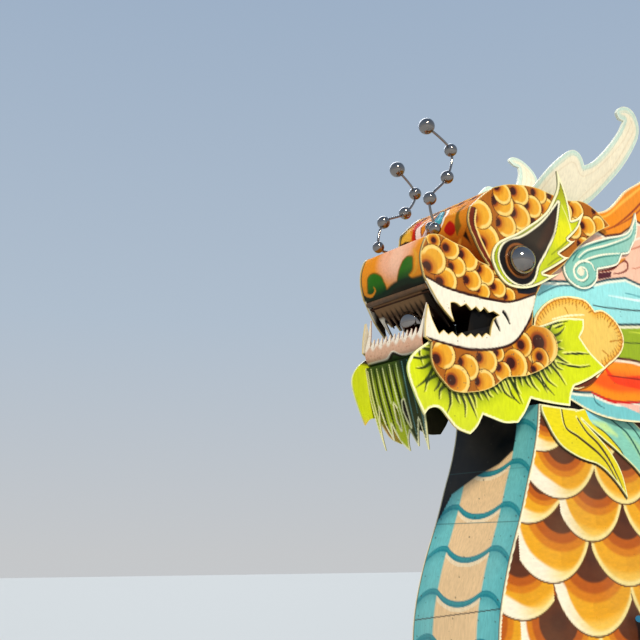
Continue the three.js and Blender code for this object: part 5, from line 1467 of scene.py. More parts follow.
def turned_piece(profile, centre, around=24, axis=2):
    """A body of revolution: each place of the profile is a radius and a height, turned about an axis."""
    profile = np.array(profile, float)
    turn = np.linspace(0, 2 * math.pi, around, endpoint=False)[None]
    rings = np.stack([profile[:, :1] * np.cos(turn), profile[:, :1] * np.sin(turn),
                      np.broadcast_to(profile[:, 1:], (len(profile), around))], -1)
    place, quads = ring_quads(len(profile), around)
    points = np.vstack([rings.reshape(-1, 3), (0, 0, profile[0, 1]), (0, 0, profile[-1, 1])])
    return np.roll(points, axis + 1, axis=1) + centre, [quads.reshape(-1, 4), end_caps(place)]


pearl_centre = (SNOUT - PEARL_AT[0], 0, PEARL_AT[2])
stem = [(STEM_RADIUS + 14, STEM_FOOT), (STEM_RADIUS + 14, STEM_FOOT + 4), (STEM_RADIUS + 3, STEM_FOOT + 8),
        (STEM_RADIUS, STEM_FOOT + 14), (STEM_RADIUS, PEARL_AT[2] - PEARL_RADIUS + 3)]
solids("pearl_polished", [ball(pearl_centre, PEARL_RADIUS), turned_piece(stem, (pearl_centre[0], 0, 0))],
       ball_steel, "polished_ball", "pearl")
solids("brow_ball_polished", [ball((SNOUT - BROW_BALL_AT[0], 0, BROW_BALL_AT[2]), BROW_BALL_RADIUS)],
       ball_steel, "polished_ball", "brow_ball")
for side, sign in SIDES:
    beads = np.array(WHISKERS[side], float)
    path = smooth(WHISKER_FOOT + [tuple(bead[:2]) for bead in beads], 10)
    rod = np.stack([SNOUT - path[:, 0], np.full(len(path), sign * WHISKER_SIDE), path[:, 1]], 1)
    shells = [tube(rod, WHISKER_ROD, 12)]
    shells += [ball((SNOUT - aft, sign * WHISKER_SIDE, up), radius) for aft, up, radius in beads]
    solids(f"whisker_{side}_polished", shells, ball_steel, "polished_ball", f"whisker_{side}")

# Hull and deck: steel plate on frames, rolled to smooth lines and welded. The topsides carry gold scales
# outlined in red under a red and white wave, and the deck is laid with planks.
HULL_LINES = [(-6300, 980, 820, 120, 20), (-5300, 1210, 1060, -40, -160), (-4000, 1370, 1230, -140, -330),
              (-2000, 1440, 1310, -180, -430), (500, 1450, 1310, -180, -450), (2500, 1390, 1190, -170, -440),
              (3900, 1110, 850, -130, -400), (4800, 700, 500, -90, -280), (5450, 265, 262, -60, -120)]
DECK = 620
ON_DECK = DECK + 0.3
SCALE_PITCH = 0.24
SCALE_REACH = 0.72
BOOT_TOP = 0.05
HATCH_MOUTH = (-5680, -5180, 260)
BAY = (-5680, -4600, 330, -50, 570)
stations = smooth(HULL_LINES, 24)


def lines_at(x):
    """Half width at the deck, half width at the chine, chine height and keel height at places along the
    boat."""
    return [np.interp(x, stations[:, 0], stations[:, i]) for i in (1, 2, 3, 4)]


def calc(tree, operation, a, b=None, c=None):
    """One sum on numbers or sockets."""
    values = {i: v for i, v in enumerate((a, b, c)) if v is not None}
    return add_node(tree, "ShaderNodeMath", {"operation": operation}, values).outputs["Value"]


def blend(tree, share, first, second):
    """A mix of two colours, each a hex code or a socket, by a share that is a number or a socket."""
    a, b = (v if isinstance(v, bpy.types.NodeSocket) else (*linear(v), 1) for v in (first, second))
    made = add_node(tree, "ShaderNodeMix", {"data_type": "RGBA"})
    for socket, value in zip((made.inputs[0], made.inputs[6], made.inputs[7]), (share, a, b)):
        if isinstance(value, bpy.types.NodeSocket):
            tree.links.new(value, socket)
        else:
            socket.default_value = value
    return made.outputs[2]


def pick(tree, share, a, b):
    """The number a where the share is 1 and b where it is 0."""
    return calc(tree, "ADD", calc(tree, "MULTIPLY", share, a),
                calc(tree, "MULTIPLY", calc(tree, "SUBTRACT", 1.0, share), b))


def reach_of(tree, a, b):
    """The length of a step of a and b: the root of the sum of their squares."""
    squares = [calc(tree, "MULTIPLY", side, side) for side in (a, b)]
    return calc(tree, "SQRT", calc(tree, "ADD", *squares))


def off_half(tree, value):
    """How far the part of a number after its point is from one half."""
    return calc(tree, "ABSOLUTE", calc(tree, "SUBTRACT", calc(tree, "FRACT", value), 0.5))


def step_up(tree, value, low, high):
    """0 under the low value and 1 over the high one, with an even slope between."""
    return carried(tree, value, low, high, 0.0, 1.0)


def object_place(tree):
    """The object's own place as three sockets and as one."""
    place = object_point(tree)
    split = add_node(tree, "ShaderNodeSeparateXYZ", inputs={"Vector": place})
    return place, split.outputs["X"], split.outputs["Y"], split.outputs["Z"]


def along_wall(tree, x, y, limit):
    """The way along a wall: x on the sides and y on the ends, told apart by which way the surface looks."""
    look = add_node(tree, "ShaderNodeSeparateXYZ", inputs={
        "Vector": add_node(tree, "ShaderNodeTexCoord").outputs["Normal"]}).outputs["X"]
    return pick(tree, calc(tree, "GREATER_THAN", calc(tree, "ABSOLUTE", look), limit), y, x)


def scale_field(tree, u, v, pitch):
    """Overlapping round scales: how far a place is from the middle of the scale that covers it, as a share of
    its radius. Middles lie in rows half a pitch apart, and a higher row covers a lower one."""
    half = pitch / 2
    row = calc(tree, "FLOOR", calc(tree, "DIVIDE", v, half))
    far = []
    for up in (1, 2):
        number = calc(tree, "ABSOLUTE", calc(tree, "ADD", row, up))
        odd = calc(tree, "MULTIPLY", calc(tree, "MODULO", number, 2.0), half)
        across = calc(tree, "SUBTRACT", calc(tree, "WRAP", calc(tree, "ADD", u, odd), pitch, 0.0), half)
        above = calc(tree, "SUBTRACT", calc(tree, "MULTIPLY", calc(tree, "ADD", row, up), half), v)
        far.append(calc(tree, "DIVIDE", reach_of(tree, across, above), pitch * SCALE_REACH))
    return pick(tree, calc(tree, "LESS_THAN", far[1], 1.0), far[1], far[0])


def weathered(tree, shader, place, colour, rough=0.35, grime=0.3, streaks=(9, 9, 1.2)):
    """Runs of dirt down a surface and dull patches: noise stretched along the fall of the water, then
    speckle."""
    run = noise(tree, stretched(tree, place, streaks), 1.6, 6.0)
    patch = noise(tree, place, 5.0, 5.0)
    fine = noise(tree, place, 70.0, 2.0)
    dirty = blend(tree, calc(tree, "MULTIPLY", step_up(tree, run, 0.5, 0.75), grime), colour, 0x54402C)
    spotted = blend(tree, calc(tree, "MULTIPLY", step_up(tree, fine, 0.7, 0.76), 0.5), dirty, 0x2A1C12)
    tree.links.new(spotted, shader.inputs["Base Color"])
    tree.links.new(carried(tree, patch, 0.3, 0.7, rough - 0.07, rough + 0.2), shader.inputs["Roughness"])
    shader.inputs["Specular IOR Level"].default_value = 0.4
    raise_surface(tree, shader, patch, 0.25, 0.002)


def scale_colour(tree, field, ground=0xB4160E):
    """Gold scales by the distance from their middle: amber, gold, a pale rim and a dark red outline."""
    colour = blend(tree, step_up(tree, field, 0.36, 0.44), 0xB05A10, 0xE79A1C)
    colour = blend(tree, step_up(tree, field, 0.62, 0.72), colour, 0xF4BE3C)
    colour = blend(tree, step_up(tree, field, 0.78, 0.82), colour, 0xFBE9B0)
    return blend(tree, step_up(tree, field, 0.90, 0.92), colour, ground)


def coat(name, code, second, rough=0.4, grime=0.3, size=3.0, streaks=(9, 9, 1.2)):
    """Plain coat of paint: two near colours in soft patches, with dirt and dull spots."""
    made, tree, shader = bare_material(name)
    place = object_point(tree)
    cloud = step_up(tree, noise(tree, place, size, 6.0), 0.35, 0.7)
    weathered(tree, shader, place, blend(tree, cloud, code, second), rough, grime, streaks)
    return made


hull_look, hull_tree, hull_shader = bare_material("hull_scales")
hull_place, hull_x, hull_y, hull_z = object_place(hull_tree)
hull_along = along_wall(hull_tree, hull_x, hull_y, 0.9)
topside = scale_colour(hull_tree, scale_field(hull_tree, hull_along, hull_z, SCALE_PITCH))
swing = calc(hull_tree, "SINE", calc(hull_tree, "MULTIPLY", hull_along, 9.0))
wave = calc(hull_tree, "MULTIPLY", swing, 0.022)
over_wave = calc(hull_tree, "SUBTRACT", hull_z, calc(hull_tree, "ADD", wave, 0.40))
topside = blend(hull_tree, step_up(hull_tree, over_wave, 0.0, 0.006), topside, 0xFBF3E0)
topside = blend(hull_tree, step_up(hull_tree, over_wave, 0.026, 0.032), topside, 0x2C8A92)
topside = blend(hull_tree, step_up(hull_tree, over_wave, 0.056, 0.062), topside, 0xA01812)
topside = blend(hull_tree, step_up(hull_tree, hull_z, BOOT_TOP, BOOT_TOP + 0.004), 0x141414, topside)
topside = blend(hull_tree, step_up(hull_tree, hull_z, -0.02, 0.0), 0x4A1C16, topside)
weathered(hull_tree, hull_shader, hull_place, topside)

deck_look, deck_tree, deck_shader = bare_material("deck_planks")
deck_place, deck_x, deck_y, _ = object_place(deck_tree)
board = calc(deck_tree, "DIVIDE", deck_y, 0.105)
seam = off_half(deck_tree, board)
own = add_node(deck_tree, "ShaderNodeTexWhiteNoise", {"noise_dimensions": "1D"},
               {"W": calc(deck_tree, "FLOOR", board)}).outputs["Value"]
butt = off_half(deck_tree, calc(deck_tree, "ADD", calc(deck_tree, "DIVIDE", deck_x, 1.9),
                                calc(deck_tree, "MULTIPLY", own, 7.0)))
grain = noise(deck_tree, stretched(deck_tree, deck_place, (2, 40, 8)), 3.0, 8.0)
planks = blend(deck_tree, own, 0x8A5A34, 0xA87646)
planks = blend(deck_tree, step_up(deck_tree, grain, 0.45, 0.7), planks, 0x5E3A20)
planks = blend(deck_tree, step_up(deck_tree, seam, 0.455, 0.475), planks, 0x14110E)
planks = blend(deck_tree, step_up(deck_tree, butt, 0.4975, 0.4985), planks, 0x14110E)
weathered(deck_tree, deck_shader, deck_place, planks, 0.5, 0.3, (3, 3, 3))

hull_x_places = np.unique(np.concatenate([np.linspace(stations[0, 0], stations[-1, 0], 260), stations[:, 0],
                                          HATCH_MOUTH[:2], BAY[:2]]))
deck_half, chine_half, chine_up, keel_up = lines_at(hull_x_places)
share = np.linspace(0, 1, 9)[None]
low_half = chine_half[:, None] * share
low_up = keel_up[:, None] + (chine_up - keel_up)[:, None] * share
side_half = chine_half[:, None] + (deck_half - chine_half)[:, None] * share[:, 1:]
side_up = chine_up[:, None] + (DECK - chine_up)[:, None] * share[:, 1:]
half_section = np.concatenate([np.stack([low_half, low_up], -1), np.stack([side_half, side_up], -1)], 1)
mouth_line = np.full((len(hull_x_places), 1, 2), (HATCH_MOUTH[2], DECK))
section = np.concatenate([mouth_line, half_section[:, ::-1], half_section[:, 1:] * (-1, 1),
                          mouth_line * (-1, 1)], 1)
skin = np.concatenate([np.broadcast_to(hull_x_places[:, None, None], (*section.shape[:2], 1)), section], -1)
place, quads = ring_quads(*skin.shape[:2])
middle = (hull_x_places[1:] + hull_x_places[:-1]) / 2
over_mouth = (middle > HATCH_MOUTH[0]) & (middle < HATCH_MOUTH[1])
hull_quads = [quads[:, :-1].reshape(-1, 4), quads[~over_mouth, -1]]

bay_x = hull_x_places[(hull_x_places >= BAY[0]) & (hull_x_places <= BAY[1])]
bay_section = [(HATCH_MOUTH[2], DECK), (HATCH_MOUTH[2], BAY[4]), (BAY[2], BAY[4]), (BAY[2], BAY[3]),
               (-BAY[2], BAY[3]), (-BAY[2], BAY[4]), (-HATCH_MOUTH[2], BAY[4]), (-HATCH_MOUTH[2], DECK)]
bay_points = np.array([[(x, y, z) for y, z in bay_section] for x in bay_x])
bay = np.arange(bay_points.size // 3).reshape(-1, 8) + skin.size // 3
mouth_end = int(np.searchsorted(bay_x, HATCH_MOUTH[1]))
walls = np.stack([bay[:-1, :-1], bay[1:, :-1], bay[1:, 1:], bay[:-1, 1:]], -1)
lid_side = np.stack([bay[:-1, 6], bay[1:, 6], bay[1:, 1], bay[:-1, 1]], -1)
bay_quads = [walls[:, 1:6].reshape(-1, 4), walls[:mouth_end, ::6].reshape(-1, 4), lid_side[mouth_end:],
             np.array([bay[0, [0, 1, 6, 7]], bay[mouth_end, [0, 1, 6, 7]]])]
hull_points = np.vstack([skin.reshape(-1, 3), bay_points.reshape(-1, 3)])
hull_mesh = mesh_from("hull_skin", hull_points * MM, *hull_quads, end_fans(place), *bay_quads,
                      bay[[0, -1], 1:7])
whole = bmesh.new()
whole.from_mesh(hull_mesh)
bmesh.ops.remove_doubles(whole, verts=whole.verts, dist=1e-5)
bmesh.ops.delete(whole, geom=[v for v in whole.verts if not v.link_faces], context="VERTS")
bmesh.ops.recalc_face_normals(whole, faces=whole.faces)
whole.to_mesh(hull_mesh)
whole.free()
set_up("hull_skin", hull_mesh, hull_look, "hull_paint", "hull")
bilge_grey = coat("bilge_grey", 0x6C7276, 0x4E5458, 0.5, 0.6, 6.0)
hull_mesh.materials.append(deck_look)
hull_mesh.materials.append(bilge_grey)
turns, centres = np.zeros(len(hull_mesh.polygons) * 3), np.zeros(len(hull_mesh.polygons) * 3)
hull_mesh.polygons.foreach_get("normal", turns)
hull_mesh.polygons.foreach_get("center", centres)
turns, centres = turns.reshape(-1, 3), centres.reshape(-1, 3) / MM
in_bay = ((centres[:, 0] > BAY[0] - 1) & (centres[:, 0] < BAY[1] + 1) & (np.abs(centres[:, 1]) < BAY[2] + 1)
          & (centres[:, 2] > BAY[3] - 1) & (centres[:, 2] < DECK - 1))
hull_mesh.polygons.foreach_set("material_index", np.where(in_bay, 2, turns[:, 2] > 0.9).astype(np.int32))

# Bulwarks, rubbing strakes and skeg: plate that stands on the deck edge under a rolled cap, with stanchions
# inside. A half round of black rubber is bolted along the deck edge.
BOX_CORNERS = np.array([[i & 1, i >> 1 & 1, i >> 2] for i in range(8)]) * 2 - 1
SHEER = [(-6290, 960), (-4600, 830), (-1500, 770), (1500, 780), (3400, 900), (4600, 1060), (5380, 1230)]


def sweep(lines):
    """A closed shell from lines of equal length that run along a bar, one for each corner of its section."""
    grid = np.stack(lines, 1)
    place, quads = ring_quads(*grid.shape[:2])
    return grid.reshape(-1, 3), [quads.reshape(-1, 4), end_fans(place)]


def along_edge(x, out, up):
    """A line along the boat at a distance out from the deck edge and at a height."""
    return np.stack([x, lines_at(x)[0] + out, np.broadcast_to(up, x.shape)], 1)


def blocks(low, high, ease=3.0):
    """Boxes with eased edges: each corner becomes three points, one on each of its faces. Gives one shell of
    points and faces for each box."""
    low, high = np.broadcast_arrays(np.atleast_2d(low).astype(float), np.atleast_2d(high).astype(float))
    full = np.eye(3)
    out = []
    for a, b in zip(low, high):
        middle, half = (a + b) / 2, np.abs(b - a) / 2
        soft = min(ease, half.min() * 0.6)
        points = middle + (BOX_CORNERS[:, None] * (half - soft * (1 - full)[None])).reshape(-1, 3)
        out.append((points, BLOCK_FACES))
    return out


def block_faces():
    """The faces of an eased box, turned outwards: six quads, twelve edge quads and eight corner triangles."""
    spots = (BOX_CORNERS[:, None] * (1 + np.eye(3)[None])).reshape(-1, 3)
    quads = []
    for k in range(3):
        for bit in (0, 1):
            held = [c for c in range(8) if (c >> k & 1) == bit]
            quads.append([held[0] * 3 + k, held[1] * 3 + k, held[3] * 3 + k, held[2] * 3 + k])
        a, b = (k + 1) % 3, (k + 2) % 3
        for c in range(8):
            if not c >> k & 1:
                d = c | 1 << k
                quads.append([c * 3 + a, d * 3 + a, d * 3 + b, c * 3 + b])
    corners = [[c * 3, c * 3 + 1, c * 3 + 2] for c in range(8)]
    groups = []
    for group in (np.array(quads), np.array(corners)):
        p = spots[group]
        normal = np.cross(p[:, 1] - p[:, 0], p[:, 2] - p[:, 0])
        inward = (normal * p.mean(1)).sum(1) < 0
        group[inward] = group[inward][:, ::-1]
        groups.append(group)
    return groups


def bars(starts, ends, radius, around=10):
    """Round bars between pairs of points."""
    return [tube([a, (np.array(a) + b) / 2, b], radius, around, side=(0.31, 0.9, 0.2) if abs(b[1] - a[1]) < 1
                 else (0.9, 0.2, 0.31)) for a, b in zip(np.array(starts, float), np.array(ends, float))]


def mirrored(shells, sign):
    """The shells, or their mirror image over the centreline."""
    return [(points * (1, sign, 1), groups) for points, groups in shells]


BLOCK_FACES = block_faces()
blue_coat = coat("blue_coat", 0x2E86B8, 0x4FA3CC)
rubber = coat("rubber", 0x16171A, 0x26272A, 0.6, 0.4, 6.0)
wall_x = np.linspace(SHEER[0][0], SHEER[-1][0], 200)
sheer_line = smooth(SHEER, 20)
wall_top = np.interp(wall_x, *sheer_line.T) - 14
wall = sweep([along_edge(wall_x, -5, ON_DECK), along_edge(wall_x, -5, wall_top),
              along_edge(wall_x, -17, wall_top), along_edge(wall_x, -17, ON_DECK)])
turn = np.linspace(0, 2 * math.pi, 13)[:-1]
cap = sweep([along_edge(wall_x, -25 + 20 * math.cos(a), wall_top - 2 + 15 * math.sin(a)) for a in turn])
stripe = sweep([along_edge(wall_x, out, wall_top - 60 + up)
                for out, up in ((-5, -16), (0, -12), (0, 12), (-5, 16))])
stay_x = np.arange(-6100, 5200, 400.0)
stay_half, stay_top = lines_at(stay_x)[0], np.interp(stay_x, *sheer_line.T)
stays = blocks(np.stack([stay_x - 6, stay_half - 45, np.full(len(stay_x), ON_DECK)], 1),
               np.stack([stay_x + 6, stay_half - 15, stay_top - 24], 1))
strake_x = np.linspace(-6300, 5300, 200)
strake = sweep([along_edge(strake_x, 0.3 + 49 * out, 580 + 39 * up) for out, up in
                ((0, -1), (0.5, -0.92), (0.85, -0.55), (1, 0), (0.85, 0.55), (0.5, 0.92), (0, 1))])
bolt_x = np.arange(-6150, 5250, 300.0)
bolts = [turned_piece([(9, 0), (9, 4), (6, 7)], (x, y + 47, 580), 8, 1)
         for x, y in zip(bolt_x, lines_at(bolt_x)[0])]
for side, sign in SIDES:
    solids(f"bulwark_{side}_plate", mirrored([wall, cap, stripe] + stays, sign), blue_coat, "blue_paint",
           f"bulwark_{side}")
    solids(f"rubbing_strake_{side}_round", mirrored([strake] + bolts, sign), rubber, "black_rubber",
           f"rubbing_strake_{side}")


def dress(look, *names):
    """Gives CAD nodes that are carried over a look of their own."""
    for name in names:
        nodes[name].data.materials.clear()
        nodes[name].data.materials.append(look)


hull_black = coat("hull_black", 0x1A1716, 0x2E221C, 0.5, 0.5, 7.0)
dress(hull_black, "skeg", "rudder")

# Cabin walls and bulkheads: plywood on a frame, painted, with sawn window openings. Cream frames are planted
# round each opening, and grey glass stands in them between glazing bars. Raised fields line the lower wall.
WALL_OUT, WALL_IN, WALL_LOW, WALL_TOP = 1220, 1180, 620.3, 2549.7
WALL_AFT, WALL_FRONT = -4400, 1400
FIELD_LOW, FIELD_TOP = 760, 1270
WINDOW = {"wide": 780, "low": 1380, "high": 2180, "pitch": 950, "first": -3875, "count": 6}
FRAME_WIDE, FRAME_PROUD = 45, 14


def glass_look(name, tint):
    """Window glass seen from outside by day: dark, mirror-like, with dust thicker in patches."""
    made, tree, shader = bare_material(name)
    dust = noise(tree, object_point(tree), 6.0, 7.0)
    shade = blend(tree, step_up(tree, dust, 0.4, 0.9), tint, 0x364247)
    tree.links.new(shade, shader.inputs["Base Color"])
    tree.links.new(carried(tree, dust, 0.0, 1.0, 0.02, 0.12), shader.inputs["Roughness"])
    shader.inputs["Metallic"].default_value = 0.15
    return made


def window_trim(a0, a1, low, high):
    """Frame, sill and glazing bars of one opening, as boxes of along, out and up: out is from the wall's
    face."""
    w, p = FRAME_WIDE, FRAME_PROUD
    middle = (a0 + a1) / 2
    return [(a0 - w, -6, low - w, a0 + 4, p, high + w), (a1 - 4, -6, low - w, a1 + w, p, high + w),
            (a0, -6, high - 4, a1, p, high + w), (a0 - w - 14, -6, low - w, a1 + w + 14, p + 16, low + 4),
            (middle - 11, -30, low, middle + 11, -4, high), (a0, -29, low + 560, a1, -5, low + 582)]


def framed_field(a0, a1, low, high):
    """A raised field with a moulding round it, as boxes of along, out and up."""
    return [(a0, -1, low, a1, 7, low + 26), (a0, -1, high - 26, a1, 7, high),
            (a0, -1, low + 26, a0 + 26, 7, high - 26), (a1 - 26, -1, low + 26, a1, 7, high - 26),
            (a0 + 46, -1, low + 46, a1 - 46, 5, high - 46)]


def as_blocks(boxes, place):
    """Boxes of along, out and up put in place by a rule for where those three run."""
    out = []
    for a0, o0, u0, a1, o1, u1 in boxes:
        p, q = place(a0, o0, u0), place(a1, o1, u1)
        out += blocks(np.minimum(p, q), np.maximum(p, q))
    return out


def wall_plate(rings, place, outer, inner, pitch=110):
    """A flat wall with its openings as a closed shell."""
    cut = cut_sheet([even(ring, pitch) for ring in rings], pitch, pitch)
    points = np.vstack([place(cut["front"], outer), place(cut["back"], inner)])
    return points, [cut["faces"], cut["back_faces"], cut["walls"]]


wall_coat = coat("wall_coat", 0x2F8F92, 0x46A8A2, 0.4, 0.3)
cream_coat = coat("cream_coat", 0xF2E4C4, 0xE6D2A6, 0.42, 0.25)
glass = glass_look("window_glass", 0x1E2A30)
window_a = [WINDOW["first"] + WINDOW["pitch"] * i for i in range(WINDOW["count"])]
half_wide = WINDOW["wide"] / 2
for side, sign in SIDES:
    def off_wall(along, out, up, sign=sign):
        """A place along the wall, out from its face and up."""
        return np.array([along, sign * (WALL_OUT + out), up], float)

    def on_wall(flat, out, sign=sign):
        """A flat outline's points on the wall, at a distance out from its face."""
        return np.stack([flat[:, 0], sign * (WALL_OUT + np.full(len(flat), float(out))), flat[:, 1]], 1)

    rings = [np.array([(WALL_AFT, WALL_LOW), (WALL_FRONT, WALL_LOW), (WALL_FRONT, WALL_TOP),
                       (WALL_AFT, WALL_TOP)], float)]
    rings += [np.array([(a - half_wide, WINDOW["low"]), (a - half_wide, WINDOW["high"]),
                        (a + half_wide, WINDOW["high"]), (a + half_wide, WINDOW["low"])], float)
              for a in window_a]
    solids(f"cabin_wall_{side}_plate", [wall_plate(rings, on_wall, 0, -40)], wall_coat, "white_paint",
           f"cabin_wall_{side}")
    trim, panes = [], []
    for a in window_a:
        trim += window_trim(a - half_wide, a + half_wide, WINDOW["low"], WINDOW["high"])
        trim += framed_field(a - half_wide, a + half_wide, FIELD_LOW, FIELD_TOP)
        panes += [(a - half_wide, -22, WINDOW["low"], a + half_wide, -16, WINDOW["high"])]
    trim += [(WALL_AFT, -1, 2270, WALL_FRONT, 10, 2310), (WALL_AFT, -1, 640, WALL_FRONT, 12, 700)]
    solids(f"cabin_trim_{side}", as_blocks(trim, off_wall), cream_coat, "cream_paint")
    solids(f"cabin_glass_{side}", as_blocks(panes, off_wall), glass, "black_rubber")

KNUCKLE_LOW, KNUCKLE_LONG, KNUCKLE_RADIUS, KNUCKLE_REACH, PIN_OUT = (900, 2100), 50, 9, 25, 10
BULKHEADS = (("front_bulkhead", WALL_FRONT, 1, 605, 320, (602.5, -602.5)),
             ("aft_bulkhead", WALL_AFT, -1, 357.5, 500, (355,)))
door_steel = steel("door_steel", (0.62, 0.62, 0.62), 0.22)
for name, face, facing, half_door, wide, hinges in BULKHEADS:
    def on_bulkhead(flat, out, face=face, facing=facing):
        """A flat outline's points on the bulkhead, at a distance out from its face."""
        return np.stack([face + facing * np.full(len(flat), float(out)), flat[:, 0], flat[:, 1]], 1)

    def off_bulkhead(along, out, up, face=face, facing=facing):
        """A place across the bulkhead, out from its face and up."""
        return np.array([face + facing * out, along, up], float)

    half = WALL_IN - 0.3
    middle = (half + half_door) / 2
    rings = [np.array([(-half, WALL_LOW), (half, WALL_LOW), (half, WALL_TOP), (-half, WALL_TOP)], float),
             np.array([(-half_door, 655), (-half_door, 2440), (half_door, 2440), (half_door, 655)], float)]
    trim, panes = [], []
    for sign in (1, -1):
        a0, a1 = sorted((sign * (middle - wide / 2), sign * (middle + wide / 2)))
        low, high = WINDOW["low"], WINDOW["high"]
        rings.append(np.array([(a0, low), (a0, high), (a1, high), (a1, low)], float))
        trim += window_trim(a0, a1, low, high) + framed_field(a0, a1, FIELD_LOW, FIELD_TOP)
        panes.append((a0, -22, low, a1, -16, high))
    solids(name + "_plate", [wall_plate(rings, on_bulkhead, 0, -40)], wall_coat, "white_paint", name)
    solids(name + "_trim", as_blocks(trim, off_bulkhead), cream_coat, "cream_paint")
    solids(name + "_glass", as_blocks(panes, off_bulkhead), glass, "black_rubber")
    knuckles = []
    for hinge in hinges:
        axis, reach = face + facing * PIN_OUT, math.copysign(KNUCKLE_REACH, hinge)
        for low in KNUCKLE_LOW:
            bottom = low + KNUCKLE_LONG + 0.3
            knuckles.append(turned_piece([(KNUCKLE_RADIUS, bottom), (KNUCKLE_RADIUS, low + 2 * KNUCKLE_LONG)],
                                         (axis, hinge, 0), 16))
            corners = np.sort([[face - facing, hinge], [axis, hinge + reach]], axis=0)
            knuckles += blocks((*corners[0], bottom), (*corners[1], low + 2 * KNUCKLE_LONG))
    solids(name + "_hinges", knuckles, door_steel, "stainless")

# Head core and mouth lining: a boxed frame inside the head, sheathed in ply. Where the mouth shows it, it is
# painted black as the shade inside the head, and its back and top are combed in teal strands between the
# manes.
# Black boards line the jaw inside the mouth as painted shade.
core_look, core_tree, core_shader = bare_material("core_paint")
core_place, core_x, core_y, core_z = object_place(core_tree)
sway = calc(core_tree, "MULTIPLY", calc(core_tree, "SINE", calc(core_tree, "MULTIPLY", calc(
    core_tree, "ADD", core_x, core_z), 8.0)), 0.02)
strand = calc(core_tree, "PINGPONG", calc(core_tree, "ADD", core_y, sway), 0.032)
hair = blend(core_tree, step_up(core_tree, strand, 0.002, 0.024), 0x8AD0CC, 0x1E7C88)
hair = blend(core_tree, step_up(core_tree, strand, 0.005, 0.003), hair, 0xF4EED2)
hair = blend(core_tree, step_up(core_tree, strand, 0.027, 0.029), hair, 0x0E343C)
# Painted shade: black at the front and low down, teal strands aft and on top.
nape = calc(core_tree, "MAXIMUM", step_up(core_tree, core_x, 5.5, 5.46),
            step_up(core_tree, core_z, 3.05, 3.07))
weathered(core_tree, core_shader, core_place, blend(core_tree, nape, 0x0B0A0A, hair), 0.5, 0.3)
core_shader.inputs["Specular IOR Level"].default_value = 0.12
dress(core_look, "head_core")
lining_rings = [even(np.array([(230, 2330), (660, 2300), (655, 2640), (300, 2620)], float), 60)]
lining_cut = cut_sheet(lining_rings, 60, 60)
lip = bars([(SNOUT - 36, -202, 2633)], [(SNOUT - 36, 202, 2633)], 13, 16)
solids("upper_lip_bead", lip, coat("gum_brown", 0x4E3620, 0x6A4A2C, 0.5, 0.5, 20.0), "pink_paint")
# Painted shade: the mouth linings are near black on both faces.
for side, sign in SIDES:
    sheet_piece(f"mouth_lining_{side}", [(lining_cut, on_head, -26.0, -31.0,
                                          Paint(lining_cut["front"], 0x0D0B0B),
                                          Paint(lining_cut["back"], 0x0D0B0B))], core_look, "black_paint",
                sign=sign)

# Doors: framed leaves of varnished hardwood with glazed upper parts. Each hangs on two steel knuckles whose
# pins stand clear of the wall, so that it swings right back.
LEAF, STILE, DOOR_LOW, DOOR_TOP = 35, 70, 660, 2435


def wood_look(name, light, dark, run=(1.5, 14, 14), rough=0.38):
    """Varnished wood: grain as noise drawn out along the boards, darker rings in it, and worn varnish."""
    made, tree, shader = bare_material(name)
    place = add_node(tree, "ShaderNodeTexCoord").outputs["Object"]
    along = add_node(tree, "ShaderNodeMapping", inputs={"Vector": place, "Scale": run}).outputs["Vector"]
    grain = add_node(tree, "ShaderNodeTexNoise", inputs={"Vector": along, "Scale": 3.0, "Detail": 9.0,
                                                         "Distortion": 0.6}).outputs["Fac"]
    rings = calc(tree, "PINGPONG", calc(tree, "MULTIPLY", grain, 9.0), 1.0)
    colour = blend(tree, step_up(tree, grain, 0.35, 0.7), light, dark)
    weathered(tree, shader, place, blend(tree, calc(tree, "MULTIPLY", rings, 0.3), colour, dark), rough, 0.2)
    return made


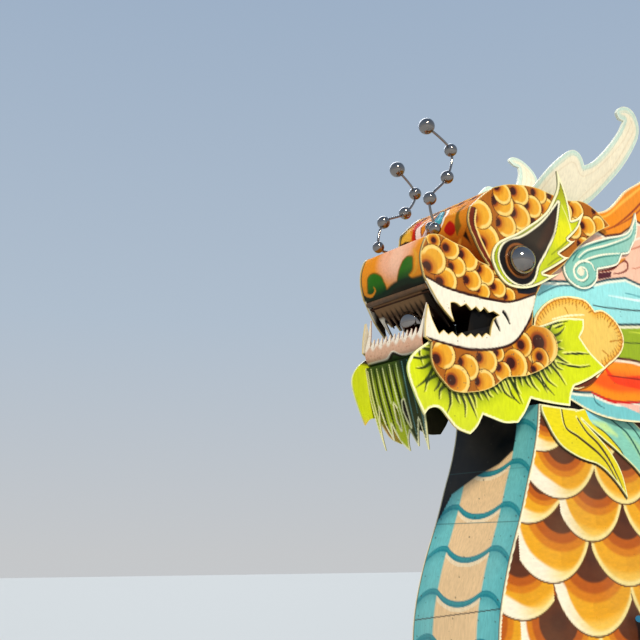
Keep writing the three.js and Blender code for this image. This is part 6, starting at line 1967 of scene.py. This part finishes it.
def door(name, face, facing, y0, y1, hinge):
    """A leaf in its closed place, its glass and its steel, all on the leaf's own body."""
    def off_leaf(along, out, up):
        """A place across the leaf, out from its face and up."""
        return np.array([face + facing * out, along, up], float)

    a0, a1 = y0 + STILE, y1 - STILE
    wood = [(y0, -LEAF, DOOR_LOW, a0, 0, DOOR_TOP), (a1, -LEAF, DOOR_LOW, y1, 0, DOOR_TOP),
            (a0, -LEAF, DOOR_LOW, a1, 0, 800), (a0, -LEAF, 1330, a1, 0, 1430),
            (a0, -LEAF, 2365, a1, 0, DOOR_TOP), (a0 - 3, -26, 797, a1 + 3, -9, 1333),
            (a0 + 32, -31, 834, a1 - 32, -4, 1296)]
    for share in (1 / 3, 2 / 3):
        bar = a0 + (a1 - a0) * share
        wood.append((bar - 7, -26, 1430, bar + 7, -8, 2365))
    for up in (1540, 1660, 2245):
        wood.append((a0, -25, up - 7, a1, -9, up + 7))
    solids(name + "_leaf", as_blocks(wood, off_leaf), door_wood, "wood", name, body=name)
    solids(name + "_pane", as_blocks([(a0 - 3, -19, 1427, a1 + 3, -14, 2368)], off_leaf), glass,
           "black_rubber", body=name)
    axis, steel_parts = face + facing * PIN_OUT, []
    for low in KNUCKLE_LOW:
        steel_parts.append(turned_piece([(KNUCKLE_RADIUS, low), (KNUCKLE_RADIUS, low + KNUCKLE_LONG)],
                                        (axis, hinge, 0), 16))
        leaf_side = hinge - math.copysign(KNUCKLE_REACH, hinge)
        corners = np.sort([[face - facing, leaf_side], [axis, hinge]], axis=0)
        steel_parts += blocks((*corners[0], low), (*corners[1], low + KNUCKLE_LONG))
    free = y0 + STILE / 2 if abs(hinge - y1) < abs(hinge - y0) else y1 - STILE / 2
    steel_parts += as_blocks([(free - 18, -1, 1290, free + 18, 4, 1470)], off_leaf)
    bends = ((2, 1310), (38, 1325), (42, 1380), (38, 1435), (2, 1450))
    grip = [(face + facing * out, free, up) for out, up in bends]
    steel_parts.append(tube(smooth(grip, 6), 7, 10, side=(0, 1, 0)))
    solids(name + "_steel", steel_parts, door_steel, "stainless", body=name)


door_wood = wood_look("door_wood", 0x9A5A2C, 0x5E2E14, (14, 14, 1.5))
door("front_door_port", WALL_FRONT, 1, 2.5, 600, 602.5)
door("front_door_starboard", WALL_FRONT, 1, -600, -2.5, -602.5)
door("aft_door", WALL_AFT, -1, -352.5, 352.5, 355)

# Roof and fascia: a red painted deck with raised seams, and round it a board that hides its edge. The board
# has turned medallions and blank lacquered panels on yellow, over a red valance with a gold pattern.
ROOF_AFT, ROOF_FRONT, ROOF_HALF, ROOF_LOW, ROOF_TOP = -5300, 1900, 1480, 2550, 2640
FASCIA_LOW, FASCIA_TOP, FASCIA_PITCH = 2450, 2860, 900
red_coat = coat("red_coat", 0xA81C12, 0xC23020, 0.42, 0.35)
gold_coat = coat("gold_coat", 0xE8A81C, 0xF4C648, 0.3, 0.2)
lacquer = coat("lacquer", 0x0E7A5C, 0x1E9A78, 0.25, 0.15)
roof_parts = blocks((ROOF_AFT, -ROOF_HALF, ROOF_LOW), (ROOF_FRONT, ROOF_HALF, ROOF_TOP))
for y in np.linspace(-1400, 1400, 8):
    roof_parts += blocks((ROOF_AFT + 10, y - 9, ROOF_TOP - 2), (ROOF_FRONT - 10, y + 9, ROOF_TOP + 22))
for x in np.linspace(-4900, 1500, 8):
    roof_parts += blocks((x - 30, -ROOF_HALF + 40, ROOF_LOW - 16), (x + 30, ROOF_HALF - 40, ROOF_LOW + 2))
solids("roof_deck", roof_parts, red_coat, "red_paint", "roof")


def fascia_look():
    """Bands by height, each an even step between two heights, and ornaments that repeat at a
    pitch along the board: a scalloped gold pattern on the red valance, beads, a yellow field with
    a red ring for each medallion."""
    made, tree, shader = bare_material("fascia_bands")
    place, x, y, z = object_place(tree)
    along = along_wall(tree, calc(tree, "ADD", x, 1.7), y, 0.7)
    v = calc(tree, "SUBTRACT", z, FASCIA_LOW * MM)

    def near(value, at, reach, soft=0.002):
        """1 within the reach of a value and 0 beyond it."""
        return step_up(tree, calc(tree, "ABSOLUTE", calc(tree, "SUBTRACT", value, at)), reach + soft, reach)

    def far(u, middle, stretch=1.0):
        """How far a place is from a middle, with the height stretched."""
        rise = calc(tree, "MULTIPLY", calc(tree, "SUBTRACT", v, middle), stretch)
        return reach_of(tree, u, rise)

    def both(a, b):
        """1 where both shares are 1."""
        return calc(tree, "MULTIPLY", a, b)

    scallop = calc(tree, "PINGPONG", along, 0.06)
    bead = calc(tree, "PINGPONG", along, 0.03)
    u = calc(tree, "PINGPONG", along, FASCIA_PITCH * MM / 2)
    valance = step_up(tree, v, 0.119, 0.117)
    ring, curl = far(u, 0.256), far(calc(tree, "SUBTRACT", u, 0.146), 0.256)
    colour = 0xF3C630
    for share, code in (
            (valance, 0xA8140C), (both(near(far(scallop, 0.078), 0.052, 0.006),
                                       step_up(tree, v, 0.082, 0.078)), 0xF0BE3C),
            (near(far(calc(tree, "SUBTRACT", scallop, 0.06), 0.06), 0, 0.016), 0x1E8A78),
            (near(far(scallop, 0.076, 1.2), 0, 0.018), 0xF6DFA0), (near(v, 0.104, 0.006), 0xF0BE3C),
            (near(v, 0.132, 0.012), 0x1C7A4A), (both(near(v, 0.132, 0.004), near(bead, 0, 0.016)), 0xF6DFA0),
            (step_up(tree, v, 0.371, 0.373), 0xA8140C), (near(v, 0.372, 0.005), 0xFBF0C8),
            (near(ring, 0.112, 0.007), 0xC43A18), (near(curl, 0.02, 0.006), 0x1E8A78),
            (near(curl, 0, 0.008), 0xC43A18)):
        colour = blend(tree, share, colour, code)
    across = calc(tree, "DIVIDE", calc(tree, "ABSOLUTE", y), (ROOF_HALF + 10) * MM)
    ahead = calc(tree, "ABSOLUTE", calc(tree, "ADD", x, 1.7))
    outside = calc(tree, "MAXIMUM", across, calc(tree, "DIVIDE", ahead, (ROOF_FRONT + 1710) * MM))
    colour = blend(tree, calc(tree, "GREATER_THAN", outside, 1.0), 0xB4861E, colour)
    weathered(tree, shader, place, colour, 0.38, 0.3)
    return made


def rosette(radius, petals, rise):
    """A turned disc whose middle part lifts and falls by a cosine with one wave for each petal."""
    profile = [(radius, -2), (radius, 7), (radius * 0.93, 12), (radius * 0.84, 12), (radius * 0.8, 6)]
    profile += [(radius * share, 6 + rise * math.sin(math.pi * (0.8 - share) / 0.5))
                for share in np.linspace(0.76, 0.34, 8)]
    profile += [(radius * 0.28, 7), (radius * 0.26, 14), (radius * 0.15, 19), (2, 20)]
    points, groups = turned_piece(profile, (0, 0, 0), 72)
    share, turn = np.hypot(points[:, 0], points[:, 1]) / radius, np.arctan2(points[:, 1], points[:, 0])
    petal = np.clip(np.minimum(0.8 - share, share - 0.3) / 0.12, 0, 1)
    points[:, 2] += petal * rise * 0.5 * (np.cos(petals * turn) - 1)
    return points, groups


aft_end, front_end, side_end = ROOF_AFT - 30.3, ROOF_FRONT + 30.3, ROOF_HALF + 30.3
fascia_middle = (aft_end + front_end) / 2
boards = blocks([(aft_end, ROOF_HALF + 0.3, FASCIA_LOW), (aft_end, -side_end, FASCIA_LOW),
                 (ROOF_FRONT + 0.3, -ROOF_HALF - 0.3, FASCIA_LOW), (aft_end, -ROOF_HALF - 0.3, FASCIA_LOW)],
                [(front_end, side_end, FASCIA_TOP), (front_end, -ROOF_HALF - 0.3, FASCIA_TOP),
                 (front_end, ROOF_HALF + 0.3, FASCIA_TOP), (ROOF_AFT - 0.3, ROOF_HALF + 0.3, FASCIA_TOP)])
solids("fascia_boards", boards, fascia_look(), "fan_paint", "fascia")
mouldings, medallions, plates, plate_frames = [], [], [], []
for up, radius in ((FASCIA_LOW + 118, 7), (FASCIA_TOP - 36, 6), (FASCIA_TOP - 2, 13)):
    mouldings += bars([(aft_end, side_end, up), (aft_end, -side_end, up), (front_end, -side_end, up),
                       (aft_end, -side_end, up)],
                      [(front_end, side_end, up), (front_end, -side_end, up), (front_end, side_end, up),
                       (aft_end, side_end, up)], radius, 12)
for turn, level, half in ((0, side_end, (front_end - aft_end) / 2), (2, side_end, (front_end - aft_end) / 2),
                          (1, front_end - fascia_middle, side_end), (3, front_end - fascia_middle, side_end)):
    spin = np.array([[1, 0, 0], [0, 0, 1], [0, 1, 0]], float)
    angle = turn * math.pi / 2
    spin = spin @ np.array([[math.cos(angle), -math.sin(angle), 0], [math.sin(angle), math.cos(angle), 0],
                            [0, 0, 1]])

    def on_fascia(shells):
        """Puts shells whose x runs along the board, y up and z out from its face on one side of the roof."""
        return [((points + (0, 0, level)) @ spin + (fascia_middle, 0, 0), groups)
                for points, groups in shells]

    for k in range(-4, 5):
        spot, middle = k * FASCIA_PITCH, (k + 0.5) * FASCIA_PITCH
        if abs(spot) < half - 120:
            points, groups = rosette(95, 10, 9)
            medallions += on_fascia([(points + (spot, 2706, 0), groups)])
        if abs(middle) < half - 300:
            plates += on_fascia(blocks((middle - 240, 2640, -1), (middle + 240, 2772, 6)))
            plate_frames += on_fascia(blocks(
                [(middle + a, b, -1) for a, b in ((-256, 2624), (-256, 2772), (-256, 2640), (240, 2640))],
                [(middle + a, b, 11) for a, b in ((256, 2640), (256, 2788), (-240, 2772), (256, 2772))]))
solids("fascia_mouldings", mouldings, gold_coat, "gold_paint")
solids("fascia_medallions", medallions, gold_coat, "gold_paint")
solids("fascia_panels", plates, lacquer, "teal_paint")
solids("fascia_frames", plate_frames, cream_coat, "cream_paint")

# Porch roof and ridge ornament: curved rafters under rows of half-round glazed tiles, with painted boards on
# both gable ends. The crest on the ridge is sawn from thick board and ends in flames.
PORCH_AFT, PORCH_FRONT, RIDGE = 1932, 3320, 3220
RAIL_SIDE, RAIL_FRONT, RAIL_AFT, NEWEL = 1200, 3000, 1401, 560
teal_beam = coat("teal_beam", 0x1C7A70, 0x2A968A, 0.38, 0.25)
EAVES = [(1270, 2550), (1500, 2585), (1640, 2640), (1690, 2720)]
GABLE = [(1690, 2720), (1400, 2715), (1000, 2820), (500, 3010), (40, 3220)]
slope = smooth(GABLE, 10)
half_outline = np.vstack([smooth(EAVES, 6)[:-1], slope])
section = np.vstack([half_outline, (half_outline * (-1, 1))[::-1], [(-1130, 2550), (0, 3060), (1130, 2550)]])
gable_cut = cut_sheet([even(section, 11)], 11, 11)


def across_boat(flat, out):
    """A point of a section that looks forward: across and up, at a place along the boat."""
    return np.stack([np.full(len(flat), 0.0) + out, flat[:, 0], flat[:, 1]], 1)


def gable_paint(points):
    """Red ground, a gold and orange board along the slope with round studs, and curls below it."""
    paint = Paint(points, 0x8A1810)
    gap, along = gap_to(points, np.vstack([(slope * (-1, 1))[:-1], slope[::-1]]), 140)
    paint.lay(fade(gap, 96, 90), 0xF0B030)
    paint.lay(fade(gap, 78, 72), 0xE0700C)
    paint.lay(fade(np.hypot((along % 140) - 70, gap - 38), 24, 18), 0xF8DC90)
    paint.lay(fade(gap, 10, 5), 0xFBEFC8)
    for side in (-1, 1):
        for y, z, size in ((300, 2960, 60), (620, 2850, 52), (930, 2745, 44)):
            swirl(paint, (side * y, z), size, 0xF6DFA0, 9, hand=side)
            swirl(paint, (side * (y + 110), z - 40), size * 0.7, 0x2FA08A, 8, hand=-side)
    return paint


gable_sheet = [(gable_cut, across_boat, PORCH_FRONT, PORCH_AFT, gable_paint(gable_cut["front"]),
                gable_paint(gable_cut["back"]))]
sheet_piece("porch_roof_frame", gable_sheet, sign_enamel, "orange_paint", "porch_roof")
tiles, edges = [], []
for x in np.linspace(PORCH_AFT + 60, PORCH_FRONT - 60, 14):
    for sign in (1, -1):
        run = np.stack([np.full(len(slope), x), sign * slope[:, 0], slope[:, 1] + 4], 1)
        step = 24 + 5 * (np.arange(len(slope)) % 5 == 0)
        tiles.append(tube(run, step, 10, side=(1, 0, 0)))
        tiles.append(turned_piece([(32, -8), (32, 4), (24, 8), (20, 5)], (x, sign * 1690, 2722), 16, 1))
for x0, x1 in ((PORCH_AFT - 1, PORCH_AFT + 26), (PORCH_FRONT - 26, PORCH_FRONT + 5)):
    for sign in (1, -1):
        edges.append(sweep([np.stack([np.full(len(slope), x), sign * slope[:, 0], slope[:, 1] + up], 1)
                            for x, up in ((x0, -40), (x1, -40), (x1, 34), (x0, 34))]))
edges += blocks((PORCH_AFT, -34, RIDGE - 44), (PORCH_FRONT, 34, RIDGE))
edges += [turned_piece([(52, -3), (52, 6), (44, 10), (30, 8), (16, 14), (2, 15)],
                       (PORCH_FRONT + 2, 0, RIDGE - 30), 32, 0)]
rafters = []
for x in np.linspace(PORCH_AFT + 70, PORCH_FRONT - 70, 8):
    for sign in (1, -1):
        rafters.append(sweep([np.array([(x + a, sign * 12, 3062 + b), (x + a, sign * 1126, 2554 + b)])
                              for a, b in ((-22, 0), (22, 0), (22, -52), (-22, -52))]))
rafters += blocks([(PORCH_AFT + 12, -30, 2960), (PORCH_AFT + 12, 1150, 2505), (PORCH_AFT + 12, -1230, 2505)],
                  [(PORCH_FRONT - 12, 30, 3030), (PORCH_FRONT - 12, 1230, 2551),
                   (PORCH_FRONT - 12, -1150, 2551)])
for x in (PORCH_AFT + 90, RAIL_FRONT):
    rafters += blocks((x - 30, -1160, 2505), (x + 30, 1160, 2551))
solids("porch_rafters", rafters, teal_beam, "teal_paint")
glaze = coat("tile_glaze", 0xD8690C, 0xF09A28, 0.16, 0.35, 12.0)
solids("porch_tiles", tiles, glaze, "orange_paint")
solids("porch_edges", edges, gold_coat, "gold_paint")


def lengthwise(flat, out):
    """A point of an upright board that runs along the boat: along, up, and out to port from the
    centreline."""
    return np.stack([flat[:, 0], np.zeros(len(flat)) + out, flat[:, 1]], 1)


def crest_paint(points, rings):
    """Red at the foot, orange and gold above, a row of curls, and a green and gold edge."""
    paint = Paint(points, 0xB81E10)
    paint.lay(fade(points[:, 1], 3300, 3420), 0xE8620C)
    paint.lay(fade(points[:, 1], 3420, 3540), 0xF6B428)
    for x in np.arange(2260, 3060, 130.0):
        swirl(paint, (x, 3262), 30, 0xF6DFA0, 6)
    paint.rim(rings[0], 0x1E8A78, 24, 12, soft=6)
    paint.rim(rings[0], 0xF6C84A, 12, soft=6)
    return paint


crest_rings = [eased(ring, 7) for ring in flat_rings("ridge_ornament", lambda p: p[:, [0, 2, 1]], 15)]
crest_cut = cut_sheet(crest_rings, 7, 7)
sheet_piece("ridge_crest", [(crest_cut, lengthwise, 15, -15, crest_paint(crest_cut["front"], crest_rings),
                             crest_paint(crest_cut["back"], crest_rings))], sign_enamel, "red_paint",
            "ridge_ornament")

# Porch rails: bent and welded stainless tube, polished, with round bars between the rails and rings as
# ornament. The posts carry the roof and stand on screwed flanges.
RAIL_HEIGHTS, RAIL_RADIUS, POST_RADIUS = (760, 1400, 1480), 18, 25
rail_steel = steel("rail_steel", (0.66, 0.67, 0.68), 0.16, 40.0, 0.25)


def ring_bar(centre, radius, thick, axis, around=28, sides=8):
    """A ring of round bar: a circle carried round a circle about an axis."""
    a, b = np.meshgrid(np.linspace(0, 2 * math.pi, around, endpoint=False),
                       np.linspace(0, 2 * math.pi, sides, endpoint=False), indexing="ij")
    points = np.stack([thick * np.sin(b), (radius + thick * np.cos(b)) * np.cos(a),
                       (radius + thick * np.cos(b)) * np.sin(a)], -1)
    place = np.arange(around * sides).reshape(around, sides)
    right, down = np.roll(place, -1, 0), np.roll(place, -1, 1)
    both = np.roll(right, -1, 1)
    quads = np.stack([place, right, both, down], -1).reshape(-1, 4)
    return np.roll(points.reshape(-1, 3), axis, axis=1) + centre, [quads]


rail = []
for x, y, top in ((PORCH_AFT + 90, RAIL_SIDE, 2549.7), (RAIL_FRONT, RAIL_SIDE, 2549.7),
                  (RAIL_FRONT, NEWEL, 1560)):
    rail.append(turned_piece([(58, ON_DECK), (58, DECK + 8), (POST_RADIUS + 6, DECK + 14),
                              (POST_RADIUS, DECK + 26), (POST_RADIUS, top)], (x, y, 0), 28))
rail.append(ball((RAIL_FRONT, NEWEL, 1572), 34, 14, 24))
for up in RAIL_HEIGHTS:
    rail += bars([(RAIL_AFT, RAIL_SIDE, up)], [(RAIL_FRONT, RAIL_SIDE, up)], RAIL_RADIUS, 16)
    rail += bars([(RAIL_FRONT, RAIL_SIDE, up)], [(RAIL_FRONT, NEWEL, up)], RAIL_RADIUS, 16)
low, high = RAIL_HEIGHTS[:2]
side_x = WALL_FRONT + np.arange(1, 8) * 200.0
rail += bars([(x, RAIL_SIDE, low) for x in side_x], [(x, RAIL_SIDE, high) for x in side_x], 10, 10)
front_y = NEWEL + np.arange(1, 4) * 160.0
rail += bars([(RAIL_FRONT, y, low) for y in front_y], [(RAIL_FRONT, y, high) for y in front_y], 10, 10)
for up in (912, 1080, 1248):
    rail += [ring_bar((x - 100, RAIL_SIDE, up), 74, 6, 1) for x in side_x[1:]]
    rail += [ring_bar((RAIL_FRONT, y - 80, up), 62, 6, 0) for y in front_y]
for side, sign in SIDES:
    solids(f"porch_rail_{side}_tube", mirrored(rail, sign), rail_steel, "stainless", f"porch_rail_{side}")

# Benches and mooring posts: slatted hardwood seats on bearers along the cabin, and turned posts on the
# foredeck with a steel bar through each for the lines.
bench_wood = wood_look("bench_wood", 0xA86A36, 0x6E3C1A)
post_wood = wood_look("post_wood", 0x8A5228, 0x4E2A12, (10, 10, 2))
bench = blocks([(-4000, y, 1046) for y in 780 + np.arange(5) * 79.5],
               [(900, y + 72, 1070) for y in 780 + np.arange(5) * 79.5])
for x in (-3900, -2300, -750, 800):
    bench += blocks([(x - 30, 800, 1010), (x - 22, 810, ON_DECK), (x - 22, 1080, ON_DECK),
                     (x - 30, 800, ON_DECK)],
                    [(x + 30, 1150, 1046), (x + 22, 870, 1010), (x + 22, 1140, 1010),
                     (x + 30, 1150, DECK + 40)])
post = [turned_piece([(66, ON_DECK), (66, DECK + 36), (62, DECK + 40), (53, DECK + 42), (53, 912),
                      (46, 920), (46, 936), (53, 944), (53, 1100), (46, 1106), (46, 1120), (54, 1126),
                      (54, 1140), (44, 1155), (24, 1160), (3, 1160)],
                     (4300, 560, 0), 48)]
post_bar = bars([(4300, 484, 1040)], [(4300, 636, 1040)], 20, 16)
post_bar += [ball((4300, y, 1040), 26, 10, 16) for y in (484, 636)]
for side, sign in SIDES:
    solids(f"bench_{side}_slats", mirrored(bench, sign), bench_wood, "wood", f"bench_{side}")
    solids(f"mooring_post_{side}_turned", mirrored(post, sign), post_wood, "wood", f"mooring_post_{side}")
    solids(f"mooring_bar_{side}", mirrored(post_bar, sign), rail_steel, "stainless")

# Helm: a varnished cabinet with a steel-rimmed dial board and a lever, and a spoked wheel of turned hardwood
# on its steel shaft. The cabinet is carried over, with mouldings planted on it.
CABINET_X, CABINET_TOP = (2700, 2900), 1500
WHEEL_AT, WHEEL_RADIUS, WHEEL_RIM = (2640, 850, 1290), 250, 16
dress(door_wood, "helm_console")
cabinet = blocks([(2686, 636, CABINET_TOP), (2690, 640, ON_DECK)],
                 [(2914, 1064, CABINET_TOP + 22), (2910, 1060, 690)])
for y0, y1 in ((672, 838), (862, 1028)):
    cabinet += blocks([(2900, y0, 740), (2900, y0, 1440), (2900, y0, 766), (2900, y1 - 26, 766),
                       (2900, y0 + 44, 810)],
                      [(2908, y1, 766), (2908, y1, 1466), (2908, y0 + 26, 1440), (2908, y1, 1440),
                       (2906, y1 - 44, 1396)])
solids("helm_mouldings", cabinet, door_wood, "wood")
dials = []
for y, radius in ((730, 42), (850, 0), (970, 42)):
    if radius:
        dials.append(turned_piece([(radius, 2), (radius, -10), (radius - 6, -14), (radius - 9, -6), (3, -5)],
                                  (CABINET_X[0], y, 1410), 32, 0))
dials += bars([(2800, 940, CABINET_TOP + 20)], [(2776, 940, CABINET_TOP + 120)], 7, 12)
dials += [ball((2776, 940, CABINET_TOP + 128), 20, 12, 20)]
dials += blocks((2770, 915, CABINET_TOP + 18), (2830, 965, CABINET_TOP + 34))
solids("helm_fittings", dials, rail_steel, "stainless")
wheel = [ring_bar(WHEEL_AT, WHEEL_RADIUS, WHEEL_RIM, 0, 64, 14),
         ring_bar(WHEEL_AT, WHEEL_RADIUS - 19, 6, 0, 64, 8)]
spoke = [(10, 30), (15, 60), (9, 84), (16, 120), (10, 160), (9, 190), (14, 216), (14, 262), (9, 270),
         (15, 290), (13, 304), (6, 312)]
for k in range(6):
    points, groups = turned_piece(spoke, (0, 0, 0), 12)
    turn = k * math.pi / 3
    spin = np.array([[1, 0, 0], [0, math.cos(turn), math.sin(turn)], [0, -math.sin(turn), math.cos(turn)]])
    wheel.append((points @ spin + WHEEL_AT, groups))
solids("steering_wheel_turned", wheel, bench_wood, "wood", "steering_wheel", body="steering_wheel")
hub = [turned_piece([(12, 160), (12, 30), (40, 28), (45, 22), (45, -22), (38, -30), (14, -36), (2, -38)],
                    WHEEL_AT, 32, 0)]
solids("steering_wheel_hub", hub, rail_steel, "stainless", body="steering_wheel")

# Engine and its hatch: a small iron diesel under the aft deck, and over it a lid of planks on a frame that
# turns up on two knuckles at its aft edge. Propeller and rudder hang on the skeg below.
HATCH_X, HATCH_HALF, HATCH_TOP = (-5720, -5140), 300, 650.3
HATCH_HINGE = (-5732, 641)
iron = coat("engine_iron", 0x2E5A4A, 0x24463A, 0.45, 0.5, 8.0)
bronze = steel("bronze", (0.55, 0.36, 0.16), 0.3, 30.0, 0.3)
engine = blocks([(-5520, -150, 20), (-5540, -200, -49.7), (-5500, -110, 300), (-5490, -60, 380),
                 (-5480, 110, 120), (-4900, -130, 40), (-5440, -230, 140)],
                [(-4930, 150, 310), (-4760, 200, 30), (-4960, 110, 385), (-4980, 60, 420), (-4990, 240, 220),
                 (-4712, 130, 250), (-5040, -150, 280)], 8)
engine += [turned_piece([(120, -14), (124, 0), (120, 14), (30, 16), (28, 24)], (-5535, 0, 130), 40, 0),
           turned_piece([(60, 0), (60, 20), (12, 22)], (-5480, 150, 280), 28, 0)]
engine += bars([(x, 60, 330) for x in (-5420, -5300, -5180, -5060)],
               [(x, 190, 250) for x in (-5420, -5300, -5180, -5060)], 16, 12)
solids("engine_parts", engine, iron, "engine_iron", "engine_block")
lid = blocks((HATCH_X[0] + 4, -HATCH_HALF + 4, ON_DECK), (HATCH_X[1] - 4, HATCH_HALF - 4, 638))
lid += blocks([(HATCH_X[0], y, 634) for y in -300 + np.arange(6) * 100.6], [(HATCH_X[1], y + 97, HATCH_TOP)
                                                                      for y in -300 + np.arange(6) * 100.6])
solids("engine_hatch_lid", lid, bench_wood, "wood", "engine_hatch", body="engine_hatch")
lid_steel = [ring_bar((-5200, 0, HATCH_TOP + 3), 32, 5, 2)]
lid_steel += blocks((-5250, -14, HATCH_TOP - 2), (-5222, 14, HATCH_TOP + 6))
for y in (-175, 175):
    lid_steel.append(turned_piece([(9, -25), (9, 25)], (HATCH_HINGE[0], y, HATCH_HINGE[1]), 16, 1))
    lid_steel += blocks((HATCH_HINGE[0], y - 25, 636), (HATCH_HINGE[0] + 90, y + 25, 643), 1)
    lid_steel += blocks((HATCH_HINGE[0] + 14, y - 25, HATCH_TOP - 1),
                        (HATCH_HINGE[0] + 110, y + 25, HATCH_TOP + 3), 1)
solids("engine_hatch_steel", lid_steel, door_steel, "stainless", body="engine_hatch")
hatch_knuckles = []
for y in (-124.7, 124.7):
    hatch_knuckles.append(turned_piece([(9, -25), (9, 25)], (HATCH_HINGE[0], y, HATCH_HINGE[1]), 16, 1))
    hatch_knuckles += blocks((HATCH_HINGE[0] - 9, y - 25, 618), (HATCH_HINGE[0] + 9, y + 25, 641), 1)
solids("engine_hatch_knuckles", hatch_knuckles, door_steel, "stainless")
dress(bronze, "propeller")

# Tail: boards bolted together to a thick blade, sawn into flames. Painted gold scales climb it, its flames go
# from orange to red, and a pale line runs round the edge.
TAIL_HALF = 60


def scale_rows(paint, pitch):
    """The overlapping scales of the topsides, laid as wet paint: rows half a pitch apart, higher over
    lower."""
    u, v = paint.points.T
    half = pitch / 2
    row = np.floor(v / half)
    far = []
    for up in (1, 2):
        across = (u + (row + up) % 2 * half) % pitch - half
        far.append(np.hypot(across, (row + up) * half - v) / (pitch * SCALE_REACH))
    field = np.where(far[1] < 1, far[1], far[0])
    for low, high, code in ((0.0, 0.01, 0xA8500C), (0.34, 0.46, 0xE4981C), (0.6, 0.72, 0xF4BE3C),
                            (0.76, 0.84, 0xFBE9B0), (0.88, 0.94, 0x8A1E0A)):
        paint.lay(fade(field, low, high), code)


def tail_paint(points, rings):
    """Gold scales, a pale and a green band inside the edge, and flames from orange to red above."""
    paint = Paint(points, 0xE8981C)
    scale_rows(paint, 190)
    x, up = points.T
    gap, _ = gap_to(points, np.vstack([rings[0], rings[0][:1]]), 130)
    paint.lay(fade(gap, 110, 96), 0xF6DFA0)
    paint.lay(fade(gap, 92, 84), 0x1E8A78)
    flame = fade(up + (x + 6300) * 0.4, 1980, 2080)
    paint.lay(flame, 0xF08A12)
    paint.lay(flame * fade(gap, 60, 20), 0xC8260E)
    paint.lay(fade(np.abs((x + up * 0.55) % 90 - 45), 8, 3) * flame * fade(gap, 20, 50), 0x8A1A0A)
    paint.rim(rings[0], 0xFBF0C8, 16, soft=8)
    return paint


tail_rings = [eased(ring, 8) for ring in flat_rings("dragon_tail", lambda p: p[:, [0, 2, 1]], TAIL_HALF)]
tail_cut = cut_sheet(tail_rings, 8, 8)
sheet_piece("dragon_tail_painted", [(tail_cut, lengthwise, TAIL_HALF, -TAIL_HALF,
                                     tail_paint(tail_cut["front"], tail_rings),
                                     tail_paint(tail_cut["back"], tail_rings))], sign_enamel, "gold_paint",
            "dragon_tail")
